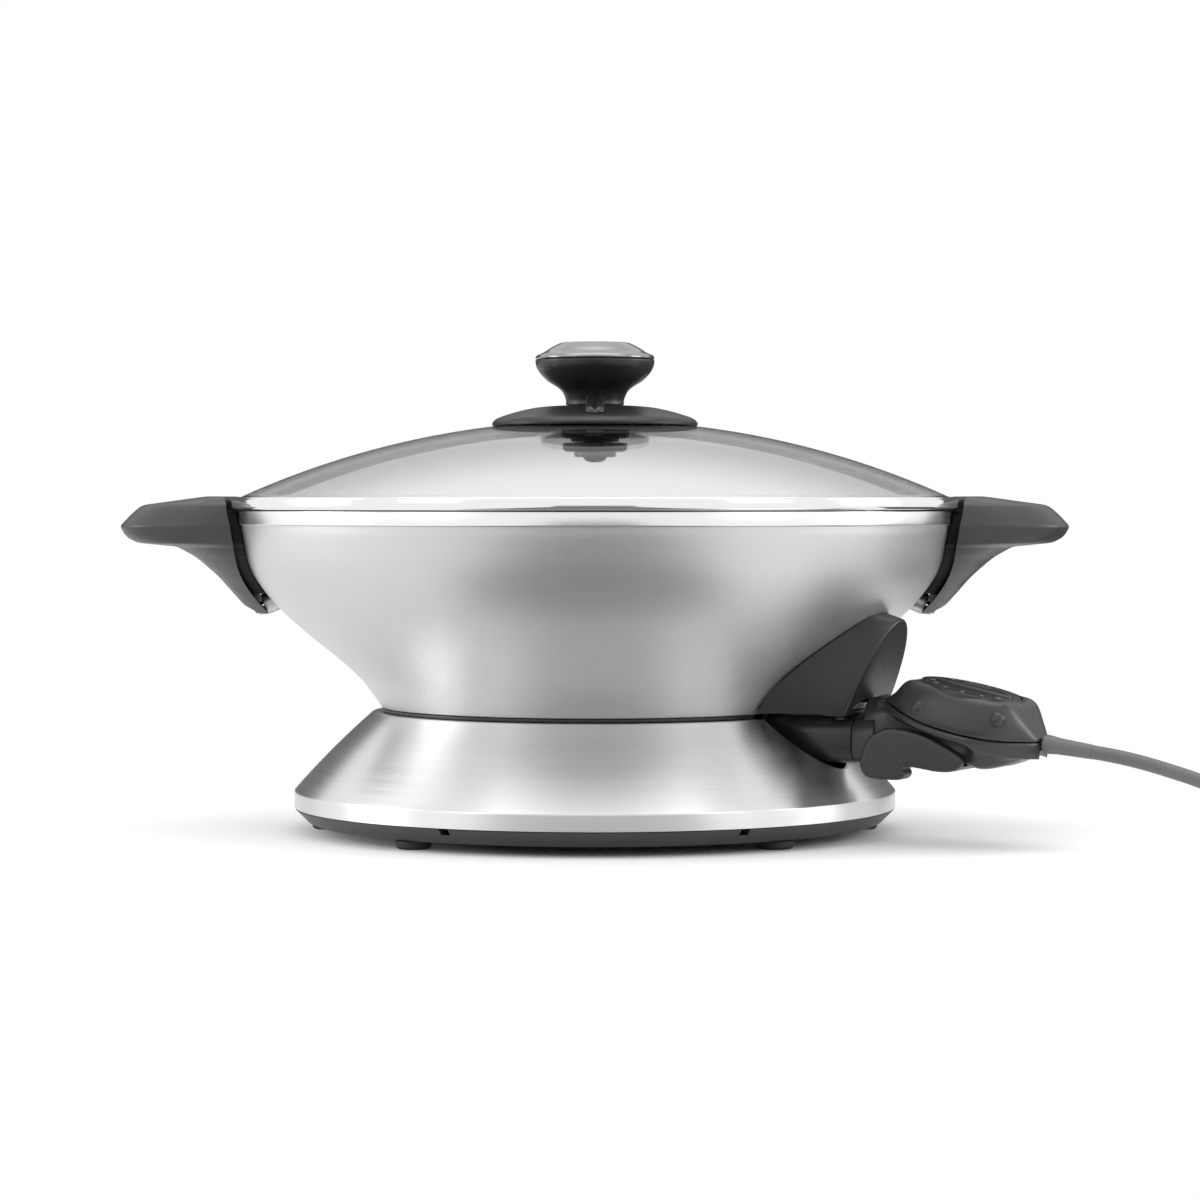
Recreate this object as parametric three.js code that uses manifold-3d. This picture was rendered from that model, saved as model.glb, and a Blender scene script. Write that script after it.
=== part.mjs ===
// Electric wok: a cast bowl on a conical stand, a glass lid with a steam vent knob, and a
// plug-in temperature probe with its mains lead. Millimetres, +Z up, the origin on the table
// under the middle of the stand. The front is at -Y, and the probe leaves to the front right.
import * as THREE from "three";
import { mergeVertices } from "three/addons/utils/BufferGeometryUtils.js";
import Module from "manifold-3d";

const wasm = await Module();
wasm.setup();

// Clearances shared by neighbouring pieces, and the overrun of every cut
const fitGap = 0.3;
const runGap = 0.5;
const overrun = 4;

// How finely round pieces are faceted
const bodySides = 32;
const knobSides = 20;
const hiddenSides = 12;
const smallSides = 8;
const archSegments = 5;

// Feet, tray and its screws
const footRadius = 8.5;
const footHeight = 4.5;
const footEdge = 1.2;
const footPlugRadius = 3.2;
const footPlugHeight = 2.2;
const footInset = 9.6;
const footAngles = [0, 50, 130, 180, 230, 310];
const trayFloor = 2.6;
const trayWall = 2.4;
const trayFlare = 7;
const trayRimInset = 0.4;
const trayLipHeight = 2;
const trayRecessRadius = 58;
const trayRecessSlope = 4;
const trayRecessHeight = 9.5;
const trayColumnRadius = 5;
const trayNotchWidth = 5;
const trayNotchDepth = 3;
const trayNotchAngles = [-62, -118];
const screwInset = 8;
const screwAngles = [60, 180, 300];
const screwRadius = 2.1;
const screwHeadRadius = 4;
const screwHeadThickness = 2.6;

// Stand skirt
const skirtRadius = 150;
const skirtBandBottomZ = 12.3;
const skirtBandHeight = 8;
const skirtEdge = 0.9;
const skirtTopRadius = 111;
const skirtTopZ = 59.2;
const skirtThickness = 1.2;
const skirtFlangeWidth = 12;
const skirtBulge = 0.9;

// Cradle ring between stand and bowl
const cradleRimInset = 0.4;
const cradleRimThickness = 1.6;
const cradleHubWall = 5.4;
const cradleHubGap = 0.8;
const cradleHubDepth = 17;
const cradleEarThickness = 3.6;

// Bowl
const bowlFootRadius = 106.6;
const bowlFootWidth = 5;
const bowlUndersideRise = 0.9;
const bowlWall = 3.6;
const bowlFloorRise = 7.4;
const lipRadius = 180;
const lipStep = 1.2;
const bowlHeight = 97.7;
const lipHeight = 7;
const lipWidth = 4.4;
const spigotRadius = 91.2;
const spigotWall = 3.7;
const spigotDepth = 14.6;

// Heating element and its ridge under the bowl
const elementRingRadius = 62;
const elementTubeRadius = 3;
const elementTubeDrop = 3.4;
const elementRidgeWall = 3.6;
const elementRoof = 0.9;
const elementOpenAngle = 17;
const elementExitHalfWidth = 22;
const elementSteps = 20;
// The cold ends of the element: share of the way from the pin to the ring, share of its climb
const elementRampShares = [
  [0, 0],
  [0.18, 0],
  [0.39, 0.1],
  [0.59, 0.42],
  [0.8, 0.76],
];

// Stud, collar and knob that lock the bowl to the stand
const studBossRadius = 12;
const studBossDepth = 14;
const studRadius = 7.5;
const studBottomZ = 14.2;
const studFlangeRadius = 11;
const studFlangeThickness = 3;
const studSpigotRadius = 3;
const studSpigotLength = 8;
const collarWall = 3;
const collarBottomZ = 3.6;
const collarTopZ = 30;
const collarFlangeRadius = 18;
const collarFlangeThickness = 2.5;
const collarLipRadius = 14;
const collarLipThickness = 1.6;
const collarSlot = 2.4;
const lockRadius = 40;
const lockThickness = 2.4;
const lockRimDepth = 5.4;
const lockRimWidth = 2.6;
const lockGripLength = 36;
const lockGripWidth = 5;

// Handles, their pads, and the cast boss and screw under each
const padThickness = 5.4;
const padMargin = 2.4;
const padBottomRise = 10.4;
const padTopDrop = 7.7;
const handleReach = 55.4;
const handleDepth = 85.4;
const handleSpread = 65.6;
const handleInnerDrop = 1.3;
const handleSidePoints = 12;
const bossRadius = 5.4;
const bossRise = 6.8;
const bossTilt = 24;
const bossHeight = 5.2;
const handleScrewReach = 13.4;
const handleScrewDepth = 1.2;
const handleRise = 7;
const handleHeight = 58.7;
const handleHalfWidth = 54.5;

// The handle in level slices: shares of its height, of its reach from root to tip and of its
// half width, and how square the slice is
const handleSliceShares = [
  { up: 0, out: 0, wide: 0.11, squareness: 2 },
  { up: 0.075, out: 0.085, wide: 0.294, squareness: 2 },
  { up: 0.181, out: 0.168, wide: 0.477, squareness: 2.2 },
  { up: 0.324, out: 0.274, wide: 0.697, squareness: 2.4 },
  { up: 0.486, out: 0.436, wide: 0.881, squareness: 2.6 },
  { up: 0.576, out: 0.576, wide: 0.936, squareness: 3 },
  { up: 0.61, out: 0.872, wide: 0.954, squareness: 3.6 },
  { up: 0.661, out: 0.959, wide: 0.972, squareness: 3.6 },
  { up: 0.75, out: 1, wide: 1, squareness: 3.6 },
  { up: 0.848, out: 0.921, wide: 0.972, squareness: 3.4 },
  { up: 0.927, out: 0.841, wide: 0.945, squareness: 3.2 },
  { up: 0.961, out: 0.613, wide: 0.927, squareness: 3 },
  { up: 1, out: 0.369, wide: 0.917, squareness: 2.8 },
];

// Lid: glass and its steel rim
const glassThickness = 4;
const glassRise = 38.52;
const glassHoleRadius = 12.4;
const glassSteps = 4;
const rimSeatWidth = 4.4;
const rimOverhang = 4.4;
const rimSeatInset = 7.6;
const rimEdge = 0.8;
const rimLegDepth = 5;
const rimLegWidth = 1.6;
const rimHeight = 6.2;
const glassEdgeDrop = 0.32;

// Vent collar on the glass, its seal and its nut
const ventCollarRadius = 51.3;
const ventCollarEdge = 1.2;
const ventCollarHeight = 7.2;
const ventCollarLand = 5.4;
const sealThickness = 1.6;
const sealSteps = 2;
const ventBushRadius = 12;
const ventBushDepth = 10;
const ventHoleRadius = 1.7;
const ventHoleCircleRadius = 9;
const ventHoleAngles = [30, 90, 150];
const ventNutRadius = 17;
const ventNutThickness = 3.6;
const collarDomeShares = [
  [1, 0.1],
  [0.95, 0.3],
  [0.85, 0.51],
  [0.73, 0.71],
  [0.56, 0.91],
  [0.36, 1],
];

// Knob, its metal cap and its pointer
const knobNeckRadius = 14.5;
const knobRadius = 29.8;
const knobHeight = 21.8;
const knobEdge = 0.5;
const knobCapSpigotRadius = 17.4;
const knobCapSpigotHeight = 5;
const knobCapHeight = 8.5;
const knobCapFlatRadius = 16.5;
const knobShaftRadius = 5.4;
const knobScrewDepth = 16;
const pointerReach = 45.5;
const pointerHeight = 3;
const pointerHalfWidth = 5;
const pointerRootHeight = 6.5;
const knobShares = [
  [0, 0],
  [0, 0.1],
  [0.11, 0.29],
  [0.24, 0.385],
  [0.61, 0.555],
  [0.85, 0.73],
  [0.96, 0.87],
  [1, 1],
];
const knobCapShares = [
  [0.98, 0],
  [1, 0.08],
  [0.98, 0.24],
  [0.86, 0.42],
  [0.75, 0.67],
  [0.6, 0.94],
];

// Shutter and screw under the lid
const shutterRadius = 16.2;
const shutterThickness = 4.2;
const washerRadius = 10.4;
const washerThickness = 2.4;
const screwDomeRadius = 6;
const screwDomeHeight = 3;
const screwDomeShares = [
  [0, 1],
  [0.5, 0.84],
  [0.86, 0.5],
  [1, 0],
];
const knobScrewRadius = 2;

// Probe axis: its direction seen from above, and the drop of the socket's middle under the bowl's foot
const probeAngle = -28;
const socketDrop = 12;

// Stations along the probe axis, measured from the wok's axis
const rodTipX = 75;
const wellEndX = 83;
const elementEndX = 93;
const guardBackX = 99;
const noseStartX = 106;
const pinEndX = 130;
const contactEndX = 131.6;
const guardEndX = 145.6;
const probeCollarStartX = 146.2;
const housingStartX = 161.4;
const rodEndX = 171.6;

// Socket guard, pins, receptacles and sensor rod
const guardHalfWidth = 13.4;
const guardHalfHeight = 11.6;
const guardWall = 1.5;
const guardBackThickness = 3;
const guardLugHalfWidth = 20.4;
const guardLugStartX = 134;
const guardLugThickness = 2.6;
const sectionSquareness = 3.2;
const pinSpread = 7;
const pinDrop = 3;
const pinRadius = 2.1;
const contactWall = 0.4;
const rodRise = 4.5;
const rodRadius = 2.4;
const wellWall = 1.3;
const windowHalfWidth = 14;

// Opening in stand and cradle for the socket, and the tongue and hood over it
const notchHalfWidth = 28.5;
const notchDepth = 24.4;
const tongueHalfWidth = 20;
const tongueEndX = 147;
const tongueGap = 0.7;
const tongueThickness = 2.8;
const hoodRise = 15.8;
const hoodWall = 2.2;
const hoodRootHalfWidth = 31.5;
const hoodRootHeight = 45;
const hoodRootSquareness = 2.5;
const hoodFaceHalfWidth = 24.8;
const hoodFaceHeight = 42;
const hoodFaceX = 148.9;
const hoodFaceLeanShare = 0.43;
const hoodArchPoints = 12;
const hoodRunInShare = 1 / 3;
const hoodReliefHalfWidth = 20;
const hoodReliefHeight = 4.2;
const hoodWebX = 141.6;
const hoodWebHeight = 17;
const hoodBossSpread = 16.2;
const hoodBossRadius = 3.6;
const hoodScrewRadius = 1.6;
const hoodScrewHeadRadius = 3.2;
const hoodScrewHeadThickness = 1.8;
const hoodScrewLength = 10;

// Probe collar
const probeCollarHalfWidth = 14.4;
const probeCollarHalfHeight = 11.6;
const probeCollarEndX = 158;
const noseGap = 0.4;
const collarHumpHalfWidth = 11;
const collarHumpStartX = 150.6;
const collarHumpRise = 21.8;
const collarHumpStartShare = 0.9;

// Probe housing: a split line that falls away from the wok, with a top and a bottom shell
const housingLength = 76.6;
const housingHalfWidth = 28;
const housingBottomDrop = 11.5;
const keelHalfWidth = 13.6;
const housingStartRise = 19.8;
const seamDrop = 18.3;
const seamSag = 3.9;
const shellWall = 2.2;
const shellRim = 2.6;
const shellShoulder = 6;
const housingTopHeight = 10.8;
const housingTopPlaceShare = 0.22;
const housingTopSlopeShare = 0.2168;

// Slices of the top shell: place and width as shares, and how far below the top line it is
const topSlices = [
  { placeShare: 0.004, widthShare: 0.34, dropShare: 0.96 },
  { placeShare: 0.1, widthShare: 0.6, dropShare: 0.54 },
  { placeShare: 0.2, widthShare: 0.8, dropShare: 0.08 },
  { placeShare: 0.34, widthShare: 0.95, dropShare: 0 },
  { placeShare: 0.55, widthShare: 1, dropShare: 0 },
  { placeShare: 0.74, widthShare: 0.95, dropShare: 0 },
  { placeShare: 0.86, widthShare: 0.8, dropShare: 0.02 },
  { placeShare: 0.94, widthShare: 0.55, dropShare: 0.46 },
  { placeShare: 0.99, widthShare: 0.34, dropShare: 0.8 },
];
const topSectionShares = [
  [1, 0],
  [1, 0.32],
  [0.96, 0.68],
  [0.87, 0.92],
  [0.74, 1],
];

// Round bumps on the near side of the top shell: shares of its length and of its height
const bumpRadius = 3.3;
const bumpHeight = 1.5;
const bumpShares = [
  [0.31, 0.35],
  [0.82, 0.56],
];

// Slices of the bottom shell: shares of its place, its half width, its keel's half width and
// of the rise of its underside
const bottomSlices = [
  { placeShare: -0.038, widthShare: 0.42, keelShare: 1, riseShare: 0.035 },
  { placeShare: 0.02, widthShare: 0.46, keelShare: 1.015, riseShare: 0.048 },
  { placeShare: 0.12, widthShare: 0.68, keelShare: 0.985, riseShare: 0.112 },
  { placeShare: 0.25, widthShare: 0.87, keelShare: 0.971, riseShare: 0.131 },
  { placeShare: 0.42, widthShare: 0.98, keelShare: 0.971, riseShare: 0.131 },
  { placeShare: 0.56, widthShare: 1, keelShare: 1, riseShare: 0.054 },
  { placeShare: 0.66, widthShare: 0.98, keelShare: 1.176, riseShare: 0 },
  { placeShare: 0.82, widthShare: 0.83, keelShare: 1.074, riseShare: 0.07 },
  { placeShare: 0.94, widthShare: 0.53, keelShare: 0.706, riseShare: 0.188 },
  { placeShare: 1, widthShare: 0.33, keelShare: 0.441, riseShare: 0.246 },
];
const keelSoftShare = 0.16;
const keelEdgeShare = 0.74;

// Temperature dial, its shaft and the thermostat
const dialX = 203.1;
const dialRadius = 23.2;
const dialHeight = 5.4;
const dialRise = 1.2;
const dialEdge = 0.8;
const dialGripHalfWidth = 3.2;
const dialGripHeight = 1.6;
const dialTilt = 12.6;
const dialBezelWidth = 1.8;
const dialShaftRadius = 3;
const dialShaftLength = 12.5;
const dialSocketDepth = 2.8;
const thermostatLength = 26;
const thermostatHalfWidth = 9;
const thermostatHeight = 8.6;

// Shell screws
const shellScrewXs = [178.2, 223];
const shellScrewRadius = 1.5;
const shellScrewHeadRadius = 3;
const shellScrewHeadThickness = 1.6;
const shellScrewSink = 0.8;
const shellBossRadius = 4.4;
const shellScrewReach = 5;

// Ejector lever
const pivotX = 163;
const pivotDrop = 3.1;
const pivotRadius = 1.8;
const cheekGap = 0.5;
const cheekThickness = 2.6;
const leverReach = 42;
const leverDrop = 14.8;
const leverLegWidth = 9.5;
const leverLegReach = 14;
const leverLegDrop = 9.2;
// Outline of the lever's side from its pivot, as shares of its reach and its drop
const leverOutlineShares = [
  [-0.276, -0.473],
  [-0.229, -0.02],
  [-0.162, 0.345],
  [0.012, 0.635],
  [0.238, 0.649],
  [0.524, 0.473],
  [0.762, 0.162],
  [0.938, -0.122],
  [1, -0.311],
  [0.919, -0.595],
  [0.733, -0.696],
  [0.486, -0.615],
  [0.295, -0.554],
  [0.248, -0.595],
  [0.295, -0.757],
  [0.248, -0.959],
  [0.057, -1],
  [-0.171, -0.946],
  [-0.25, -0.743],
];
// The hollow between its cheeks, as the same shares
const leverHollowShares = [
  [-0.381, -0.824],
  [0.133, -0.824],
  [0.205, -0.426],
  [0.486, -0.473],
  [0.733, -0.554],
  [0.881, -0.5],
  [1.095, -0.5],
  [1.095, 1.081],
  [-0.381, 1.081],
];

// Mains lead: diameter, strain relief, free stretch
const cordDiameter = 6.6;
const cordSides = 8;
const cordSteps = 12;
const tailSteps = 5;
const reliefLength = 23.3;
const reliefRootRadius = 4.5;
const reliefTipRadius = 3.6;
const reliefStraightShare = 0.2;
// Centreline of the free stretch, from the relief's tip to the coil
const cordRoute = [
  [231.6, -123.2, 47.2],
  [238.2, -126.6, 46.2],
  [246.8, -131.2, 44.6],
  [256.6, -136.4, 42.2],
  [266.8, -141.8, 39.2],
  [277.0, -147.3, 35.9],
  [287.4, -152.8, 31.6],
  [297.8, -158.4, 26.4],
  [308.0, -163.6, 20.8],
  [318.0, -168.4, 15.2],
  [327.8, -173.1, 10.2],
  [337.5, -177.9, 6.4],
  [347.3, -182.65, 4.6],
  [353.87, -185.62, 4.4],
];

// Coil of the stored length, its tie and the tail to the plug
const coilCentreX = 378;
const coilCentreY = -152;
const coilEntryAngle = 244;
const coilOuterRadius = 40.6;
const coilPitch = 7.2;
const coilRise = 7.15;
const coilRestZ = 4.4;
const coilTurnsIn = 2;
const coilTurnsClimb = 0.5;
const coilTurnsOut = 1.8;
const coilStepsPerTurn = 24;
const coilSides = 6;
const tieAngle = 150;
const tieThickness = 0.8;
const tieWidth = 9;
const tieGap = 0.4;
// Centreline of the tail, from the coil's loose end to the plug
const tailRoute = [
  [417.95, -150.6, 11.55],
  [419.1, -143.7, 11.5],
  [419.8, -135.8, 11.1],
  [419.6, -127.8, 11.2],
  [418.6, -119.9, 12.0],
  [417.4, -112.4, 12.6],
  [416.4, -105.6, 12.7],
];
const plugNeckLength = 14;
const plugNeckRadius = 5.2;
const plugLength = 30;
const plugHalfWidth = 13;
const plugHalfHeight = 12.4;
const plugSquareness = 3.6;
const plugNeckTipShare = 0.82;
const plugNeckStraightShare = 0.7;
const plugSides = 18;
// The plug's body in cross sections: share of its length, share of its full width
const plugBodyShares = [
  [0, 0.62],
  [0.24, 0.82],
  [0.5, 0.96],
  [1, 1],
];
const bladeLength = 17.5;
const bladeRoot = 6;
const bladeHalfWidth = 3.15;
const bladeHalfThickness = 0.75;
const bladeSpread = 6.35;
const bladeRise = 3.6;
const groundRadius = 2.4;
const groundLength = 20.5;
const groundDrop = 6.3;

// Materials

const brushedSteel = new THREE.MeshStandardMaterial({ color: 0xb9bbba, roughness: 0.34, metalness: 1 });
const polishedSteel = new THREE.MeshStandardMaterial({ color: 0xdcdedd, roughness: 0.12, metalness: 1 });
const satinAluminium = new THREE.MeshStandardMaterial({ color: 0xb4b6b5, roughness: 0.48, metalness: 0.9 });
const clearGlass = new THREE.MeshStandardMaterial({
  color: 0xe6ecea,
  roughness: 0.05,
  transparent: true,
  opacity: 0.35,
});
const charcoalPlastic = new THREE.MeshStandardMaterial({ color: 0x464747, roughness: 0.55 });
const blackPlastic = new THREE.MeshStandardMaterial({ color: 0x151616, roughness: 0.45 });
const probePlastic = new THREE.MeshStandardMaterial({ color: 0x4f5151, roughness: 0.5 });
const softRubber = new THREE.MeshStandardMaterial({ color: 0x2a2a2b, roughness: 0.8 });
const cordRubber = new THREE.MeshStandardMaterial({ color: 0x6e6e6e, roughness: 0.55 });
const brassMetal = new THREE.MeshStandardMaterial({ color: 0xc9a95c, roughness: 0.3, metalness: 1 });
const sheathMetal = new THREE.MeshStandardMaterial({ color: 0x8d8a86, roughness: 0.4, metalness: 1 });

// Solids and meshes

const radians = THREE.MathUtils.degToRad;
const vec = (x, y, z) => new THREE.Vector3(x, y, z);

// A closed geometry, its shared points merged, as a solid for cutting and joining.
function solid(geometry) {
  const bare = geometry.clone();
  bare.deleteAttribute("normal");
  bare.deleteAttribute("uv");
  const merged = mergeVertices(bare, fitGap / bodySides / bodySides);
  return new wasm.Manifold(
    new wasm.Mesh({
      numProp: 3,
      vertProperties: merged.attributes.position.array,
      triVerts: new Uint32Array(merged.index.array),
    }),
  );
}

// A solid as a three.js geometry with flat faces.
function geometryOf(made) {
  const mesh = made.getMesh();
  const geometry = new THREE.BufferGeometry();
  geometry.setAttribute("position", new THREE.BufferAttribute(mesh.vertProperties, 3));
  geometry.setIndex(new THREE.BufferAttribute(mesh.triVerts, 1));
  const flat = geometry.toNonIndexed();
  flat.computeVertexNormals();
  return flat;
}

// Adds one named piece to a group. What is made is a geometry or a solid.
function piece(parent, name, made, material) {
  const geometry = made.isBufferGeometry ? made : geometryOf(made);
  const mesh = new THREE.Mesh(geometry, material);
  mesh.name = name;
  parent.add(mesh);
  return mesh;
}

// A body of revolution about Z from [radius, height] points, anticlockwise from the axis.
function turned(points, sides) {
  const outline = points.map(([r, z]) => new THREE.Vector2(r, z));
  return new THREE.LatheGeometry(outline, sides).rotateX(Math.PI / 2);
}

// The same for an outline that closes on itself, away from the axis.
function ringTurned(points, sides) {
  return turned([...points, points[0]], sides);
}

// A round bar along Z.
function bar(radius, lowZ, highZ, sides = smallSides) {
  return turned(
    [
      [0, lowZ],
      [radius, lowZ],
      [radius, highZ],
      [0, highZ],
    ],
    sides,
  );
}

// A tube along Z.
function tube(outerRadius, innerRadius, lowZ, highZ, sides = smallSides) {
  return ringTurned(
    [
      [innerRadius, lowZ],
      [outerRadius, lowZ],
      [outerRadius, highZ],
      [innerRadius, highZ],
    ],
    sides,
  );
}

// A shape made along Z, laid along X, with its axis at y and z.
function laid(geometry, y, z) {
  return geometry.rotateY(Math.PI / 2).translate(0, y, z);
}

// A box between two corners.
function box(low, high) {
  const size = high.map((value, axis) => value - low[axis]);
  const middle = high.map((value, axis) => (value + low[axis]) / 2);
  return new THREE.BoxGeometry(...size).translate(...middle);
}

// A skin through rings of points, closed by a fan at both ends. Seen from the last ring
// towards the first, the points run anticlockwise.
function loft(rings) {
  const count = rings[0].length;
  const positions = rings.flat().flatMap((p) => [p.x, p.y, p.z]);
  const faces = [];
  for (let ring = 0; ring < rings.length - 1; ring++) {
    for (let i = 0; i < count; i++) {
      const a = ring * count + i;
      const b = ring * count + ((i + 1) % count);
      faces.push(a, b, b + count, a, b + count, a + count);
    }
  }
  const close = (ring, first, flip) => {
    const centre = positions.length / 3;
    const middle = ring.reduce((sum, p) => sum.add(p), vec(0, 0, 0)).divideScalar(count);
    positions.push(middle.x, middle.y, middle.z);
    for (let i = 0; i < count; i++) {
      const a = first + i;
      const b = first + ((i + 1) % count);
      faces.push(...(flip ? [centre, b, a] : [centre, a, b]));
    }
  };
  close(rings[0], 0, true);
  close(rings.at(-1), (rings.length - 1) * count, false);
  const geometry = new THREE.BufferGeometry();
  geometry.setAttribute("position", new THREE.Float32BufferAttribute(positions, 3));
  geometry.setIndex(faces);
  return geometry;
}

// One quarter-turn value of a rounded rectangle: squareness 2 is a circle, more is squarer.
function rounded(value, squareness) {
  return Math.sign(value) * Math.abs(value) ** (2 / squareness);
}

// A rounded rectangular section across X, for lofts that run along X.
function sectionAcrossX(x, halfWidth, halfHeight, middleZ, squareness, count = knobSides) {
  return Array.from({ length: count }, (_, i) => {
    const turn = (2 * Math.PI * i) / count;
    const y = halfWidth * rounded(Math.cos(turn), squareness);
    return vec(x, y, middleZ + halfHeight * rounded(Math.sin(turn), squareness));
  });
}

// A block of such sections between two places on X.
function roundedBlock(fromX, toX, halfWidth, halfHeight, middleZ) {
  return solid(
    loft([
      sectionAcrossX(fromX, halfWidth, halfHeight, middleZ, sectionSquareness),
      sectionAcrossX(toX, halfWidth, halfHeight, middleZ, sectionSquareness),
    ]),
  );
}

// Points of an outline from shares of a width and a height.
function fromShares(shares, startR, spanR, startZ, spanZ) {
  return shares.map(([r, z]) => [startR + r * spanR, startZ + z * spanZ]);
}

// An open outline moved sideways, to the right of its direction.
function moved(points, distance) {
  return points.map((point, i) => {
    const before = points[Math.max(i - 1, 0)];
    const after = points[Math.min(i + 1, points.length - 1)];
    const along = new THREE.Vector2(after[0] - before[0], after[1] - before[1]).normalize();
    return [point[0] + along.y * distance, point[1] - along.x * distance];
  });
}

// The place on a circle about Z, at a height.
function onCircle(radius, degrees, z) {
  return vec(radius * Math.cos(radians(degrees)), radius * Math.sin(radians(degrees)), z);
}

// Groups: the probe's own frame has X along its axis, away from the wok
const object = new THREE.Group();
const probeFrame = new THREE.Group();
probeFrame.rotation.z = radians(probeAngle);
const leftFrame = new THREE.Group();
leftFrame.rotation.z = Math.PI;
object.add(probeFrame, leftFrame);

// Places worked out from the dimensions
const trayRimRadius = skirtRadius - trayRimInset;
const trayBottomRadius = trayRimRadius - trayFlare;
const footCircleRadius = trayBottomRadius - footInset;
const cradleRimRadius = bowlFootRadius - cradleRimInset;
const cradleHubInnerRadius = spigotRadius + cradleHubGap;
const cradleHubOuterRadius = cradleHubInnerRadius + cradleHubWall;
const screwCircleRadius = cradleHubInnerRadius - screwInset;
const bowlFootZ = skirtTopZ + runGap + cradleRimThickness + fitGap;
const bowlFloorZ = bowlFootZ + bowlFloorRise;
const rimTopZ = bowlFootZ + bowlHeight;
const lipBottomZ = rimTopZ - lipHeight;
const mouthRadius = lipRadius - lipWidth;
const handleTipX = lipRadius + handleReach;
const handleCentreX = handleTipX - handleDepth;
const handleRootX = handleTipX - handleSpread;
const handleInnerRadius = lipRadius + padThickness + 2 * fitGap;
const handleInnerZ = rimTopZ - handleInnerDrop;
const handleTopZ = rimTopZ + handleRise;
const handleBottomZ = handleTopZ - handleHeight;
const padBottomZ = handleBottomZ + padBottomRise;
const padTopZ = handleTopZ - padTopDrop;
const bossZ = handleBottomZ + bossRise;
const rimOuterRadius = lipRadius + rimOverhang;
const glassRadius = rimOuterRadius - rimSeatInset;
const lidRimTopZ = rimTopZ + runGap + rimHeight;
const glassApexZ = lidRimTopZ - glassEdgeDrop + glassRise;
const glassSphereRadius = (glassRadius ** 2 + glassRise ** 2) / (2 * glassRise);
const ventCollarTopZ = glassApexZ + ventCollarHeight;
const knobBottomZ = ventCollarTopZ + runGap;
const knobWidestZ = knobBottomZ + knobHeight;
const knobCapTopZ = knobWidestZ + knobEdge + fitGap + knobCapHeight;
const cradleTopZ = bowlFootZ - fitGap;
const cradleHubBottomZ = cradleTopZ - cradleRimThickness - cradleHubDepth;
const skirtBandTopZ = skirtBandBottomZ + skirtBandHeight;
const trayTopZ = footHeight + trayFloor;
const trayRimZ = skirtBandBottomZ - fitGap;
const recessZ = footHeight + trayRecessHeight;
const bowlUndersideZ = bowlFootZ + bowlUndersideRise;
const spigotBottomZ = bowlFootZ - spigotDepth;
const elementGroove = elementTubeRadius + runGap + fitGap;
const elementTubeZ = bowlFootZ - elementTubeDrop;
const ridgeBottomZ = elementTubeZ - elementTubeRadius - fitGap;
const socketZ = bowlFootZ - socketDrop;
const hoodBottomZ = socketZ + hoodRise;
const collarHumpTopZ = socketZ + collarHumpRise;
const housingBottomZ = socketZ - housingBottomDrop;
const housingStartZ = socketZ + housingStartRise;
const pivotZ = socketZ - pivotDrop;
const guardTopZ = socketZ + guardHalfHeight;
const tongueBottomZ = guardTopZ + guardLugThickness + tongueGap;
const tongueTopZ = tongueBottomZ + tongueThickness;
const pinZ = socketZ - pinDrop;
const rodZ = socketZ + rodRise;

// The opening in stand and cradle for the socket, wider by a margin.
function socketNotch(margin) {
  const halfWidth = notchHalfWidth + margin;
  const shape = new THREE.Shape();
  shape.absellipse(0, 0, halfWidth, notchDepth + margin, Math.PI, 2 * Math.PI, false, 0);
  shape.lineTo(halfWidth, overrun);
  shape.lineTo(-halfWidth, overrun);
  const depth = skirtRadius - cradleHubInnerRadius + 2 * overrun;
  const made = new THREE.ExtrudeGeometry(shape, { depth, bevelEnabled: false, curveSegments: archSegments });
  made.rotateX(Math.PI / 2).rotateZ(Math.PI / 2);
  made.translate(cradleHubInnerRadius - overrun, 0, skirtTopZ);
  return solid(made.rotateZ(radians(probeAngle)));
}

// Stand

function makeSkirt() {
  const slope = [skirtTopRadius - skirtRadius, skirtTopZ - skirtBandTopZ];
  const bulge = skirtBulge / Math.hypot(...slope);
  const middle = [
    skirtRadius + slope[0] / 2 + slope[1] * bulge,
    skirtBandTopZ + slope[1] / 2 - slope[0] * bulge,
  ];
  const outer = [
    [skirtRadius, skirtBandBottomZ],
    [skirtRadius, skirtBandTopZ - skirtEdge],
    [skirtRadius - skirtEdge / 2, skirtBandTopZ + skirtEdge / 2],
    middle,
    [skirtTopRadius, skirtTopZ],
    [skirtTopRadius - skirtFlangeWidth, skirtTopZ],
  ];
  const inner = moved(outer, -skirtThickness).reverse();
  return solid(ringTurned([...outer, ...inner], bodySides)).subtract(socketNotch(0));
}

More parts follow.
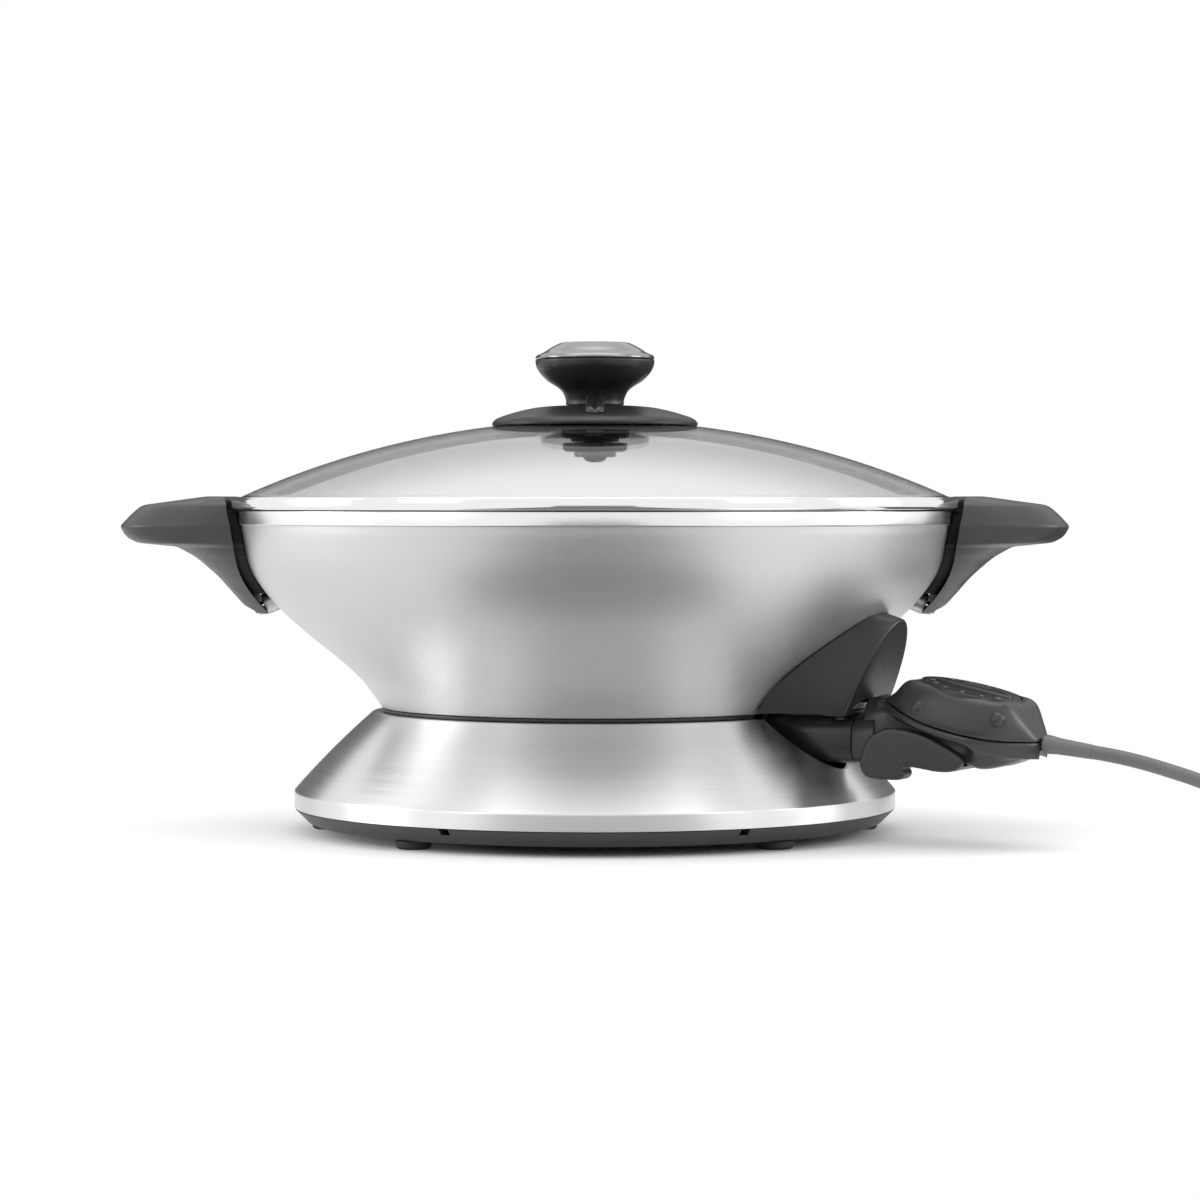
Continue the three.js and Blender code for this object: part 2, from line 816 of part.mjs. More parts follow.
function makeTray() {
  const rimInner = skirtRadius - skirtThickness - runGap;
  let tray = solid(
    ringTurned(
      [
        [studRadius + runGap + collarWall + runGap, recessZ],
        [trayRecessRadius, recessZ],
        [trayRecessRadius + trayRecessSlope, footHeight],
        [trayBottomRadius, footHeight],
        [trayRimRadius, trayRimZ],
        [rimInner, trayRimZ],
        [rimInner, trayRimZ + trayLipHeight],
        [rimInner - trayWall, trayRimZ + trayLipHeight],
        [trayBottomRadius - trayWall, trayTopZ],
        [trayRecessRadius + trayRecessSlope + trayWall, trayTopZ],
        [trayRecessRadius + trayWall, recessZ + trayFloor],
        [studRadius + runGap + collarWall + runGap, recessZ + trayFloor],
      ],
      bodySides,
    ),
  );
  const columnTopZ = cradleHubBottomZ - fitGap;
  for (const angle of screwAngles) {
    const place = onCircle(screwCircleRadius, angle, 0);
    const column = bar(trayColumnRadius, footHeight, columnTopZ);
    const bore = bar(screwRadius + fitGap, footHeight - overrun, columnTopZ + overrun);
    const sinkTopZ = footHeight + screwHeadThickness + fitGap;
    const sink = bar(screwHeadRadius + fitGap, footHeight - overrun, sinkTopZ);
    tray = tray.add(solid(column.translate(...place)));
    tray = tray.subtract(solid(bore.translate(...place))).subtract(solid(sink.translate(...place)));
  }
  for (const angle of footAngles) {
    const socket = bar(footPlugRadius + fitGap, footHeight - overrun, trayTopZ + overrun);
    tray = tray.subtract(solid(socket.translate(...onCircle(footCircleRadius, angle, 0))));
  }
  for (const angle of trayNotchAngles) {
    const low = [trayBottomRadius - trayWall / 2, -trayNotchWidth / 2, trayRimZ - trayNotchDepth];
    const notch = box(low, [skirtRadius, trayNotchWidth / 2, trayRimZ + fitGap]);
    tray = tray.subtract(solid(notch.rotateZ(radians(angle))));
  }
  return tray;
}

function makeFoot() {
  return turned(
    [
      [0, 0],
      [footRadius - footEdge, 0],
      [footRadius, footEdge],
      [footRadius, footHeight - fitGap],
      [footPlugRadius, footHeight - fitGap],
      [footPlugRadius, footHeight + footPlugHeight],
      [0, footHeight + footPlugHeight],
    ],
    smallSides,
  );
}

function makeCradle() {
  const rimBottomZ = cradleTopZ - cradleRimThickness;
  let cradle = solid(
    ringTurned(
      [
        [cradleHubInnerRadius, cradleHubBottomZ],
        [cradleHubOuterRadius, cradleHubBottomZ],
        [cradleHubOuterRadius, rimBottomZ],
        [cradleRimRadius, rimBottomZ],
        [cradleRimRadius, cradleTopZ],
        [cradleHubInnerRadius, cradleTopZ],
      ],
      bodySides,
    ),
  );
  cradle = cradle.subtract(socketNotch(fitGap));
  for (const angle of screwAngles) {
    const earTopZ = cradleHubBottomZ + cradleEarThickness;
    const earEnd = (cradleHubInnerRadius + cradleHubOuterRadius) / 2;
    const low = [screwCircleRadius - trayColumnRadius, -trayColumnRadius, cradleHubBottomZ];
    const high = [earEnd, trayColumnRadius, earTopZ];
    const hole = bar(screwRadius + fitGap, cradleHubBottomZ - overrun, earTopZ + overrun);
    cradle = cradle.add(solid(box(low, high).rotateZ(radians(angle))));
    cradle = cradle.subtract(solid(hole.translate(...onCircle(screwCircleRadius, angle, 0))));
  }
  return cradle;
}

// A screw that points up: head below, shank above.
function upwardScrew(headRadius, headThickness, radius, lowZ, highZ, sides = smallSides) {
  return turned(
    [
      [0, lowZ],
      [headRadius, lowZ],
      [headRadius, lowZ + headThickness],
      [radius, lowZ + headThickness],
      [radius, highZ],
      [0, highZ],
    ],
    sides,
  );
}

function makeLockCollet() {
  const inner = studRadius + runGap;
  const outer = inner + collarWall;
  const flangeZ = recessZ + trayFloor + fitGap;
  const body = solid(
    ringTurned(
      [
        [inner, collarBottomZ],
        [collarLipRadius, collarBottomZ],
        [collarLipRadius, collarBottomZ + collarLipThickness],
        [outer, collarBottomZ + collarLipThickness],
        [outer, flangeZ],
        [collarFlangeRadius, flangeZ],
        [collarFlangeRadius, flangeZ + collarFlangeThickness],
        [outer, flangeZ + collarFlangeThickness],
        [outer, collarTopZ],
        [inner, collarTopZ],
      ],
      hiddenSides,
    ),
  );
  const slotLow = [-collarFlangeRadius, -collarSlot / 2, flangeZ + collarFlangeThickness];
  const slot = solid(box(slotLow, [collarFlangeRadius, collarSlot / 2, collarTopZ + overrun]));
  return body.subtract(slot);
}

function makeLockKnob() {
  const hubInner = studRadius + runGap + collarWall + runGap;
  const topZ = recessZ - runGap;
  const bottomZ = collarBottomZ + collarLipThickness + runGap;
  const disc = ringTurned(
    [
      [hubInner, bottomZ],
      [hubInner + lockRimWidth, bottomZ],
      [hubInner + lockRimWidth, topZ - lockThickness],
      [lockRadius - lockRimWidth, topZ - lockThickness],
      [lockRadius - lockRimWidth, topZ - lockRimDepth],
      [lockRadius, topZ - lockRimDepth],
      [lockRadius, topZ],
      [hubInner, topZ],
    ],
    knobSides,
  );
  let knob = solid(disc);
  for (const side of [-1, 1]) {
    const from = side * (hubInner + lockRimWidth / 2);
    const to = side * lockGripLength;
    const low = [Math.min(from, to), -lockGripWidth / 2, bottomZ];
    const high = [Math.max(from, to), lockGripWidth / 2, topZ - lockThickness / 2];
    knob = knob.add(solid(box(low, high)));
  }
  return knob;
}

// Bowl

// The measured line of the bowl's outside, as shares of the way from foot to lip
const wallShares = [
  [0, 0],
  [0.05, 0.06],
  [0.145, 0.157],
  [0.3, 0.27],
  [0.515, 0.409],
  [0.74, 0.577],
  [0.905, 0.76],
  [0.985, 0.94],
  [1, 1],
];
// The cooking surface towards the middle: share of the foot's radius, share of the wall's height
const floorShares = [
  [1.02, 0.075],
  [0.85, 0.027],
];
const wallTopRadius = lipRadius - lipStep;
const wallOutline = fromShares(
  wallShares,
  bowlFootRadius,
  wallTopRadius - bowlFootRadius,
  bowlFootZ,
  lipBottomZ - bowlFootZ,
);

// The bowl's outside radius at a height on its wall.
function bowlRadiusAt(z) {
  const above = wallOutline.findIndex((point) => point[1] >= z);
  const [low, high] = [wallOutline[above - 1], wallOutline[above]];
  return low[0] + ((high[0] - low[0]) * (z - low[1])) / (high[1] - low[1]);
}

// The bowl's outer form, larger all round by a margin: what its neighbours are cut by.
function bowlForm(margin) {
  const wall = moved(wallOutline, margin);
  return solid(
    turned(
      [
        [0, bowlFootZ - margin],
        [bowlFootRadius, bowlFootZ - margin],
        ...wall,
        [lipRadius + margin, lipBottomZ],
        [lipRadius + margin, rimTopZ + overrun],
        [0, rimTopZ + overrun],
      ],
      bodySides,
    ),
  );
}

function makeBowl() {
  const grooveInner = elementRingRadius - elementGroove;
  const grooveOuter = elementRingRadius + elementGroove;
  const grooveTopZ = elementTubeZ + elementTubeRadius + fitGap;
  const floor = fromShares(floorShares, 0, bowlFootRadius, bowlFloorZ, lipBottomZ - bowlFootZ);
  const innerWall = moved(wallOutline, -bowlWall).filter(([, z]) => z > floor[0][1] + bowlWall).reverse();
  const profile = [
    [0, bowlFootZ - studBossDepth + studSpigotLength + fitGap],
    [studSpigotRadius + fitGap, bowlFootZ - studBossDepth + studSpigotLength + fitGap],
    [studSpigotRadius + fitGap, bowlFootZ - studBossDepth],
    [studBossRadius, bowlFootZ - studBossDepth],
    [studBossRadius, bowlUndersideZ],
    [grooveInner - elementRidgeWall, bowlUndersideZ],
    [grooveInner - elementRidgeWall, ridgeBottomZ],
    [grooveInner, ridgeBottomZ],
    [grooveInner, grooveTopZ],
    [grooveOuter, grooveTopZ],
    [grooveOuter, ridgeBottomZ],
    [grooveOuter + elementRidgeWall, ridgeBottomZ],
    [grooveOuter + elementRidgeWall, bowlUndersideZ],
    [spigotRadius - spigotWall, bowlUndersideZ],
    [spigotRadius - spigotWall, spigotBottomZ],
    [spigotRadius, spigotBottomZ],
    [spigotRadius, bowlUndersideZ],
    [bowlFootRadius - bowlFootWidth, bowlUndersideZ],
    [bowlFootRadius - bowlFootWidth, bowlFootZ],
    ...wallOutline,
    [lipRadius, lipBottomZ + lipStep / 2],
    [lipRadius, rimTopZ - lipStep / 2],
    [lipRadius - lipStep / 2, rimTopZ],
    [mouthRadius, rimTopZ],
    ...innerWall,
    ...floor,
    [0, bowlFloorZ],
  ];
  return solid(turned(profile, bodySides));
}

// What the casting has on the probe's side, in the probe's frame.
function dressBowl(plainBowl) {
  const toFrame = (made) => solid(made.rotateZ(radians(probeAngle)));
  const grooveOuter = elementRingRadius + elementGroove + elementRidgeWall;
  const grooveTopZ = elementTubeZ + elementTubeRadius + fitGap;
  const exit = box(
    [elementRingRadius - elementTubeRadius, -elementExitHalfWidth, ridgeBottomZ - overrun],
    [grooveOuter + fitGap, elementExitHalfWidth, grooveTopZ],
  );
  const spigotWindow = box(
    [spigotRadius - spigotWall - overrun, -windowHalfWidth, spigotBottomZ - overrun],
    [spigotRadius + fitGap, windowHalfWidth, grooveTopZ],
  );
  const wellHalf = rodRadius + fitGap + wellWall;
  const wellTopZ = bowlFloorZ - bowlUndersideRise;
  const well = box([rodTipX - overrun, -wellHalf, rodZ - wellHalf], [wellEndX, wellHalf, wellTopZ]);
  const wellBore = laid(bar(rodRadius + fitGap, rodTipX - fitGap, wellEndX + overrun), 0, rodZ);
  const tongue = box(
    [bowlFootRadius - bowlFootWidth, -tongueHalfWidth, tongueBottomZ],
    [tongueEndX, tongueHalfWidth, tongueTopZ],
  );
  let bowl = plainBowl.subtract(toFrame(exit)).subtract(toFrame(spigotWindow));
  bowl = bowl.add(toFrame(well)).subtract(toFrame(wellBore));
  bowl = bowl.add(toFrame(tongue));
  for (const side of [-1, 1]) {
    const hole = bar(hoodScrewRadius + fitGap, tongueBottomZ - overrun, tongueTopZ + overrun);
    bowl = bowl.subtract(toFrame(hole.translate(hoodWebX, side * hoodBossSpread, 0)));
  }
  return bowl;
}

// A bar that leaves the bowl's wall outwards and down at the handle's foot, by two distances
// from the wall, on the right-hand side.
function handleBar(radius, from, to) {
  const made = bar(radius, from, to).rotateY(Math.PI / 2 + radians(bossTilt));
  return made.translate(bowlRadiusAt(bossZ), 0, bossZ);
}

// The cast bosses that carry the handles, each with its screw hole.
function addHandleBosses(bowl) {
  let made = bowl;
  for (const turn of [0, Math.PI]) {
    const boss = solid(handleBar(bossRadius, -bowlWall / 2, bossHeight).rotateZ(turn));
    const hole = handleBar(screwRadius + fitGap, -handleScrewDepth - fitGap, bossHeight + overrun);
    made = made.add(boss).subtract(solid(hole.rotateZ(turn)));
  }
  return made;
}

// The handle's slices in real sizes.
const handleSlices = handleSliceShares.map(({ up, out, wide, squareness }) => ({
  z: handleBottomZ + up * (handleTopZ - handleBottomZ),
  reach: handleRootX + out * (handleTipX - handleRootX),
  halfWidth: wide * handleHalfWidth,
  squareness,
}));

// One level outline of a handle, as a ring of points.
function handleRing(slice, inset) {
  const depth = slice.reach - inset - handleCentreX;
  const points = [];
  for (let i = 0; i <= handleSidePoints; i++) {
    const turn = Math.PI * (i / handleSidePoints - 1 / 2);
    const x = handleCentreX + depth * rounded(Math.cos(turn), slice.squareness);
    points.push(vec(x, (slice.halfWidth - inset) * rounded(Math.sin(turn), slice.squareness), slice.z));
  }
  return points;
}

function makeHandle() {
  const body = solid(loft(handleSlices.map((slice) => handleRing(slice, 0))));
  const clear = bar(handleInnerRadius, handleInnerZ, lidRimTopZ + overrun, bodySides);
  const sinkFrom = handleScrewReach - screwHeadThickness;
  const sink = handleBar(screwHeadRadius + fitGap, sinkFrom, handleScrewReach + 2 * overrun);
  const bore = handleBar(screwRadius + fitGap, 0, handleScrewReach);
  return body
    .subtract(bowlForm(padThickness + 2 * fitGap))
    .subtract(solid(handleBar(bossRadius + fitGap, 0, bossHeight + fitGap)))
    .subtract(solid(clear))
    .subtract(solid(sink))
    .subtract(solid(bore));
}

function makeHandlePad() {
  const within = handleSlices.filter(({ z }) => z > padBottomZ && z < padTopZ);
  const first = { ...within[0], z: padBottomZ };
  const last = { ...within.at(-1), z: padTopZ };
  const block = solid(loft([first, ...within, last].map((slice) => handleRing(slice, padMargin))));
  const pad = block.intersect(bowlForm(padThickness + fitGap)).subtract(bowlForm(fitGap));
  return pad.subtract(solid(handleBar(bossRadius + fitGap, -bowlWall, padThickness + overrun)));
}

function makeHandleScrew() {
  const shank = solid(handleBar(screwRadius, -handleScrewDepth, handleScrewReach - screwHeadThickness));
  const head = solid(
    handleBar(screwHeadRadius, handleScrewReach - screwHeadThickness + fitGap, handleScrewReach),
  );
  const neck = solid(handleBar(screwRadius, 0, handleScrewReach - screwHeadThickness / 2));
  return shank.add(neck).add(head);
}

function makeElement() {
  const ring = [];
  for (let i = 0; i <= elementSteps; i++) {
    const angle = elementOpenAngle + ((360 - 2 * elementOpenAngle) * i) / elementSteps;
    ring.push(onCircle(elementRingRadius, angle, elementTubeZ));
  }
  const end = vec(elementEndX, pinSpread, pinZ);
  const ramp = elementRampShares.map(([along, climb]) => {
    const level = end.clone().lerp(ring[0], climb);
    return level.setX(THREE.MathUtils.lerp(end.x, ring[0].x, along));
  });
  const mirrored = ramp.map(({ x, y, z }) => vec(x, -y, z)).reverse();
  const route = [...ramp, ...ring, ...mirrored];
  const curve = new THREE.CatmullRomCurve3(route, false, "centripetal");
  return tubeAlong(curve, elementTubeRadius, coilSides, 2 * elementSteps);
}

// A tube along a curve, with flat ends.
function tubeAlong(curve, radius, sides, steps) {
  const section = new THREE.Shape();
  section.absarc(0, 0, radius, 0, 2 * Math.PI, false);
  return new THREE.ExtrudeGeometry(section, {
    steps,
    curveSegments: sides / 2,
    bevelEnabled: false,
    extrudePath: curve,
  });
}

function makeBowlStud() {
  const bossZ = bowlFootZ - studBossDepth;
  const flangeTopZ = bossZ - fitGap;
  return turned(
    [
      [0, studBottomZ],
      [studRadius - footEdge, studBottomZ],
      [studRadius, studBottomZ + footEdge],
      [studRadius, flangeTopZ - studFlangeThickness],
      [studFlangeRadius, flangeTopZ - studFlangeThickness],
      [studFlangeRadius, flangeTopZ],
      [studSpigotRadius, flangeTopZ],
      [studSpigotRadius, bossZ + studSpigotLength],
      [0, bossZ + studSpigotLength],
    ],
    hiddenSides,
  );
}

// Socket guard and hood, in the probe's frame

function makeGuard() {
  const wall = guardWall;
  const outer = roundedBlock(guardBackX, guardEndX, guardHalfWidth, guardHalfHeight, socketZ);
  const innerFromX = guardBackX + guardBackThickness;
  const openEndX = guardEndX + overrun;
  const inner = roundedBlock(innerFromX, openEndX, guardHalfWidth - wall, guardHalfHeight - wall, socketZ);
  const lug = box(
    [guardLugStartX, -guardLugHalfWidth, guardTopZ - wall],
    [guardEndX, guardLugHalfWidth, guardTopZ + guardLugThickness],
  );
  let guard = outer.add(solid(lug)).subtract(inner);
  for (const side of [-1, 1]) {
    const pinHole = bar(pinRadius + fitGap, guardBackX - overrun, innerFromX + overrun);
    guard = guard.subtract(solid(laid(pinHole, side * pinSpread, pinZ)));
    const screwHole = bar(hoodScrewRadius + fitGap, guardTopZ - overrun, tongueBottomZ);
    guard = guard.subtract(solid(screwHole.translate(hoodWebX, side * hoodBossSpread, 0)));
  }
  const rodHole = laid(bar(rodRadius + fitGap, guardBackX - overrun, innerFromX + overrun), 0, rodZ);
  return guard.subtract(solid(rodHole));
}

// The hood's two arches: one run in past the bowl's wall, and its leaning face.
function hoodArches(inset) {
  const rootHalf = hoodRootHalfWidth - inset;
  const rootHeight = hoodRootHeight - inset;
  const faceHalf = hoodFaceHalfWidth - inset;
  const faceHeight = hoodFaceHeight - inset;
  const root = [];
  const face = [];
  const low = inset > 0 ? hoodBottomZ - overrun : hoodBottomZ;
  for (let i = 0; i <= hoodArchPoints; i++) {
    const turn = (Math.PI * i) / hoodArchPoints;
    const across = Math.cos(turn);
    const up = Math.max(Math.sin(turn), 0);
    const rootY = rootHalf * rounded(across, hoodRootSquareness);
    const rootZ = hoodBottomZ + rootHeight * rounded(up, hoodRootSquareness);
    const wallX = Math.sqrt(bowlRadiusAt(rootZ) ** 2 - rootY ** 2);
    const faceZ = hoodBottomZ + faceHeight * rounded(up, 2);
    const faceX = hoodFaceX - inset + hoodFaceLeanShare * (faceZ - hoodBottomZ);
    root.push(vec(wallX, rootY, rootZ));
    face.push(vec(faceX, faceHalf * rounded(across, 2), faceZ));
  }
  for (const arch of [root, face]) {
    arch[0].z = low;
    arch.at(-1).z = low;
  }
  const hidden = root.map((point, i) => point.clone().lerp(face[i], -hoodRunInShare));
  hidden[0].z = low;
  hidden.at(-1).z = low;
  return [hidden, face];
}

function makeHood() {
  const whole = solid(loft(hoodArches(0)));
  const hollow = solid(loft(hoodArches(hoodWall)));
  const relief = new THREE.Shape();
  relief.absellipse(0, 0, hoodReliefHalfWidth, hoodReliefHeight, 0, 2 * Math.PI, false, 0);
  const depth = 2 * hoodWall + overrun;
  const curveSegments = archSegments;
  const reliefCut = new THREE.ExtrudeGeometry(relief, { depth, bevelEnabled: false, curveSegments });
  reliefCut.rotateX(Math.PI / 2).rotateZ(Math.PI / 2).translate(hoodFaceX - 2 * hoodWall, 0, hoodBottomZ);
  const webLowZ = tongueTopZ + fitGap;
  const web = box(
    [hoodWebX - hoodWall / 2, -hoodRootHalfWidth, webLowZ],
    [hoodWebX + hoodWall / 2, hoodRootHalfWidth, webLowZ + hoodWebHeight],
  );
  let inside = solid(web);
  for (const side of [-1, 1]) {
    const boss = bar(hoodBossRadius, webLowZ, webLowZ + hoodWebHeight);
    inside = inside.add(solid(boss.translate(hoodWebX, side * hoodBossSpread, 0)));
  }
  const form = bowlForm(2 * fitGap).rotate([0, 0, -probeAngle]);
  let hood = whole.subtract(hollow).subtract(solid(reliefCut)).add(inside.intersect(whole)).subtract(form);
  for (const side of [-1, 1]) {
    const bore = bar(hoodScrewRadius + fitGap, webLowZ - overrun, webLowZ + hoodScrewLength);
    hood = hood.subtract(solid(bore.translate(hoodWebX, side * hoodBossSpread, 0)));
  }
  return hood;
}

function makeHoodScrew(side) {
  const headZ = guardTopZ - hoodScrewHeadThickness - guardWall - fitGap;
  const topZ = tongueTopZ + hoodScrewLength;
  const made = upwardScrew(hoodScrewHeadRadius, hoodScrewHeadThickness, hoodScrewRadius, headZ, topZ);
  return made.translate(hoodWebX, side * hoodBossSpread, 0);
}

// Lid

// Height of the glass at a radius, on its top or, with the thickness, underneath.
function glassZ(radius, depth = 0) {
  const sphere = glassSphereRadius - depth;
  return glassApexZ - glassSphereRadius + Math.sqrt(sphere ** 2 - radius ** 2);
}

// Points along the glass between two radii, at a depth under its top.
function alongGlass(fromRadius, toRadius, depth, steps) {
  return Array.from({ length: steps + 1 }, (_, i) => {
    const radius = fromRadius + ((toRadius - fromRadius) * i) / steps;
    return [radius, glassZ(radius, depth)];
  });
}

function makeGlass() {
  const under = alongGlass(glassHoleRadius, glassRadius, glassThickness, glassSteps);
  const top = alongGlass(glassRadius, glassHoleRadius, 0, glassSteps);
  return ringTurned([...under, ...top], bodySides);
}

function makeLidRim() {
  const seat = glassRadius + fitGap;
  const inner = glassRadius - rimSeatWidth;
  const lowZ = rimTopZ + runGap;
  return ringTurned(
    [
      [inner, lowZ - rimLegDepth],
      [inner + rimLegWidth, lowZ - rimLegDepth],
      [inner + rimLegWidth, lowZ],
      [rimOuterRadius - rimEdge, lowZ],
      [rimOuterRadius, lowZ + rimEdge],
      [rimOuterRadius, lidRimTopZ - rimEdge],
      [rimOuterRadius - rimEdge, lidRimTopZ],
      [seat, lidRimTopZ],
      [seat, glassZ(seat, glassThickness) - fitGap],
      [inner, glassZ(inner, glassThickness) - fitGap],
    ],
    bodySides,
  );
}

function makeVentCollar() {
  const rimZ = glassZ(ventCollarRadius) + fitGap;
  const landRadius = ventCollarRadius - ventCollarLand;
  const underside = alongGlass(landRadius, ventBushRadius, -sealThickness - 2 * fitGap, sealSteps);
  const bushZ = glassApexZ - ventBushDepth;
  const bore = knobShaftRadius + runGap;
  const edgeZ = rimZ + ventCollarEdge;
  const dome = fromShares(collarDomeShares, 0, ventCollarRadius, edgeZ, ventCollarTopZ - edgeZ);
  let collar = solid(
    ringTurned(
      [
        [bore, bushZ],
        [ventBushRadius, bushZ],
        ...underside.reverse(),
        [landRadius, glassZ(landRadius) + fitGap],
        [ventCollarRadius, rimZ],
        ...dome,
        [bore, ventCollarTopZ],
      ],
      knobSides,
    ),
  );
  for (const angle of ventHoleAngles) {
    for (const turn of [0, 180]) {
      const hole = bar(ventHoleRadius, bushZ - overrun, ventCollarTopZ + overrun);
      collar = collar.subtract(solid(hole.translate(...onCircle(ventHoleCircleRadius, angle + turn, 0))));
    }
  }
  return collar;
}

function makeVentSeal() {
  const outer = ventCollarRadius - ventCollarLand - fitGap;
  const inner = ventBushRadius + fitGap;
  const low = alongGlass(inner, outer, -fitGap, sealSteps);
  const high = alongGlass(outer, inner, -fitGap - sealThickness, sealSteps);
  return ringTurned([...low, ...high], knobSides);
}

function makeVentNut() {
  const topZ = glassZ(ventNutRadius, glassThickness) - fitGap;
  return tube(ventNutRadius, ventBushRadius + fitGap, topZ - ventNutThickness, topZ, knobSides);
}

// Knob

const knobShaftZ = glassApexZ - ventBushDepth - runGap - fitGap;

function makeKnob() {
  const flare = knobRadius - knobNeckRadius;
  const profile = fromShares(knobShares, knobNeckRadius, flare, knobBottomZ, knobWidestZ - knobBottomZ);
  const topZ = knobWidestZ + knobEdge;
  const body = solid(
    turned(
      [
        [0, knobShaftZ + knobScrewDepth],
        [knobScrewRadius + fitGap, knobShaftZ + knobScrewDepth],
        [knobScrewRadius + fitGap, knobShaftZ],
        [knobShaftRadius, knobShaftZ],
        [knobShaftRadius, knobBottomZ],
        ...profile,
        [knobRadius - knobEdge, topZ],
        [knobCapSpigotRadius, topZ],
        [knobCapSpigotRadius, topZ + knobCapSpigotHeight],
        [0, topZ + knobCapSpigotHeight],
      ],
      knobSides,
    ),
  );
  return body.add(makePointer());
}

// The finger on the knob that lies over the collar's dome and shows the vent's setting.
function makePointer() {
  const rimZ = glassZ(ventCollarRadius) + fitGap + ventCollarEdge;
  const dome = fromShares(collarDomeShares, 0, ventCollarRadius, rimZ, ventCollarTopZ - rimZ);
  const outward = [...dome].reverse();
  const domeZ = (radius) => {
    const after = outward.findIndex(([r]) => r >= radius);
    const [low, high] = [outward[Math.max(after - 1, 0)], outward[after]];
    return after === 0 ? low[1] : low[1] + ((high[1] - low[1]) * (radius - low[0])) / (high[0] - low[0]);
  };
  const bends = outward.map(([radius]) => radius).filter((radius) => radius < pointerReach);
  const radii = [knobNeckRadius / 2, knobNeckRadius, ...bends, pointerReach];
  const side = new THREE.Shape();
  const under = radii.map((radius) => [radius, domeZ(radius) + runGap]);
  const over = [
    [pointerReach, domeZ(pointerReach) + runGap + pointerHeight / 2],
    [pointerReach - pointerHeight / 2, domeZ(pointerReach) + runGap + pointerHeight],
    [outward[1][0], domeZ(outward[1][0]) + runGap + pointerHeight],
    [knobNeckRadius, knobBottomZ + pointerRootHeight],
    [knobNeckRadius / 2, knobBottomZ + pointerRootHeight],
  ];
  side.setFromPoints([...under, ...over].map(([x, y]) => new THREE.Vector2(x, y)));
  const made = new THREE.ExtrudeGeometry(side, { depth: 2 * pointerHalfWidth, bevelEnabled: false });
  made.rotateX(Math.PI / 2).translate(0, pointerHalfWidth, 0);
  return solid(made.rotateZ(-Math.PI / 2));
}

function makeKnobCap() {
  const lowZ = knobWidestZ + knobEdge + fitGap;
  const innerTopZ = knobWidestZ + knobEdge + knobCapSpigotHeight + fitGap;
  const outer = fromShares(knobCapShares, 0, knobRadius, lowZ, knobCapTopZ - lowZ);
  return turned(
    [
      [0, innerTopZ],
      [knobCapSpigotRadius + fitGap, innerTopZ],
      [knobCapSpigotRadius + fitGap, lowZ],
      ...outer,
      [knobCapFlatRadius, knobCapTopZ],
      [0, knobCapTopZ],
    ],
    knobSides,
  );
}

function makeShutter() {
  const topZ = knobShaftZ - fitGap;
  return tube(shutterRadius, knobScrewRadius + fitGap, topZ - shutterThickness, topZ, hiddenSides);
}

function makeKnobScrew() {
  const washerTopZ = knobShaftZ - 2 * fitGap - shutterThickness;
  const domeZ = washerTopZ - washerThickness;
  return turned(
    [
      ...fromShares(screwDomeShares, 0, screwDomeRadius, domeZ, -screwDomeHeight),
      [washerRadius, domeZ],
      [washerRadius, washerTopZ],
      [knobScrewRadius, washerTopZ],
      [knobScrewRadius, knobShaftZ + knobScrewDepth - fitGap],
      [0, knobShaftZ + knobScrewDepth - fitGap],
    ],
    hiddenSides,
  );
}

// Probe, in its own frame

function makeProbeCollar() {
  const [startX, endX] = [probeCollarStartX, probeCollarEndX];
  const ring = roundedBlock(startX, endX, probeCollarHalfWidth, probeCollarHalfHeight, socketZ);
  const noseHalf = guardHalfWidth - guardWall - noseGap;
  const noseHeight = guardHalfHeight - guardWall - noseGap;
  const nose = roundedBlock(noseStartX, probeCollarEndX, noseHalf, noseHeight, socketZ);
  const humpHeight = collarHumpTopZ - socketZ;
  const startHeight = humpHeight * collarHumpStartShare;
  const hump = solid(
    loft([
      sectionAcrossX(collarHumpStartX, collarHumpHalfWidth, startHeight, socketZ, sectionSquareness),
      sectionAcrossX(probeCollarEndX, collarHumpHalfWidth, humpHeight, socketZ, sectionSquareness),
    ]),
  );
  const below = box(
    [collarHumpStartX - overrun, -housingHalfWidth, socketZ - humpHeight - overrun],
    [probeCollarEndX + overrun, housingHalfWidth, socketZ],
  );
  let collar = ring.add(nose).add(hump.subtract(solid(below)));
  for (const side of [-1, 1]) {
    const bore = bar(pinRadius + contactWall + 2 * fitGap, noseStartX - overrun, endX + overrun);
    collar = collar.subtract(solid(laid(bore, side * pinSpread, pinZ)));
  }
  const rodBore = bar(rodRadius + fitGap, noseStartX - overrun, endX + overrun);
  return collar.subtract(solid(laid(rodBore, 0, rodZ)));
}

function makeReceptacle(side) {
  const inner = pinRadius + fitGap;
  return laid(tube(inner + contactWall, inner, noseStartX, contactEndX), side * pinSpread, pinZ);
}

// Height of the split line, and of the top line, at a share of the housing's length.
function seamZ(share) {
  const along = Math.max(share, 0);
  return housingStartZ - seamDrop * along - seamSag * Math.sin(Math.PI * Math.min(along, 1));
}

function topLineZ(share) {
  const fall = (share - housingTopPlaceShare) * housingLength * housingTopSlopeShare;
  return housingStartZ + housingTopHeight - fall;
}

// A share from a table of slices, between the two slices next to a place.
function sliceShare(slices, key, share) {
  const after = slices.findIndex(({ placeShare }) => placeShare >= share);
  const [low, high] = [slices[after - 1], slices[after]];
  return THREE.MathUtils.mapLinear(share, low.placeShare, high.placeShare, low[key], high[key]);
}

// A ring across X from half an outline, given from its low or high edge towards the middle.
function mirroredRing(x, half) {
  const right = half.map(([y, z]) => vec(x, y, z));
  const left = half.map(([y, z]) => vec(x, -y, z)).reverse();
  return [...right, ...left];
}

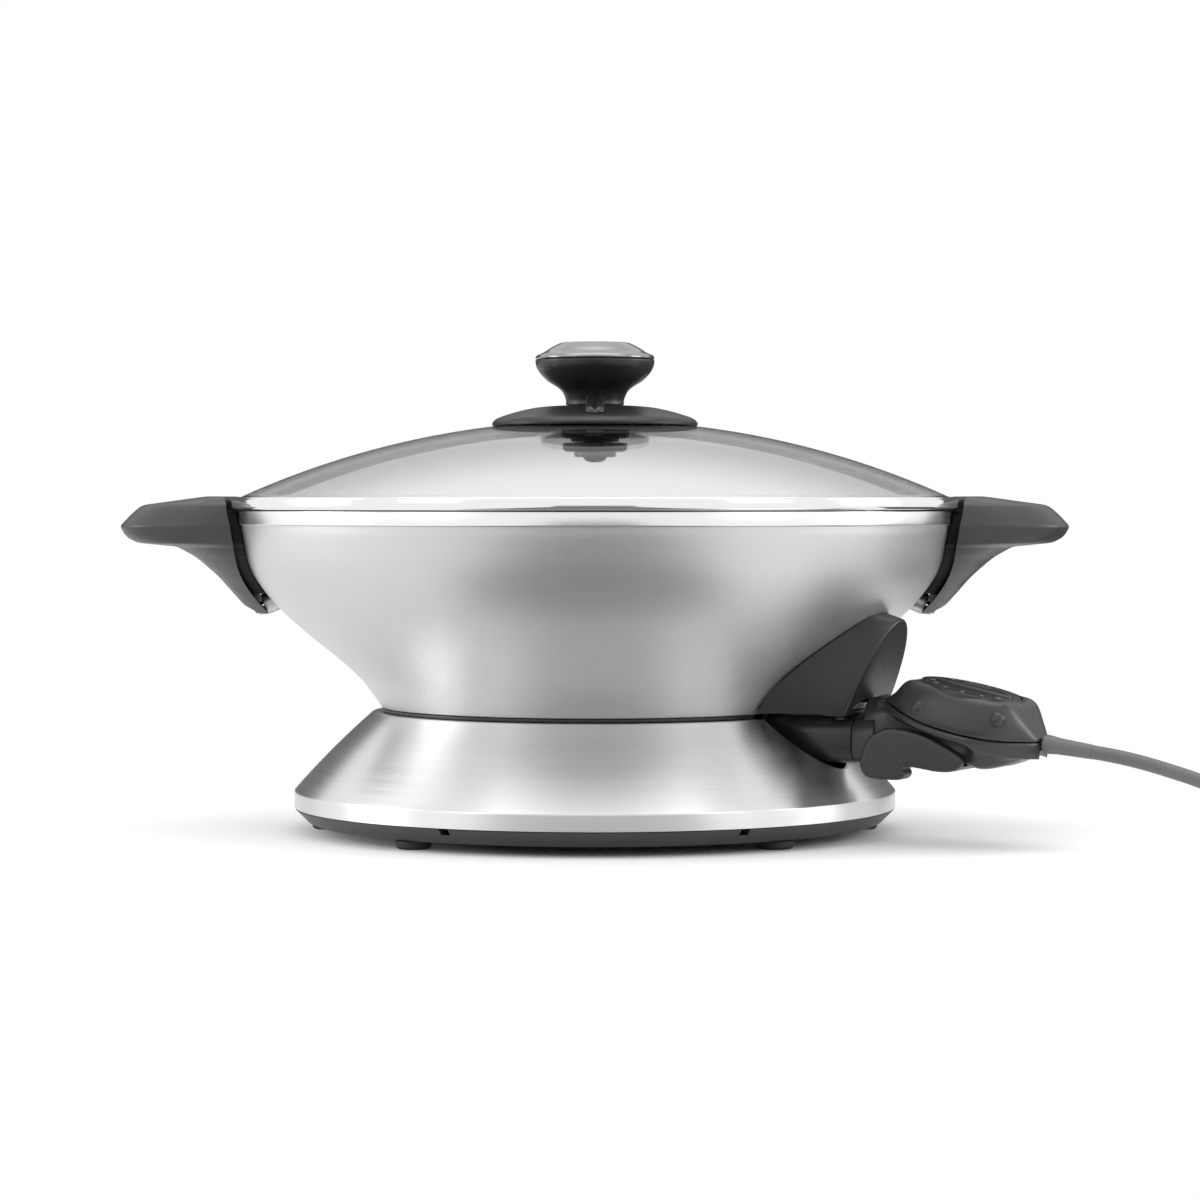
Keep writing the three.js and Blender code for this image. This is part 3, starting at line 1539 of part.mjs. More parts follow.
function topShellRings(inset) {
  return topSlices.map(({ placeShare, widthShare, dropShare }) => {
    const x = housingStartX + placeShare * housingLength;
    const lowZ = inset > 0 ? seamZ(placeShare) - overrun : seamZ(placeShare) + fitGap / 2;
    const fullTopZ = topLineZ(placeShare);
    const topZ = fullTopZ - dropShare * (fullTopZ - seamZ(placeShare)) - inset;
    const halfWidth = widthShare * housingHalfWidth - inset;
    const half = topSectionShares.map(([y, z]) => [y * halfWidth, lowZ + z * (topZ - lowZ)]);
    return mirroredRing(x, half);
  });
}

function bottomShellRings(inset) {
  return bottomSlices.map(({ placeShare, widthShare, keelShare, riseShare }) => {
    const x = housingStartX + placeShare * housingLength;
    const rimZ = seamZ(placeShare) - fitGap / 2;
    const lowZ = housingBottomZ + riseShare * (housingStartZ - housingBottomZ) + inset;
    const halfWidth = widthShare * housingHalfWidth - inset;
    const keelHalf = keelShare * keelHalfWidth - inset;
    const shoulderZ = rimZ - shellShoulder;
    const half = [
      [halfWidth, inset > 0 ? rimZ + overrun : rimZ],
      [halfWidth, rimZ - shellRim],
      [keelHalf, shoulderZ],
      [keelHalf, lowZ + keelSoftShare * (shoulderZ - lowZ)],
      [keelHalf * keelEdgeShare, lowZ],
    ];
    return mirroredRing(x, half).reverse();
  });
}

// The dial's own frame: its middle on the shell's top line, its axis leaning with the line.
const dialShare = (dialX - housingStartX) / housingLength;
function inDialFrame(geometry) {
  return geometry.rotateY(radians(dialTilt)).translate(dialX, 0, topLineZ(dialShare));
}

function makeTopShell() {
  const whole = solid(loft(topShellRings(0)));
  const inner = topShellRings(shellWall);
  const hollow = solid(loft(inner));
  const wellRadius = dialRadius + runGap;
  const wellDepth = dialHeight - dialRise + runGap;
  const cupRadius = wellRadius + dialBezelWidth;
  const cup = solid(inDialFrame(bar(cupRadius, -wellDepth - shellWall, dialEdge, knobSides)));
  const well = solid(inDialFrame(bar(wellRadius, -wellDepth, dialRise + overrun, knobSides)));
  const shaftHole = solid(inDialFrame(bar(dialShaftRadius + fitGap, -dialShaftLength, 0)));
  let shell = whole.subtract(hollow).add(cup);
  for (const x of shellScrewXs) {
    const share = (x - housingStartX) / housingLength;
    const boss = bar(shellBossRadius, seamZ(share) + fitGap, topLineZ(share) - shellWall / 2);
    shell = shell.add(solid(boss.translate(x, 0, 0)));
  }
  shell = shell.subtract(well).subtract(shaftHole);
  for (const [along, up] of bumpShares) {
    const halfWidth = housingHalfWidth * sliceShare(topSlices, "widthShare", along);
    const bump = new THREE.SphereGeometry(bumpRadius, smallSides, archSegments);
    bump.scale(1, bumpHeight / bumpRadius, 1);
    const bumpZ = THREE.MathUtils.lerp(seamZ(along), topLineZ(along), up);
    shell = shell.add(solid(bump.translate(housingStartX + along * housingLength, -halfWidth, bumpZ)));
  }
  for (const x of shellScrewXs) {
    const share = (x - housingStartX) / housingLength;
    const boreTopZ = seamZ(share) + shellScrewReach + fitGap;
    const bore = bar(shellScrewRadius + fitGap, seamZ(share) - overrun, boreTopZ);
    shell = shell.subtract(solid(bore.translate(x, 0, 0)));
  }
  return shell;
}

// Height of the bottom shell's underside at a share of the housing's length.
function undersideZ(share) {
  return housingBottomZ + sliceShare(bottomSlices, "riseShare", share) * (housingStartZ - housingBottomZ);
}

function makeBottomShell() {
  const whole = solid(loft(bottomShellRings(0)));
  const inner = bottomShellRings(shellWall);
  inner[0] = inner[0].map((point) => point.setX(point.x - overrun));
  inner.at(-1).forEach((point) => point.setX(point.x - shellWall));
  let shell = whole.subtract(solid(loft(inner)));
  for (const x of shellScrewXs) {
    const share = (x - housingStartX) / housingLength;
    const lowZ = undersideZ(share);
    const boss = bar(shellBossRadius, lowZ + shellWall / 2, seamZ(share) - fitGap).translate(x, 0, 0);
    const bore = bar(shellScrewRadius + fitGap, lowZ - overrun, seamZ(share) + overrun).translate(x, 0, 0);
    const sinkTopZ = lowZ + shellScrewSink + shellScrewHeadThickness + fitGap;
    const sink = bar(shellScrewHeadRadius + fitGap, lowZ - overrun, sinkTopZ).translate(x, 0, 0);
    shell = shell.add(solid(boss)).subtract(solid(bore)).subtract(solid(sink));
  }
  const pivotReach = probeCollarHalfWidth + overrun;
  const pivotBore = bar(pivotRadius + fitGap, -pivotReach, pivotReach).rotateX(Math.PI / 2);
  return shell.subtract(solid(pivotBore.translate(pivotX, 0, pivotZ)));
}

function makeShellScrew(x) {
  const share = (x - housingStartX) / housingLength;
  const lowZ = undersideZ(share) + shellScrewSink;
  const topZ = seamZ(share) + shellScrewReach;
  const made = upwardScrew(shellScrewHeadRadius, shellScrewHeadThickness, shellScrewRadius, lowZ, topZ);
  return made.translate(x, 0, 0);
}

function makeRod() {
  const tip = rodRadius / 2;
  return laid(
    turned(
      [
        [0, rodTipX],
        [rodRadius - tip, rodTipX],
        [rodRadius, rodTipX + tip],
        [rodRadius, rodEndX],
        [0, rodEndX],
      ],
      smallSides,
    ),
    0,
    rodZ,
  );
}

function makeDial() {
  const lowZ = dialRise - dialHeight;
  const disc = solid(
    inDialFrame(
      turned(
        [
          [0, lowZ + dialSocketDepth],
          [dialShaftRadius + fitGap, lowZ + dialSocketDepth],
          [dialShaftRadius + fitGap, lowZ],
          [dialRadius, lowZ],
          [dialRadius, dialRise - dialEdge],
          [dialRadius - dialEdge, dialRise],
          [0, dialRise],
        ],
        knobSides,
      ),
    ),
  );
  const grip = box(
    [-dialRadius + dialBezelWidth * 2, -dialGripHalfWidth, dialRise - dialEdge],
    [dialRadius - dialBezelWidth * 2, dialGripHalfWidth, dialRise + dialGripHeight],
  );
  return disc.add(solid(inDialFrame(grip)));
}

function makeDialShaft() {
  const topZ = dialRise - dialHeight + dialSocketDepth - fitGap;
  return inDialFrame(bar(dialShaftRadius, topZ - dialShaftLength, topZ));
}

function makeThermostat() {
  const topZ = dialRise - dialHeight + dialSocketDepth - 2 * fitGap - dialShaftLength;
  return inDialFrame(
    box(
      [-thermostatLength / 2, -thermostatHalfWidth, topZ - thermostatHeight],
      [thermostatLength / 2, thermostatHalfWidth, topZ],
    ),
  );
}

function makeLever() {
  const outside = probeCollarHalfWidth + cheekGap + cheekThickness;
  const inside = probeCollarHalfWidth + cheekGap;
  const plate = (shares, halfWidth) => {
    const outline = fromShares(shares, 0, leverReach, 0, leverDrop);
    const shape = new THREE.Shape(outline.map(([x, z]) => new THREE.Vector2(x, z)));
    const made = new THREE.ExtrudeGeometry(shape, { depth: 2 * halfWidth, bevelEnabled: false });
    return solid(made.rotateX(Math.PI / 2).translate(pivotX, halfWidth, pivotZ));
  };
  const bore = bar(pivotRadius + fitGap, -outside - overrun, outside + overrun).rotateX(Math.PI / 2);
  // Only the near cheek has a leg
  const farLeg = box(
    [pivotX - leverReach, leverLegWidth - outside, pivotZ - leverDrop - overrun],
    [pivotX + leverLegReach, outside + overrun, pivotZ - leverLegDrop],
  );
  return plate(leverOutlineShares, outside)
    .subtract(plate(leverHollowShares, inside))
    .subtract(solid(farLeg))
    .subtract(solid(bore.translate(pivotX, 0, pivotZ)));
}

function makeLeverPin() {
  const reach = probeCollarHalfWidth + cheekGap + cheekThickness - fitGap;
  return bar(pivotRadius, -reach, reach).rotateX(Math.PI / 2).translate(pivotX, 0, pivotZ);
}

// Mains lead, in the part's frame

const cordPoints = cordRoute.map((point) => vec(...point));
const tailPoints = tailRoute.map((point) => vec(...point));
const cordRadius = cordDiameter / 2;

// The centreline of the coil: in along the floor, up a layer while it turns back, and out.
function coilPoints() {
  const turns = coilTurnsIn + coilTurnsClimb + coilTurnsOut;
  const steps = Math.round(turns * coilStepsPerTurn);
  const innerRadius = coilOuterRadius - coilTurnsIn * coilPitch;
  const points = [];
  for (let i = 0; i <= steps; i++) {
    const turn = (turns * i) / steps;
    const climbed = THREE.MathUtils.clamp((turn - coilTurnsIn) / coilTurnsClimb, 0, 1);
    const after = turn - coilTurnsIn - coilTurnsClimb;
    let radius = coilOuterRadius - coilPitch * turn;
    if (climbed > 0) radius = innerRadius - coilPitch * coilTurnsClimb * climbed * (1 - climbed);
    if (after > 0) radius = innerRadius + coilPitch * after;
    const place = onCircle(radius, coilEntryAngle + 360 * turn, coilRestZ + coilRise * climbed);
    points.push(place.add(vec(coilCentreX, coilCentreY, 0)));
  }
  return points;
}

// The coil with a straight run of one diameter at both ends, along the spiral's tangent.
function coilRoute() {
  const points = coilPoints();
  const centre = vec(coilCentreX, coilCentreY, 0);
  const lead = (end, pitch, run) => {
    const outward = end.clone().sub(centre).setZ(0);
    const around = vec(0, 0, 1).cross(outward).multiplyScalar(2 * Math.PI);
    const tangent = around.addScaledVector(outward.normalize(), pitch).normalize();
    return end.clone().addScaledVector(tangent, run);
  };
  const first = lead(points[0], -coilPitch, -cordDiameter);
  return [first, ...points, lead(points.at(-1), coilPitch, cordDiameter)];
}

// One unbroken tube through every point of a route.
function woundTube(route, radius, sides) {
  const rings = route.map((point, i) => {
    const along = route[Math.min(i + 1, route.length - 1)].clone().sub(route[Math.max(i - 1, 0)]).normalize();
    const across = vec(0, 0, 1).cross(along).normalize();
    const up = along.clone().cross(across);
    return Array.from({ length: sides }, (_, side) => {
      const turn = (2 * Math.PI * (side + 1 / 2)) / sides;
      const offset = across.clone().multiplyScalar(radius * Math.cos(turn));
      return point.clone().add(offset).add(up.clone().multiplyScalar(radius * Math.sin(turn)));
    });
  });
  return loft(rings);
}

// The least gap between turns of a tube, measured on points along its route.
function leastGap(route, diameter) {
  let least = Infinity;
  for (let i = 0; i < route.length; i++) {
    let travelled = 0;
    for (let j = i + 1; j < route.length; j++) {
      travelled += route[j].distanceTo(route[j - 1]);
      if (travelled > 3 * diameter) least = Math.min(least, route[i].distanceTo(route[j]) - diameter);
    }
  }
  return least;
}

function makeRelief() {
  const along = cordPoints[1].clone().sub(cordPoints[0]).normalize();
  const tip = cordPoints[0].clone().addScaledVector(along, -fitGap);
  const made = turned(
    [
      [0, -reliefLength],
      [reliefRootRadius, -reliefLength],
      [reliefRootRadius, reliefLength * (reliefStraightShare - 1)],
      [reliefTipRadius, 0],
      [0, 0],
    ],
    smallSides,
  );
  made.applyQuaternion(new THREE.Quaternion().setFromUnitVectors(vec(0, 0, 1), along));
  return made.translate(tip.x, tip.y, tip.z);
}

// A tube through hand-chosen points.
function routedTube(points, steps) {
  return tubeAlong(new THREE.CatmullRomCurve3(points, false, "centripetal"), cordRadius, cordSides, steps);
}

function makeTie() {
  const climbDip = (coilPitch * coilTurnsClimb) / 4;
  const inner = coilOuterRadius - coilTurnsIn * coilPitch - climbDip - cordRadius - tieGap;
  const outer = coilOuterRadius + cordRadius + tieGap;
  const topZ = coilRestZ + coilRise + cordRadius + tieGap;
  const shell = box(
    [inner - tieThickness, -tieWidth / 2, 0],
    [outer + tieThickness, tieWidth / 2, topZ + tieThickness],
  );
  const hollow = box([inner, -tieWidth, tieThickness], [outer, tieWidth, topZ]);
  const place = (made) => made.rotateZ(radians(tieAngle)).translate(coilCentreX, coilCentreY, 0);
  return solid(place(shell)).subtract(solid(place(hollow)));
}

// The plug's frame: Z along the plug from the cord to its blades, Y up.
function inPlugFrame(geometry) {
  const along = tailPoints.at(-1).clone().sub(tailPoints.at(-2)).setZ(0).normalize();
  const start = tailPoints.at(-1).clone().addScaledVector(along, fitGap);
  const side = vec(0, 0, 1).cross(along);
  const frame = new THREE.Matrix4().makeBasis(side, vec(0, 0, 1), along).setPosition(start);
  return geometry.applyMatrix4(frame);
}

function plugSection(z, scale) {
  return Array.from({ length: plugSides }, (_, i) => {
    const turn = (2 * Math.PI * i) / plugSides;
    const x = plugHalfWidth * scale * rounded(Math.cos(turn), plugSquareness);
    return vec(x, plugHalfHeight * scale * rounded(Math.sin(turn), plugSquareness), z);
  });
}

function plugNeckSection(z, radius) {
  return Array.from({ length: plugSides }, (_, i) => {
    const turn = (2 * Math.PI * i) / plugSides;
    return vec(radius * Math.cos(turn), radius * Math.sin(turn), z);
  });
}

// The blades and the ground pin start inside sockets of the body.
const bladeStart = plugNeckLength + plugLength - bladeRoot;
function plugBlade(side, margin) {
  const x = side * bladeSpread;
  const halfThickness = bladeHalfThickness + margin;
  const halfWidth = bladeHalfWidth + margin;
  return box(
    [x - halfThickness, bladeRise - halfWidth, bladeStart - margin],
    [x + halfThickness, bladeRise + halfWidth, bladeStart + bladeRoot + bladeLength],
  );
}

function groundPin(margin) {
  const endZ = bladeStart + bladeRoot + groundLength;
  return bar(groundRadius + margin, bladeStart - margin, endZ).translate(0, -groundDrop, 0);
}

function makePlugBody() {
  const rings = [
    plugNeckSection(0, plugNeckRadius * plugNeckTipShare),
    plugNeckSection(plugNeckLength * plugNeckStraightShare, plugNeckRadius),
    ...plugBodyShares.map(([along, wide]) => plugSection(plugNeckLength + plugLength * along, wide)),
  ];
  let body = solid(loft(rings));
  for (const side of [-1, 1]) body = body.subtract(solid(plugBlade(side, fitGap)));
  body = body.subtract(solid(groundPin(fitGap)));
  return geometryOf(body);
}

// The assembly

function buildStand() {
  piece(object, "base_skirt", makeSkirt(), brushedSteel);
  piece(object, "base_tray", makeTray(), charcoalPlastic);
  piece(object, "cradle_ring", makeCradle(), blackPlastic);
  footAngles.forEach((angle, i) => {
    const foot = piece(object, `foot_${i + 1}`, makeFoot(), softRubber);
    foot.position.copy(onCircle(footCircleRadius, angle, 0));
  });
  screwAngles.forEach((angle, i) => {
    const headZ = footHeight;
    const topZ = cradleHubBottomZ + cradleEarThickness - 2 * fitGap;
    const made = upwardScrew(screwHeadRadius, screwHeadThickness, screwRadius, headZ, topZ);
    const screw = piece(object, `tray_screw_${i + 1}`, made, polishedSteel);
    screw.position.copy(onCircle(screwCircleRadius, angle, 0));
  });
  piece(object, "lock_collet", makeLockCollet(), blackPlastic);
  piece(object, "lock_knob", makeLockKnob(), charcoalPlastic);
}

function buildBowl() {
  piece(object, "wok_bowl", addHandleBosses(dressBowl(makeBowl())), satinAluminium);
  piece(object, "bowl_stud", makeBowlStud(), polishedSteel);
  piece(probeFrame, "heating_element", makeElement(), sheathMetal);
  for (const [side, name] of [[-1, "right"], [1, "left"]]) {
    const pin = laid(bar(pinRadius, elementEndX + fitGap, pinEndX), side * pinSpread, pinZ);
    piece(probeFrame, `terminal_pin_${name}`, pin, polishedSteel);
    piece(probeFrame, `hood_screw_${name}`, makeHoodScrew(side), polishedSteel);
  }
  piece(probeFrame, "socket_guard", makeGuard(), charcoalPlastic);
  piece(probeFrame, "probe_hood", makeHood(), charcoalPlastic);
  for (const [frame, name] of [[object, "right"], [leftFrame, "left"]]) {
    piece(frame, `handle_${name}`, makeHandle(), charcoalPlastic);
    piece(frame, `handle_pad_${name}`, makeHandlePad(), blackPlastic);
    piece(frame, `handle_screw_${name}`, makeHandleScrew(), polishedSteel);
  }
}

function buildLid() {
  piece(object, "lid_glass", makeGlass(), clearGlass);
  piece(object, "lid_rim", makeLidRim(), polishedSteel);
  piece(object, "vent_collar", makeVentCollar(), blackPlastic);
  piece(object, "vent_seal", makeVentSeal(), softRubber);
  piece(object, "vent_nut", makeVentNut(), blackPlastic);
  piece(object, "vent_knob", makeKnob(), blackPlastic);
  piece(object, "knob_cap", makeKnobCap(), brushedSteel);
  piece(object, "vent_shutter", makeShutter(), charcoalPlastic);
  piece(object, "knob_screw", makeKnobScrew(), polishedSteel);
}

function buildProbe() {
  piece(probeFrame, "probe_collar", makeProbeCollar(), probePlastic);
  piece(probeFrame, "receptacle_right", makeReceptacle(-1), brassMetal);
  piece(probeFrame, "receptacle_left", makeReceptacle(1), brassMetal);
  piece(probeFrame, "sensor_rod", makeRod(), sheathMetal);
  piece(probeFrame, "probe_upper_shell", makeTopShell(), probePlastic);
  piece(probeFrame, "probe_lower_shell", makeBottomShell(), probePlastic);
  shellScrewXs.forEach((x, i) => {
    piece(probeFrame, `shell_screw_${i + 1}`, makeShellScrew(x), polishedSteel);
  });
  piece(probeFrame, "thermostat_block", makeThermostat(), softRubber);
  piece(probeFrame, "temperature_dial", makeDial(), blackPlastic);
  piece(probeFrame, "dial_shaft", makeDialShaft(), brassMetal);
  piece(probeFrame, "eject_lever", makeLever(), probePlastic);
  piece(probeFrame, "lever_pin", makeLeverPin(), polishedSteel);
}

function buildLead() {
  piece(object, "strain_relief", makeRelief(), cordRubber);
  piece(object, "mains_cord", routedTube(cordPoints, cordSteps), cordRubber);
  piece(object, "cord_coil", woundTube(coilRoute(), cordRadius, coilSides), cordRubber);
  piece(object, "cord_tail", routedTube(tailPoints, tailSteps), cordRubber);
  piece(object, "cord_tie", makeTie(), blackPlastic);
  piece(object, "plug_body", inPlugFrame(makePlugBody()), cordRubber);
  piece(object, "plug_blade_left", inPlugFrame(plugBlade(-1, 0)), brassMetal);
  piece(object, "plug_blade_right", inPlugFrame(plugBlade(1, 0)), brassMetal);
  piece(object, "plug_ground_pin", inPlugFrame(groundPin(0)), brassMetal);
  console.log(`least gap between the coil's turns: ${leastGap(coilRoute(), cordDiameter).toFixed(2)} mm`);
}

buildStand();
buildBowl();
buildLid();
buildProbe();
buildLead();

export default object;
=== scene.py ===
"""Electric wok with a glass lid, a steel stand and a plug-in temperature probe.

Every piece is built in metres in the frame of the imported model. Outlines are written in
millimetres, as in the part's source.
"""

import math

import bmesh
import bpy
from bpy.props import FloatProperty, FloatVectorProperty, PointerProperty
from mathutils import Matrix, Vector


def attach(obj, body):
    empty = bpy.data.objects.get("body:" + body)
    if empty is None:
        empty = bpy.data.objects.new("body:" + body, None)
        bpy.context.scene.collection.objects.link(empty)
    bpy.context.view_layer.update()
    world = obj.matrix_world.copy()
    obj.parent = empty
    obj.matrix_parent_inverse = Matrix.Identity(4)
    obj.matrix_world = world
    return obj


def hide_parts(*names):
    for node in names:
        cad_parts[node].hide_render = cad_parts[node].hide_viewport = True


bl_info = {
    "name": "Electric wok",
    "version": (1, 0, 0),
    "blender": (4, 5, 0),
    "location": "3D View > Sidebar > Wok",
    "description": "Builds an electric wok on its packed frame, piece by piece",
    "category": "Object",
}

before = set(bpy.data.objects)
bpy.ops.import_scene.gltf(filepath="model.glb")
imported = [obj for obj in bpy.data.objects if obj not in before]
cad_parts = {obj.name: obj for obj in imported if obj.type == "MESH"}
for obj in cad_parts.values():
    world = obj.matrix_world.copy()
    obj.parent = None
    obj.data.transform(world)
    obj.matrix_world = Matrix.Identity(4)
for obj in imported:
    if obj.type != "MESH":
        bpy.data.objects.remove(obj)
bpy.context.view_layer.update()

MM = 0.001
TAU = 2 * math.pi
FIT_GAP = 0.3
ROUND_SIDES = 144
SMALL_SIDES = 40
KEPT_EDGE = 0.3

# The probe's own frame: X along its axis, away from the wok
PROBE_ANGLE = math.radians(-28)
PROBE = Matrix.Rotation(PROBE_ANGLE, 4, "Z")
SOCKET_Z = 49.6
PIN_SPREAD = 7
PIN_Z = SOCKET_Z - 3
PIN_BORE = 3.1
ROD_Z = SOCKET_Z + 4.5
ROD_BORE = 2.7


# Settings

class WokSizes(bpy.types.PropertyGroup):
    """Sizes of the wok's pieces."""
    lip_radius: FloatProperty(
        name="Lip radius", description="Outer radius of the bowl's lip", default=0.18, unit="LENGTH")
    bowl_foot_radius: FloatProperty(
        name="Foot radius", description="Outer radius of the bowl's foot", default=0.1066, unit="LENGTH")
    bowl_wall: FloatProperty(
        name="Bowl wall", description="Thickness of the bowl's wall", default=0.0036, unit="LENGTH")
    stand_radius: FloatProperty(
        name="Stand radius", description="Radius of the stand's lower band", default=0.15, unit="LENGTH")
    stand_top_radius: FloatProperty(
        name="Stand top radius", description="Radius of the stand's top edge", default=0.111, unit="LENGTH")
    skirt_thickness: FloatProperty(
        name="Skirt thickness", description="Thickness of the steel skirt", default=0.0012, unit="LENGTH")
    glass_dome_radius: FloatProperty(
        name="Dome radius", description="Radius of the sphere that the lid's glass follows", default=0.425,
        unit="LENGTH")
    glass_thickness: FloatProperty(
        name="Glass thickness", description="Thickness of the lid's glass", default=0.004, unit="LENGTH")
    rim_radius: FloatProperty(
        name="Lid rim radius", description="Outer radius of the lid's steel rim", default=0.1844, unit="LENGTH")
    knob_radius: FloatProperty(
        name="Knob radius", description="Largest radius of the knob", default=0.0298, unit="LENGTH")
    dial_radius: FloatProperty(
        name="Dial radius", description="Radius of the temperature dial", default=0.0232, unit="LENGTH")
    number_height: FloatProperty(
        name="Number height", description="Height of the dial's numbers", default=0.0034, unit="LENGTH")
    cord_diameter: FloatProperty(
        name="Cord diameter", description="Diameter of the mains lead", default=0.0066, unit="LENGTH")
    cord_length: FloatProperty(
        name="Cord length", description="Length of the mains lead", default=1.072, unit="LENGTH")


def colour(name, description, red, green, blue):
    """A colour setting with its default."""
    return FloatVectorProperty(
        name=name, description=description, subtype="COLOR", size=4, min=0, max=1,
        default=(red, green, blue, 1))


class WokFinishes(bpy.types.PropertyGroup):
    """Colours of the wok's finishes."""
    brushed_steel: colour("Brushed steel", "Skirt of the stand", 0.77, 0.772, 0.768)
    # The knob's cap is the skirt's brushed steel made darker: painted shade
    cap_steel: colour("Cap steel", "Cap of the knob", 0.32, 0.322, 0.32)
    # Polished steel screws and pins made nearly black: painted shade where they sit under the hood, under the lid and
    # in the probe; the steel itself is polished
    dark_steel: colour("Dark steel", "Blackened screws and pins of the socket and the probe", 0.06, 0.06, 0.062)
    polished_steel: colour("Polished steel", "Lid rim and screws", 0.86, 0.865, 0.86)
    casting: colour("Casting", "Satin outside of the bowl", 0.63, 0.632, 0.628)
    coating: colour("Coating", "Non-stick inside of the bowl", 0.045, 0.046, 0.047)
    glass: colour("Glass", "Lid glass", 0.95, 0.96, 0.955)
    charcoal: colour("Charcoal plastic", "Handles, tray and lock knob", 0.036, 0.0365, 0.037)
    # Hood plastic is the handles' charcoal plastic made darker: painted shade on the socket and its hood
    hood: colour("Hood plastic", "Socket and its hood", 0.017, 0.0172, 0.0175)
    # On the vent's shutter this black is painted shade over its charcoal plastic
    black: colour("Black plastic", "Knob, dial, cradle ring and the vent's nut and shutter", 0.012, 0.0122, 0.0125)
    probe: colour("Probe plastic", "Probe housing and lever", 0.03, 0.0303, 0.0306)
    # Nearly black, darker than the black plastic: painted shade in the gaps between the handles and the bowl, and on
    # the vent collar
    pad: colour("Pad plastic", "Pads under the handles, and the vent collar", 0.004, 0.004, 0.0042)
    lip: colour("Turned lip", "Edge of the bowl's lip", 0.86, 0.862, 0.858)
    rubber: colour("Rubber", "Feet and seal", 0.02, 0.02, 0.021)
    cord: colour("Cord", "Mains lead and plug", 0.12, 0.12, 0.122)
    brass: colour("Brass", "Plug blades and contacts", 0.72, 0.52, 0.24)
    sheath: colour("Sheath", "Heating tube and sensor rod", 0.3, 0.29, 0.28)
    number: colour("Numbers", "Numbers on the dial", 0.32, 0.322, 0.32)


class WokStage(bpy.types.PropertyGroup):
    """The floor, the lamps and the camera."""
    floor: colour("Floor", "Colour of the floor", 0.96, 0.955, 0.965)
    background: colour("Background", "Colour behind the wok", 1, 1, 1)
    world_level: FloatProperty(
        name="World level", description="How strongly the surroundings light the wok", default=0.85, min=0)
    top_power: FloatProperty(
        name="Top lamp", description="Power of the soft lamp overhead", default=14, min=0, unit="POWER")
    front_power: FloatProperty(
        name="Front lamps", description="Power of the soft lamps in front, left and right", default=3, min=0,
        unit="POWER")
    side_power: FloatProperty(
        name="Side lamps", description="Power of the lamps straight to the sides", default=8.5, min=0, unit="POWER")
    front_card: FloatProperty(
        name="Front card", description="Level of the card that the bowl reflects from below", default=0.22, min=0)
    back_card: FloatProperty(
        name="Back card", description="Level of the card behind that glass and plastic reflect", default=0.12, min=0)
    camera_distance: FloatProperty(
        name="Camera distance", description="Distance of the camera from the middle of the wok", default=1.75,
        unit="LENGTH")
    camera_height: FloatProperty(
        name="Camera height", description="Height of the camera over the floor", default=0.1645, unit="LENGTH")


# Outlines

def rounded(value, squareness):
    """One quarter-turn value of a rounded rectangle: 2 is a circle, more is squarer."""
    return math.copysign(abs(value) ** (2 / squareness), value)


def soften(points, fillet=0, steps=4, closed=False):
    """An outline with rounded corners. A third value of a plane point is its own rounding."""
    outline = [Vector(point[:2]) if isinstance(point, tuple) else point for point in points]
    sizes = [point[2] if isinstance(point, tuple) and len(point) > 2 else fillet for point in points]
    result = []
    for i, (here, size) in enumerate(zip(outline, sizes)):
        at_end = not closed and i in (0, len(outline) - 1)
        back = outline[i - 1] - here
        on = outline[(i + 1) % len(outline)] - here
        if at_end or not size or min(back.length, on.length) < 1e-6:
            result.append(here)
            continue
        turn = math.pi - back.angle(on)
        if turn < 0.05:
            result.append(here)
            continue
        reach = min(size * math.tan(turn / 2), 0.45 * back.length, 0.45 * on.length)
        start = here + back.normalized() * reach
        end = here + on.normalized() * reach
        for step in range(steps + 1):
            t = step / steps
            result.append(start * (1 - t) ** 2 + here * 2 * t * (1 - t) + end * t * t)
    return result


def spline(points, steps):
    """A smooth line through every point."""
    points = [Vector(point) for point in points]
    ends = [points[0] * 2 - points[1], *points, points[-1] * 2 - points[-2]]
    result = []
    for a, b, c, d in zip(ends, ends[1:], ends[2:], ends[3:]):
        tb = max((b - a).length, 1e-6) ** 0.5
        tc = tb + max((c - b).length, 1e-6) ** 0.5
        td = tc + max((d - c).length, 1e-6) ** 0.5
        for step in range(steps):
            t = tb + (tc - tb) * step / steps
            ab = (a * (tb - t) + b * t) / tb
            bc = (b * (tc - t) + c * (t - tb)) / (tc - tb)
            cd = (c * (td - t) + d * (t - tc)) / (td - tc)
            abc = (ab * (tc - t) + bc * t) / tc
            bcd = (bc * (td - t) + cd * (t - tb)) / (td - tb)
            result.append((abc * (tc - t) + bcd * (t - tb)) / (tc - tb))
    result.append(points[-1])
    return result


def moved(points, distance):
    """An open outline moved sideways, to the right of its direction."""
    points = [Vector(point[:2]) for point in points]
    result = []
    for i, point in enumerate(points):
        along = points[min(i + 1, len(points) - 1)] - points[max(i - 1, 0)]
        along.normalize()
        result.append(point + Vector((along.y, -along.x)) * distance)
    return result


def from_shares(shares, start_r, span_r, start_z, span_z):
    """Points of an outline from shares of a width and a height."""
    return [(start_r + r * span_r, start_z + z * span_z) for r, z in shares]


def crossing(outline, z):
    """Radius of an outline at a height."""
    for low, high in zip(outline, outline[1:]):
        if low[1] - 1e-4 <= z <= high[1] + 1e-4:
            return low[0] + (high[0] - low[0]) * (z - low[1]) / (high[1] - low[1])
    raise ValueError(f"no radius at {z}")


# Forms: points in metres and faces

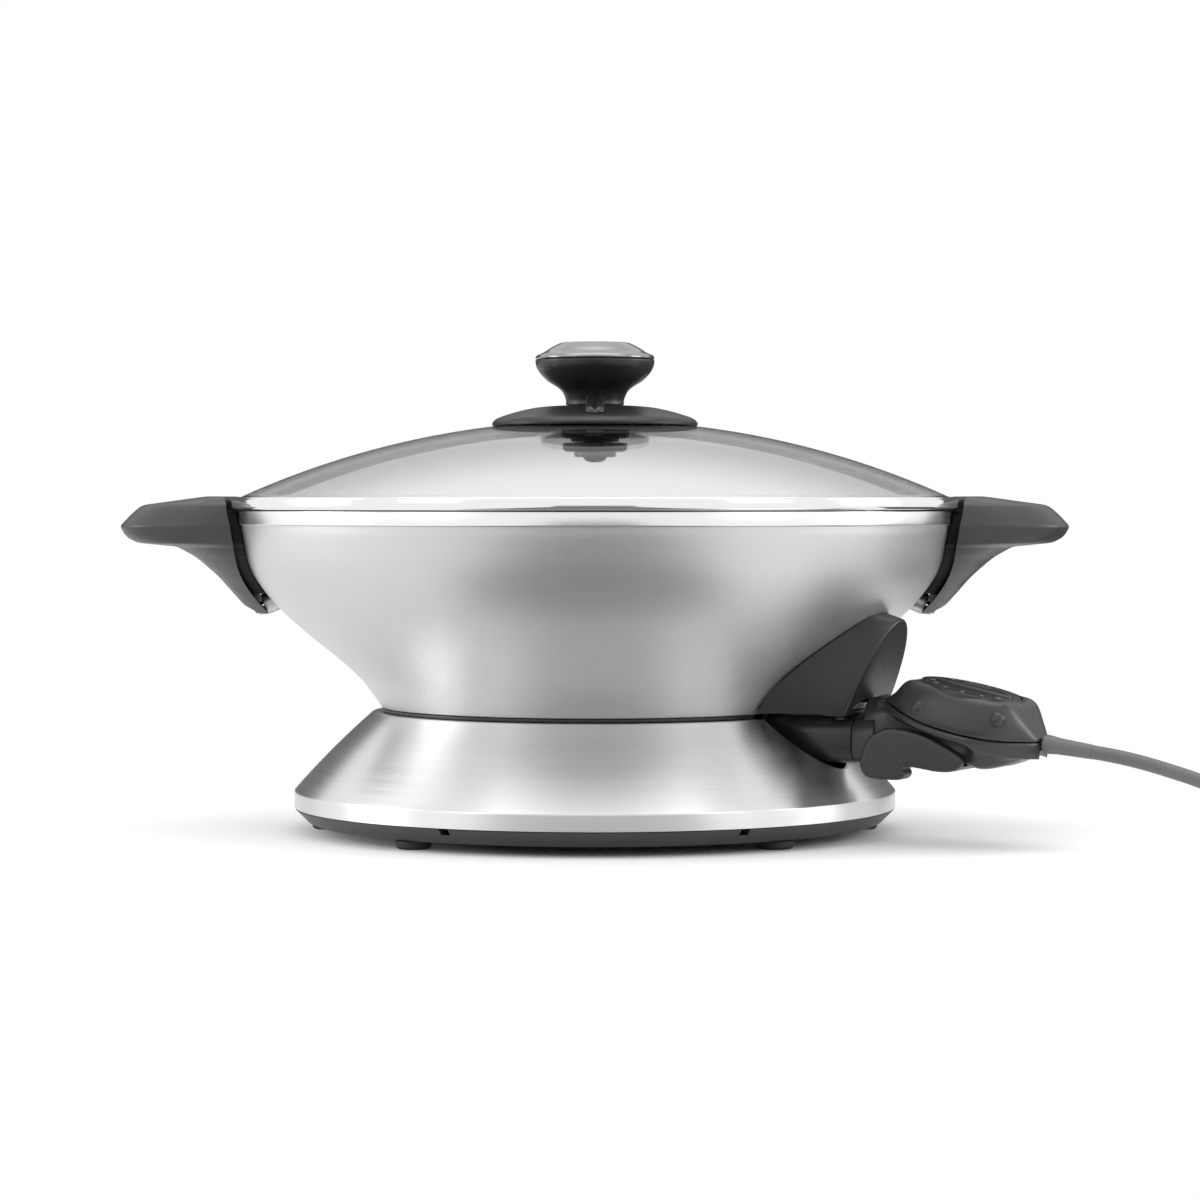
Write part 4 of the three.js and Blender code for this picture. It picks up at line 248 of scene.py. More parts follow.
def revolve(outline, sides=ROUND_SIDES, closed=False):
    """A body of revolution about Z."""
    points, rows, faces = [], [], []
    for r, z in outline:
        start = len(points)
        if r < 1e-4:
            points.append(Vector((0, 0, z * MM)))
            rows.append([start] * sides)
            continue
        for i in range(sides):
            turn = TAU * i / sides
            points.append(Vector((r * math.cos(turn), r * math.sin(turn), z)) * MM)
        rows.append(list(range(start, start + sides)))
    for low, high in zip(rows, rows[1:] + (rows[:1] if closed else [])):
        for i in range(sides):
            j = (i + 1) % sides
            face = list(dict.fromkeys((low[i], low[j], high[j], high[i])))
            if len(face) > 2:
                faces.append(face)
    return points, faces


def turned(outline, fillet=0.4, sides=ROUND_SIDES, closed=False, steps=3):
    """A turned piece with rounded corners."""
    return revolve(soften(outline, fillet, steps, closed), sides, closed)


def loft(rings, caps=True, closed_path=False):
    """A skin through rings of points in millimetres."""
    count = len(rings[0])
    points = [Vector(point) * MM for ring in rings for point in ring]
    faces = []
    for row in range(len(rings) if closed_path else len(rings) - 1):
        low, high = row * count, (row + 1) % len(rings) * count
        for i in range(count):
            j = (i + 1) % count
            faces.append([low + i, low + j, high + j, high + i])
    if caps:
        faces.append(list(range(count)))
        faces.append(list(range(len(points) - count, len(points))))
    return points, faces


def smooth_rings(rings, steps):
    """More rings between the given ones, on smooth lines through their points."""
    return list(zip(*(spline(column, steps) for column in zip(*rings))))


def block(low, high, edge):
    """A box between two corners with rounded edges."""
    form = bmesh.new()
    bmesh.ops.create_cube(form, size=1)
    for vertex in form.verts:
        for axis in range(3):
            vertex.co[axis] = (high if vertex.co[axis] > 0 else low)[axis] * MM
    if edge:
        bmesh.ops.bevel(
            form, geom=form.edges[:], offset=edge * MM, segments=3, profile=0.5, affect="EDGES",
            clamp_overlap=True)
    form.verts.index_update()
    made = [vertex.co.copy() for vertex in form.verts], [[v.index for v in face.verts] for face in form.faces]
    form.free()
    return made


def placed(form, matrix):
    """A form moved by a matrix in metres."""
    points, faces = form
    return [matrix @ point for point in points], faces


def combined(*forms):
    """Several forms as one."""
    points, faces = [], []
    for more, more_faces in forms:
        start = len(points)
        points += more
        faces += [[start + i for i in face] for face in more_faces]
    return points, faces


def shifted(x, y, z):
    """A move in millimetres."""
    return Matrix.Translation(Vector((x, y, z)) * MM)


def laid(y, z):
    """Turns a form made along Z so that it lies along X, with its axis at y and z."""
    return shifted(0, y, z) @ Matrix.Rotation(math.pi / 2, 4, "Y")


def upright(degrees, radius):
    """The place on a circle about Z."""
    turn = math.radians(degrees)
    return shifted(radius * math.cos(turn), radius * math.sin(turn), 0)


def section(x, half_width, half_height, middle_z, squareness, count=64):
    """A rounded rectangular section across X."""
    ring = []
    for i in range(count):
        turn = TAU * i / count
        y = half_width * rounded(math.cos(turn), squareness)
        ring.append((x, y, middle_z + half_height * rounded(math.sin(turn), squareness)))
    return ring


def bar(radius, low, high, edge=0.4, sides=SMALL_SIDES):
    """A round bar along Z with rounded ends."""
    return turned([(0, low), (radius, low), (radius, high), (0, high)], edge, sides)


# Pieces

def shape(name, form, place=None):
    """An object from a form, not yet part of the wok."""
    mesh = bpy.data.meshes.new(name)
    points, faces = form
    mesh.from_pydata(points, [], faces)
    skin = bmesh.new()
    skin.from_mesh(mesh)
    bmesh.ops.remove_doubles(skin, verts=skin.verts, dist=1e-7)
    bmesh.ops.recalc_face_normals(skin, faces=skin.faces)
    skin.to_mesh(mesh)
    skin.free()
    made = bpy.data.objects.new(name, mesh)
    bpy.context.scene.collection.objects.link(made)
    if place:
        made.matrix_world = place
    bpy.context.view_layer.update()
    return made


def settled(made):
    """Works an object's modifiers into its mesh."""
    graph = bpy.context.evaluated_depsgraph_get()
    mesh = bpy.data.meshes.new_from_object(made.evaluated_get(graph))
    made.modifiers.clear()
    made.data = mesh
    return made


def cut(made, form, place=None, operation="DIFFERENCE"):
    """Cuts a form out of an object."""
    tool = shape("tool", form, place if place else made.matrix_world.copy())
    modifier = made.modifiers.new("Cut", "BOOLEAN")
    modifier.object = tool
    modifier.operation = operation
    modifier.solver = "EXACT"
    settled(made)
    bpy.data.objects.remove(tool)
    return made


def moulded_round(made, grid, passes):
    """Rounds an object's whole form softly, as a moulding with no flat face."""
    even = made.modifiers.new("Even grid", "REMESH")
    even.mode = "VOXEL"
    even.voxel_size = grid * MM
    soft = made.modifiers.new("Soft form", "SMOOTH")
    soft.factor, soft.iterations = 0.5, passes
    return settled(made)


def dress(made, body, material, slot, *nodes, sharp=32):
    """Gives a piece its material and smooth shading, and puts it on its body."""
    made.data.materials.clear()
    made.data.materials.append(material)
    if made.type == "MESH":
        made.data.shade_smooth()
        made.data.set_sharp_from_angle(angle=math.radians(sharp))
    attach(made, body)
    if nodes:
        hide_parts(*nodes)
    return made


def kept(node, material):
    """Finishes a node of the frame that keeps its own shape."""
    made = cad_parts[node]
    made.data.materials.clear()
    made.data.materials.append(material)
    modifier = made.modifiers.new("Rounded edges", "BEVEL")
    modifier.width = KEPT_EDGE * MM
    modifier.segments = 2
    modifier.limit_method = "ANGLE"
    modifier.angle_limit = math.radians(50)
    return made


# Finishes

# The part of a noise's values that is stretched over the whole spread of a colour or a roughness
NOISE_RANGE = (0.3, 0.7)


class Finish:
    """A material on the principled shader, with detail laid over its plain values."""

    def __init__(self, name, base, roughness, metallic=0, **sockets):
        self.material = bpy.data.materials.new(name)
        self.material.use_nodes = True
        self.nodes = self.material.node_tree.nodes
        self.links = self.material.node_tree.links
        self.shader = self.nodes["Principled BSDF"]
        self.base = base
        self.roughness = roughness
        self.put("Base Color", base)
        self.put("Roughness", roughness)
        self.put("Metallic", metallic)
        for socket, value in sockets.items():
            self.put(socket.replace("_", " "), value)
        self.coordinates = self.nodes.new("ShaderNodeTexCoord")
        self.height = None

    def put(self, socket, value):
        """Sets a plain value on the shader."""
        self.shader.inputs[socket].default_value = value

    def noise(self, scale, stretch=(1, 1, 1), detail=3):
        """A noise in the piece's own coordinates, in parts per metre."""
        mapping = self.nodes.new("ShaderNodeMapping")
        mapping.inputs["Scale"].default_value = stretch
        self.links.new(self.coordinates.outputs["Object"], mapping.inputs["Vector"])
        noise = self.nodes.new("ShaderNodeTexNoise")
        noise.inputs["Scale"].default_value = scale
        noise.inputs["Detail"].default_value = detail
        self.links.new(mapping.outputs["Vector"], noise.inputs["Vector"])
        return noise.outputs["Fac"]

    def vary_colour(self, source, spread):
        """Lighter and darker tones of the base colour."""
        ramp = self.nodes.new("ShaderNodeValToRGB")
        red, green, blue = self.base[:3]
        low, high = ramp.color_ramp.elements
        low.position, high.position = NOISE_RANGE
        low.color = (red * (1 - spread), green * (1 - spread), blue * (1 - spread), 1)
        high.color = tuple(min(1, c * (1 + spread)) for c in (red, green, blue)) + (1,)
        self.links.new(source, ramp.inputs["Fac"])
        self.links.new(ramp.outputs["Color"], self.shader.inputs["Base Color"])
        return self

    def vary_roughness(self, source, spread):
        """Rougher and smoother places."""
        mapped = self.nodes.new("ShaderNodeMapRange")
        mapped.inputs["From Min"].default_value, mapped.inputs["From Max"].default_value = NOISE_RANGE
        mapped.inputs["To Min"].default_value = max(0.02, self.roughness - spread)
        mapped.inputs["To Max"].default_value = min(1, self.roughness + spread)
        self.links.new(source, mapped.inputs["Value"])
        self.links.new(mapped.outputs["Result"], self.shader.inputs["Roughness"])
        return self

    def paint_grazing_shade(self, start, end, share):
        """Darkens the base colour where the surface is seen at a low angle: painted shade at grazing angles."""
        facing = self.nodes.new("ShaderNodeLayerWeight")
        ramp = self.nodes.new("ShaderNodeValToRGB")
        red, green, blue = self.base[:3]
        clear, dark = ramp.color_ramp.elements
        clear.position, dark.position = start, end
        clear.color = (red, green, blue, 1)
        dark.color = (red * share, green * share, blue * share, 1)
        self.links.new(facing.outputs["Facing"], ramp.inputs["Fac"])
        self.links.new(ramp.outputs["Color"], self.shader.inputs["Base Color"])

    def relief(self, source, strength, depth):
        """Fine relief, its depth in metres."""
        bump = self.nodes.new("ShaderNodeBump")
        bump.inputs["Strength"].default_value = strength
        bump.inputs["Distance"].default_value = depth
        self.links.new(source, bump.inputs["Height"])
        if self.height:
            self.links.new(self.height, bump.inputs["Normal"])
        self.height = bump.outputs["Normal"]
        self.links.new(self.height, self.shader.inputs["Normal"])
        return self

    def spun(self):
        """Turns the stretch of its highlights across lines that run round Z."""
        tangent = self.nodes.new("ShaderNodeTangent")
        tangent.direction_type = "RADIAL"
        tangent.axis = "Z"
        self.links.new(tangent.outputs["Tangent"], self.shader.inputs["Tangent"])
        self.put("Anisotropic Rotation", 0.25)
        return self


def moulded(name, base, roughness, grain, gloss=0.5):
    """Moulded plastic with a fine even grain and a slight mottle."""
    made = Finish(name, base, roughness, Specular_IOR_Level=gloss)
    made.vary_colour(made.noise(60), 0.06)
    made.vary_roughness(made.noise(240), 0.05)
    return made.relief(made.noise(2600, detail=2), grain, 0.00012).material


def brushed(name, base, roughness):
    """Steel brushed in fine level lines."""
    made = Finish(name, base, roughness, metallic=1, Anisotropic=0.8)
    fine = made.noise(1, (2, 2, 5200), detail=2)
    made.vary_colour(fine, 0.06)
    made.vary_roughness(fine, 0.04)
    return made.relief(fine, 0.055, 0.00003).spun().material


def make_finishes(colours):
    """Every finish of the wok, by name."""
    casting = Finish("casting", colours.casting, 0.47, metallic=0.95, Anisotropic=0.3)
    casting.vary_colour(casting.noise(9, (1, 1, 3)), 0.03)
    casting.vary_roughness(casting.noise(400), 0.03)
    casting.relief(casting.noise(3200, detail=2), 0.14, 0.00006).spun()
    coating = Finish("coating", colours.coating, 0.38, Coat_Weight=0.3, Coat_Roughness=0.25)
    coating.vary_colour(coating.noise(1400, detail=4), 0.3)
    coating.relief(coating.noise(900), 0.15, 0.00008)
    polished = Finish("polished_steel", colours.polished_steel, 0.09, metallic=1)
    polished.vary_roughness(polished.noise(30, (1, 1, 8)), 0.03)
    polished.relief(polished.noise(1, (4, 4, 900)), 0.03, 0.00002)
    # A low index keeps the view through both walls of the dome straight and clear
    glass = Finish("clear_glass", colours.glass, 0.015, IOR=1.13, Transmission_Weight=1)
    glass.vary_roughness(glass.noise(22), 0.006)
    # Painted shade: the glass's colour darkens where it is seen at a low angle
    glass.paint_grazing_shade(0.66, 0.9, 0.3)
    glass.relief(glass.noise(7, detail=1), 0.02, 0.0003)
    rubber = Finish("soft_rubber", colours.rubber, 0.72)
    rubber.vary_colour(rubber.noise(120), 0.12)
    rubber.relief(rubber.noise(1500), 0.3, 0.00015)
    cord = Finish("cord_rubber", colours.cord, 0.46)
    cord.vary_colour(cord.noise(40), 0.06)
    cord.vary_roughness(cord.noise(300), 0.06)
    cord.relief(cord.noise(1900, detail=2), 0.2, 0.0001)
    brass = Finish("brass_contacts", colours.brass, 0.26, metallic=1)
    brass.vary_roughness(brass.noise(500), 0.08)
    brass.relief(brass.noise(1, (60, 60, 1200)), 0.08, 0.00003)
    sheath = Finish("sheath_metal", colours.sheath, 0.38, metallic=1)
    sheath.vary_colour(sheath.noise(90), 0.18)
    sheath.vary_roughness(sheath.noise(200), 0.1)
    lip = Finish("turned_lip", colours.lip, 0.24, metallic=1)
    lip.vary_roughness(lip.noise(1, (4, 4, 3000)), 0.03)
    lip.relief(lip.noise(1, (4, 4, 3000)), 0.03, 0.00002)
    # Polished steel made nearly black: painted shade on the screws and pins that sit in shade
    dark = Finish("dark_steel", colours.dark_steel, 0.35, metallic=1)
    dark.vary_roughness(dark.noise(400), 0.06)
    dark.relief(dark.noise(1500), 0.05, 0.00003)
    numbers = Finish("numbers", colours.number, 0.5)
    numbers.vary_colour(numbers.noise(900), 0.05)
    return {
        "brushed_steel": brushed("brushed_steel", colours.brushed_steel, 0.34),
        "polished_steel": polished.material,
        "satin_aluminium": casting.material,
        "coating": coating.material,
        "clear_glass": glass.material,
        # Darker copies of the black plastic: painted shade on the handles' pads and on the vent collar
        "pad_plastic": moulded("pad_plastic", colours.pad, 0.5, grain=0.05, gloss=0.2),
        "collar_plastic": moulded("collar_plastic", colours.pad, 0.42, grain=0.05),
        "turned_lip": lip.material,
        # A darker copy of the brushed steel: painted shade on the knob's cap
        "cap_steel": brushed("cap_steel", colours.cap_steel, 0.22),
        "dark_steel": dark.material,
        "charcoal_plastic": moulded("charcoal_plastic", colours.charcoal, 0.4, grain=0.15),
        # A darker copy of the charcoal plastic: painted shade on the socket and its hood
        "hood_plastic": moulded("hood_plastic", colours.hood, 0.34, grain=0.08),
        "black_plastic": moulded("black_plastic", colours.black, 0.36, grain=0.05),
        "probe_plastic": moulded("probe_plastic", colours.probe, 0.34, grain=0.08),
        "soft_rubber": rubber.material,
        "cord_rubber": cord.material,
        "brass_contacts": brass.material,
        "sheath_metal": sheath.material,
        "numbers": numbers.material,
    }


def finishes():
    """The finishes, made once."""
    if "brushed_steel" not in bpy.data.materials or bpy.data.materials["brushed_steel"].get("wok") is None:
        for name, material in make_finishes(bpy.context.scene.wok_finishes).items():
            material["wok"] = name
    return {material["wok"]: material for material in bpy.data.materials if material.get("wok")}


def put_piece(name, form, body, slot, *nodes, finish=None, place=None, sharp=32):
    """Makes a piece and puts it on its body. Its finish has the name of its slot unless one is given."""
    return dress(shape(name, form, place), body, finishes()[finish or slot], slot, *nodes, sharp=sharp)


def cross_recess(radius, z, depth=1.2):
    """The driver's recess in a screw head, open towards -Z."""
    arm, half = radius * 0.62, radius * 0.14
    wide = block((-arm, -half, z - 1), (arm, half, z + depth), 0)
    long = block((-half, -arm, z - 1), (half, arm, z + depth), 0)
    return wide, long


def put_screw(name, head_radius, head_height, radius, low, high, body, node, place=None, finish="polished_steel"):
    """A screw that points up, with a domed head and a driver's recess below."""
    form = turned([
        (0, low), (head_radius * 0.7, low), (head_radius, low + head_height * 0.45),
        (head_radius, low + head_height), (radius, low + head_height), (radius, high), (0, high),
    ], 0.5, 32)
    made = shape(name, form, place)
    for arm in cross_recess(head_radius, low, head_height * 0.6):
        cut(made, arm)
    return dress(made, body, finishes()[finish], "polished_steel", node)


# Stage, in metres

CAMERA_SENSOR_WIDTH = 36
CAMERA_LENS = 105
CAMERA_CLIP_START = 0.05
CAMERA_X = 0.0025
CAMERA_DIP_DEGREES = 1.637
FLOOR_HALF = 6
FLOOR_FADE_CENTRE = (0.1, 0, 0)
FLOOR_FADE_START = 0.17
FLOOR_FADE_END = 0.45
# Width and height, place and aim of each lamp. The last two are given for the right-hand side
TOP_LAMP = ((1.8, 1.4), (0, -0.1, 1.7), (0, 0, 0))
FRONT_LAMP = ((0.7, 1.4), (1.5, -1.3, 0.9), (0, 0, 0.1))
SIDE_LAMP = ((0.7, 0.9), (1.7, -0.05, 0.55), (0, 0, 0.08))
# Corners of the cards
FRONT_CARD = [(-0.13, -0.16, 0.002), (0.13, -0.16, 0.002), (0.5, -2.6, 0.002), (-0.5, -2.6, 0.002)]
RIGHT_CARD = [(0.3, -0.02, 0.002), (2, -0.02, 0.002), (2, 2, 0.002), (0.3, 2, 0.002)]
BACK_CARD = [(-2.5, 2.2, 0.001), (2.5, 2.2, 0.001), (2.5, 2.2, 1.1), (-2.5, 2.2, 1.1)]


def make_camera(stage):
    """A long lens in front of the wok, a little over its middle and tilted down slightly."""
    data = bpy.data.cameras.new("camera")
    data.sensor_width = CAMERA_SENSOR_WIDTH
    data.lens = CAMERA_LENS
    data.clip_start = CAMERA_CLIP_START
    camera = bpy.data.objects.new("camera", data)
    bpy.context.scene.collection.objects.link(camera)
    camera.location = (CAMERA_X, -stage.camera_distance, stage.camera_height)
    camera.rotation_euler = (math.radians(90 - CAMERA_DIP_DEGREES), 0, 0)
    bpy.context.scene.camera = camera


def make_floor(stage):
    """A pale floor that keeps the wok's shadow, and fades to the background around it."""
    corners = [Vector((x * FLOOR_HALF, y * FLOOR_HALF, 0)) for x, y in ((-1, -1), (1, -1), (1, 1), (-1, 1))]
    floor = shape("floor", (corners, [[0, 1, 2, 3]]))
    material = bpy.data.materials.new("floor")
    material.use_nodes = True
    nodes, links = material.node_tree.nodes, material.node_tree.links
    shader = nodes["Principled BSDF"]
    shader.inputs["Base Color"].default_value = stage.floor
    shader.inputs["Roughness"].default_value = 0.9
    shader.inputs["Specular IOR Level"].default_value = 0.1
    far = nodes.new("ShaderNodeEmission")
    far.inputs["Color"].default_value = stage.background
    where = nodes.new("ShaderNodeTexCoord")
    middle = nodes.new("ShaderNodeVectorMath")
    middle.operation = "SUBTRACT"
    middle.inputs[1].default_value = FLOOR_FADE_CENTRE
    links.new(where.outputs["Object"], middle.inputs[0])
    length = nodes.new("ShaderNodeVectorMath")
    length.operation = "LENGTH"
    links.new(middle.outputs["Vector"], length.inputs[0])
    fade = nodes.new("ShaderNodeMapRange")
    fade.interpolation_type = "SMOOTHSTEP"
    fade.inputs["From Min"].default_value = FLOOR_FADE_START
    fade.inputs["From Max"].default_value = FLOOR_FADE_END
    links.new(length.outputs["Value"], fade.inputs["Value"])
    mix = nodes.new("ShaderNodeMixShader")
    links.new(fade.outputs["Result"], mix.inputs["Fac"])
    links.new(shader.outputs["BSDF"], mix.inputs[1])
    links.new(far.outputs["Emission"], mix.inputs[2])
    links.new(mix.outputs["Shader"], nodes["Material Output"].inputs["Surface"])
    floor.data.materials.append(material)


def make_world(stage):
    """Even surroundings that are pure background to the camera, in reflections and through glass."""
    world = bpy.data.worlds.new("studio")
    bpy.context.scene.world = world
    world.use_nodes = True
    nodes, links = world.node_tree.nodes, world.node_tree.links
    light = nodes["Background"]
    light.inputs["Color"].default_value = stage.background
    light.inputs["Strength"].default_value = stage.world_level
    seen = nodes.new("ShaderNodeBackground")
    seen.inputs["Color"].default_value = stage.background
    path = nodes.new("ShaderNodeLightPath")
    either = None
    for ray in ("Is Glossy Ray", "Is Transmission Ray"):
        largest = nodes.new("ShaderNodeMath")
        largest.operation = "MAXIMUM"
        links.new(either or path.outputs["Is Camera Ray"], largest.inputs[0])
        links.new(path.outputs[ray], largest.inputs[1])
        either = largest.outputs["Value"]
    mix = nodes.new("ShaderNodeMixShader")
    links.new(either, mix.inputs["Fac"])
    links.new(light.outputs["Background"], mix.inputs[1])
    links.new(seen.outputs["Background"], mix.inputs[2])
    links.new(mix.outputs["Shader"], nodes["World Output"].inputs["Surface"])


def make_lamp(name, power, lamp, side=1):
    """A soft lamp. A side of -1 puts it on the left."""
    (width, height), (x, y, z), aim = lamp
    place = Vector((side * x, y, z))
    data = bpy.data.lights.new(name, "AREA")
    data.shape = "RECTANGLE"
    data.size, data.size_y = width, height
    data.energy = power
    made = bpy.data.objects.new(name, data)
    bpy.context.scene.collection.objects.link(made)
    made.location = place
    made.rotation_euler = (Vector(aim) - place).to_track_quat("-Z", "Y").to_euler()


def make_card(name, level, background, corners):
    """A grey card that only reflections show."""
    card = shape(name, ([Vector(corner) for corner in corners], [[0, 1, 2, 3]]))
    material = bpy.data.materials.new(name)
    material.use_nodes = True
    nodes, links = material.node_tree.nodes, material.node_tree.links
    light = nodes.new("ShaderNodeEmission")
    light.inputs["Color"].default_value = background
    light.inputs["Strength"].default_value = level
    links.new(light.outputs["Emission"], nodes["Material Output"].inputs["Surface"])
    card.data.materials.append(material)
    card.visible_camera = False
    card.visible_diffuse = False
    card.visible_transmission = False
    card.visible_shadow = False


class WOK_OT_stage(bpy.types.Operator):
    """Sets up the camera, the floor, the world and the lamps"""
    bl_idname = "wok.stage"
    bl_label = "Stage"

    def execute(self, context):
        stage = context.scene.wok_stage
        make_camera(stage)
        make_floor(stage)
        make_world(stage)
        context.scene.view_settings.view_transform = "Standard"
        make_lamp("top_lamp", stage.top_power, TOP_LAMP)
        for side, name in ((-1, "left"), (1, "right")):
            make_lamp(f"{name}_front_lamp", stage.front_power, FRONT_LAMP, side)
            make_lamp(f"{name}_side_lamp", stage.side_power, SIDE_LAMP, side)
        make_card("front_card", stage.front_card, stage.background, FRONT_CARD)
        make_card("right_card", stage.back_card, stage.background, RIGHT_CARD)
        make_card("back_card", stage.back_card, stage.background, BACK_CARD)
        return {"FINISHED"}


# Mains lead

# The cord's line from the strain relief to its coil
CORD_ROUTE = [
    (231.6, -123.2, 47.2), (238.2, -126.6, 46.2), (246.8, -131.2, 44.6), (256.6, -136.4, 42.2),
    (266.8, -141.8, 39.2), (277.0, -147.3, 35.9), (287.4, -152.8, 31.6), (297.8, -158.4, 26.4),
    (308.0, -163.6, 20.8), (318.0, -168.4, 15.2), (327.8, -173.1, 10.2), (337.5, -177.9, 6.4),
    (347.3, -182.65, 4.6), (353.87, -185.62, 4.4),
]
# The cord's line from its coil to the plug
TAIL_ROUTE = [
    (417.95, -150.6, 11.55), (419.1, -143.7, 11.5), (419.8, -135.8, 11.1), (419.6, -127.8, 11.2),
    (418.6, -119.9, 12.0), (417.4, -112.4, 12.6), (416.4, -105.6, 12.7),
]
COIL_CENTRE = Vector((378, -152, 0))
COIL_ENTRY_ANGLE = 244
COIL_OUTER_RADIUS = 40.6
COIL_PITCH = 7.2
COIL_RISE = 7.15
COIL_REST_Z = 4.4
COIL_TURNS_IN = 2
COIL_TURNS_CLIMB = 0.5
COIL_TURNS_OUT = 1.8
COIL_STEPS_PER_TURN = 24
TIE_ANGLE = 150
TIE_THICKNESS = 0.8
TIE_WIDTH = 9
TIE_GAP = 0.4
TIE_CORNER = 3
TIE_BEVEL = 0.3
RELIEF_OUTLINE = [
    (0, -23.3), (4.5, -23.3), (4.4, -19.6), (3.95, -16.4), (3.7, -9), (3.5, -1.2), (3.38, 0.8, 0.05), (0, 0.8),
]
# Place along the plug, half width, half height and squareness of its slices
PLUG_SLICES = [
    (0, 4.0, 4.0, 2), (1.5, 4.3, 4.3, 2), (9.8, 5.2, 5.2, 2), (13.2, 6.6, 6.4, 2.4), (16.4, 9.2, 8.8, 3),
    (21.4, 11, 10.5, 3.4), (29, 12.5, 11.9, 3.6), (42.8, 13, 12.4, 3.6), (43.8, 12.5, 11.9, 3.6),
    (44, 11.8, 11.2, 3.6),
]


def coil_route():
    """The stored length: in along the floor, up a layer while it turns back, and out."""
    turns = COIL_TURNS_IN + COIL_TURNS_CLIMB + COIL_TURNS_OUT
    steps = round(turns * COIL_STEPS_PER_TURN)
    inner = COIL_OUTER_RADIUS - COIL_TURNS_IN * COIL_PITCH
    route = []
    for i in range(steps + 1):
        turn = turns * i / steps
        climbed = min(max((turn - COIL_TURNS_IN) / COIL_TURNS_CLIMB, 0), 1)
        after = turn - COIL_TURNS_IN - COIL_TURNS_CLIMB
        radius = COIL_OUTER_RADIUS - COIL_PITCH * turn
        if climbed > 0:
            radius = inner - COIL_PITCH * COIL_TURNS_CLIMB * climbed * (1 - climbed)
        if after > 0:
            radius = inner + COIL_PITCH * after
        angle = math.radians(COIL_ENTRY_ANGLE) + TAU * turn
        place = Vector((radius * math.cos(angle), radius * math.sin(angle), COIL_REST_Z + COIL_RISE * climbed))
        route.append(COIL_CENTRE + place)
    return route


def tube_curve(name, route, radius):
    """A round tube as one open curve through every point."""
    data = bpy.data.curves.new(name, "CURVE")
    data.dimensions = "3D"
    data.bevel_depth = radius * MM
    data.bevel_resolution = 5
    data.resolution_u = 5
    data.use_fill_caps = True
    line = data.splines.new("BEZIER")
    line.bezier_points.add(len(route) - 1)
    for knot, point in zip(line.bezier_points, route):
        knot.co = Vector(point) * MM
        knot.handle_left_type = knot.handle_right_type = "AUTO"
    made = bpy.data.objects.new(name, data)
    bpy.context.scene.collection.objects.link(made)
    return made


def along_axis(start, direction):
    """Puts a form made along Z on an axis in the wok's frame."""
    return shifted(*start) @ Vector(direction).to_track_quat("Z", "Y").to_matrix().to_4x4()


def plug_place():
    """The plug's frame: Z along the plug from the cord to its blades, Y up."""
    last, before = Vector(TAIL_ROUTE[-1]), Vector(TAIL_ROUTE[-2])
    along = last - before
    along.z = 0
    along.normalize()
    start = (last + along * FIT_GAP) * MM
    up = Vector((0, 0, 1))
    side = up.cross(along)
    return Matrix((
        (side.x, up.x, along.x, start.x),
        (side.y, up.y, along.y, start.y),
        (side.z, up.z, along.z, start.z),
        (0, 0, 0, 1),
    ))


def plug_form():
    """The plug's body, from a round neck to a rounded rectangular face."""
    rings = []
    for z, half_width, half_height, squareness in PLUG_SLICES:
        ring = section(z, half_width, half_height, 0, squareness, 48)
        rings.append([(y, up, along) for along, y, up in ring])
    return loft(smooth_rings(rings, 3))


def tie_form(cord_radius):
    """The band round the coil's turns, as a rounded loop across the coil's line."""
    climb_dip = COIL_PITCH * COIL_TURNS_CLIMB / 4
    margin = cord_radius + TIE_GAP
    inner = COIL_OUTER_RADIUS - COIL_TURNS_IN * COIL_PITCH - climb_dip - margin
    outer = COIL_OUTER_RADIUS + margin
    top = COIL_REST_Z + COIL_RISE + margin

    def loop(offset):
        low = TIE_THICKNESS - offset
        corners = [(inner - offset, low), (outer + offset, low), (outer + offset, top + offset),
                   (inner - offset, top + offset)]
        return soften(corners, TIE_CORNER + offset, steps=6, closed=True)

    half = TIE_WIDTH / 2
    rings = []
    for a, b in zip(loop(0), loop(TIE_THICKNESS)):
        rings.append([(a.x, -half, a.y), (b.x, TIE_BEVEL - half, b.y), (b.x, half - TIE_BEVEL, b.y), (a.x, half, a.y)])
    return loft(rings, caps=False, closed_path=True)


class WOK_OT_lead(bpy.types.Operator):
    """Makes the mains lead with its strain relief, coil, tie and plug"""
    bl_idname = "wok.lead"
    bl_label = "Mains lead"

    def execute(self, context):
        sizes = context.scene.wok_sizes
        radius = sizes.cord_diameter / MM / 2
        cord = tube_curve("mains_lead", [*CORD_ROUTE, *coil_route(), *TAIL_ROUTE], radius)
        dress(cord, "probe", finishes()["cord_rubber"], "cord_rubber", "mains_cord", "cord_coil", "cord_tail")
        start, after = Vector(CORD_ROUTE[0]), Vector(CORD_ROUTE[1])
        along = (after - start).normalized()
        relief = put_piece(
            "relief", turned(RELIEF_OUTLINE, 0.7, 48), "probe", "cord_rubber", "strain_relief",
            place=along_axis(start - along * FIT_GAP, along))
        turn = Matrix.Rotation(math.radians(TIE_ANGLE), 4, "Z")
        tie = put_piece(
            "tie", tie_form(radius), "probe", "black_plastic", "cord_tie", place=shifted(*COIL_CENTRE) @ turn)
        plug = put_piece("plug", plug_form(), "probe", "cord_rubber", "plug_body", place=plug_place())
        brass = finishes()["brass_contacts"]
        pins = [kept("plug_blade_left", brass), kept("plug_blade_right", brass), kept("plug_ground_pin", brass)]
        return {"FINISHED"}


# Stand

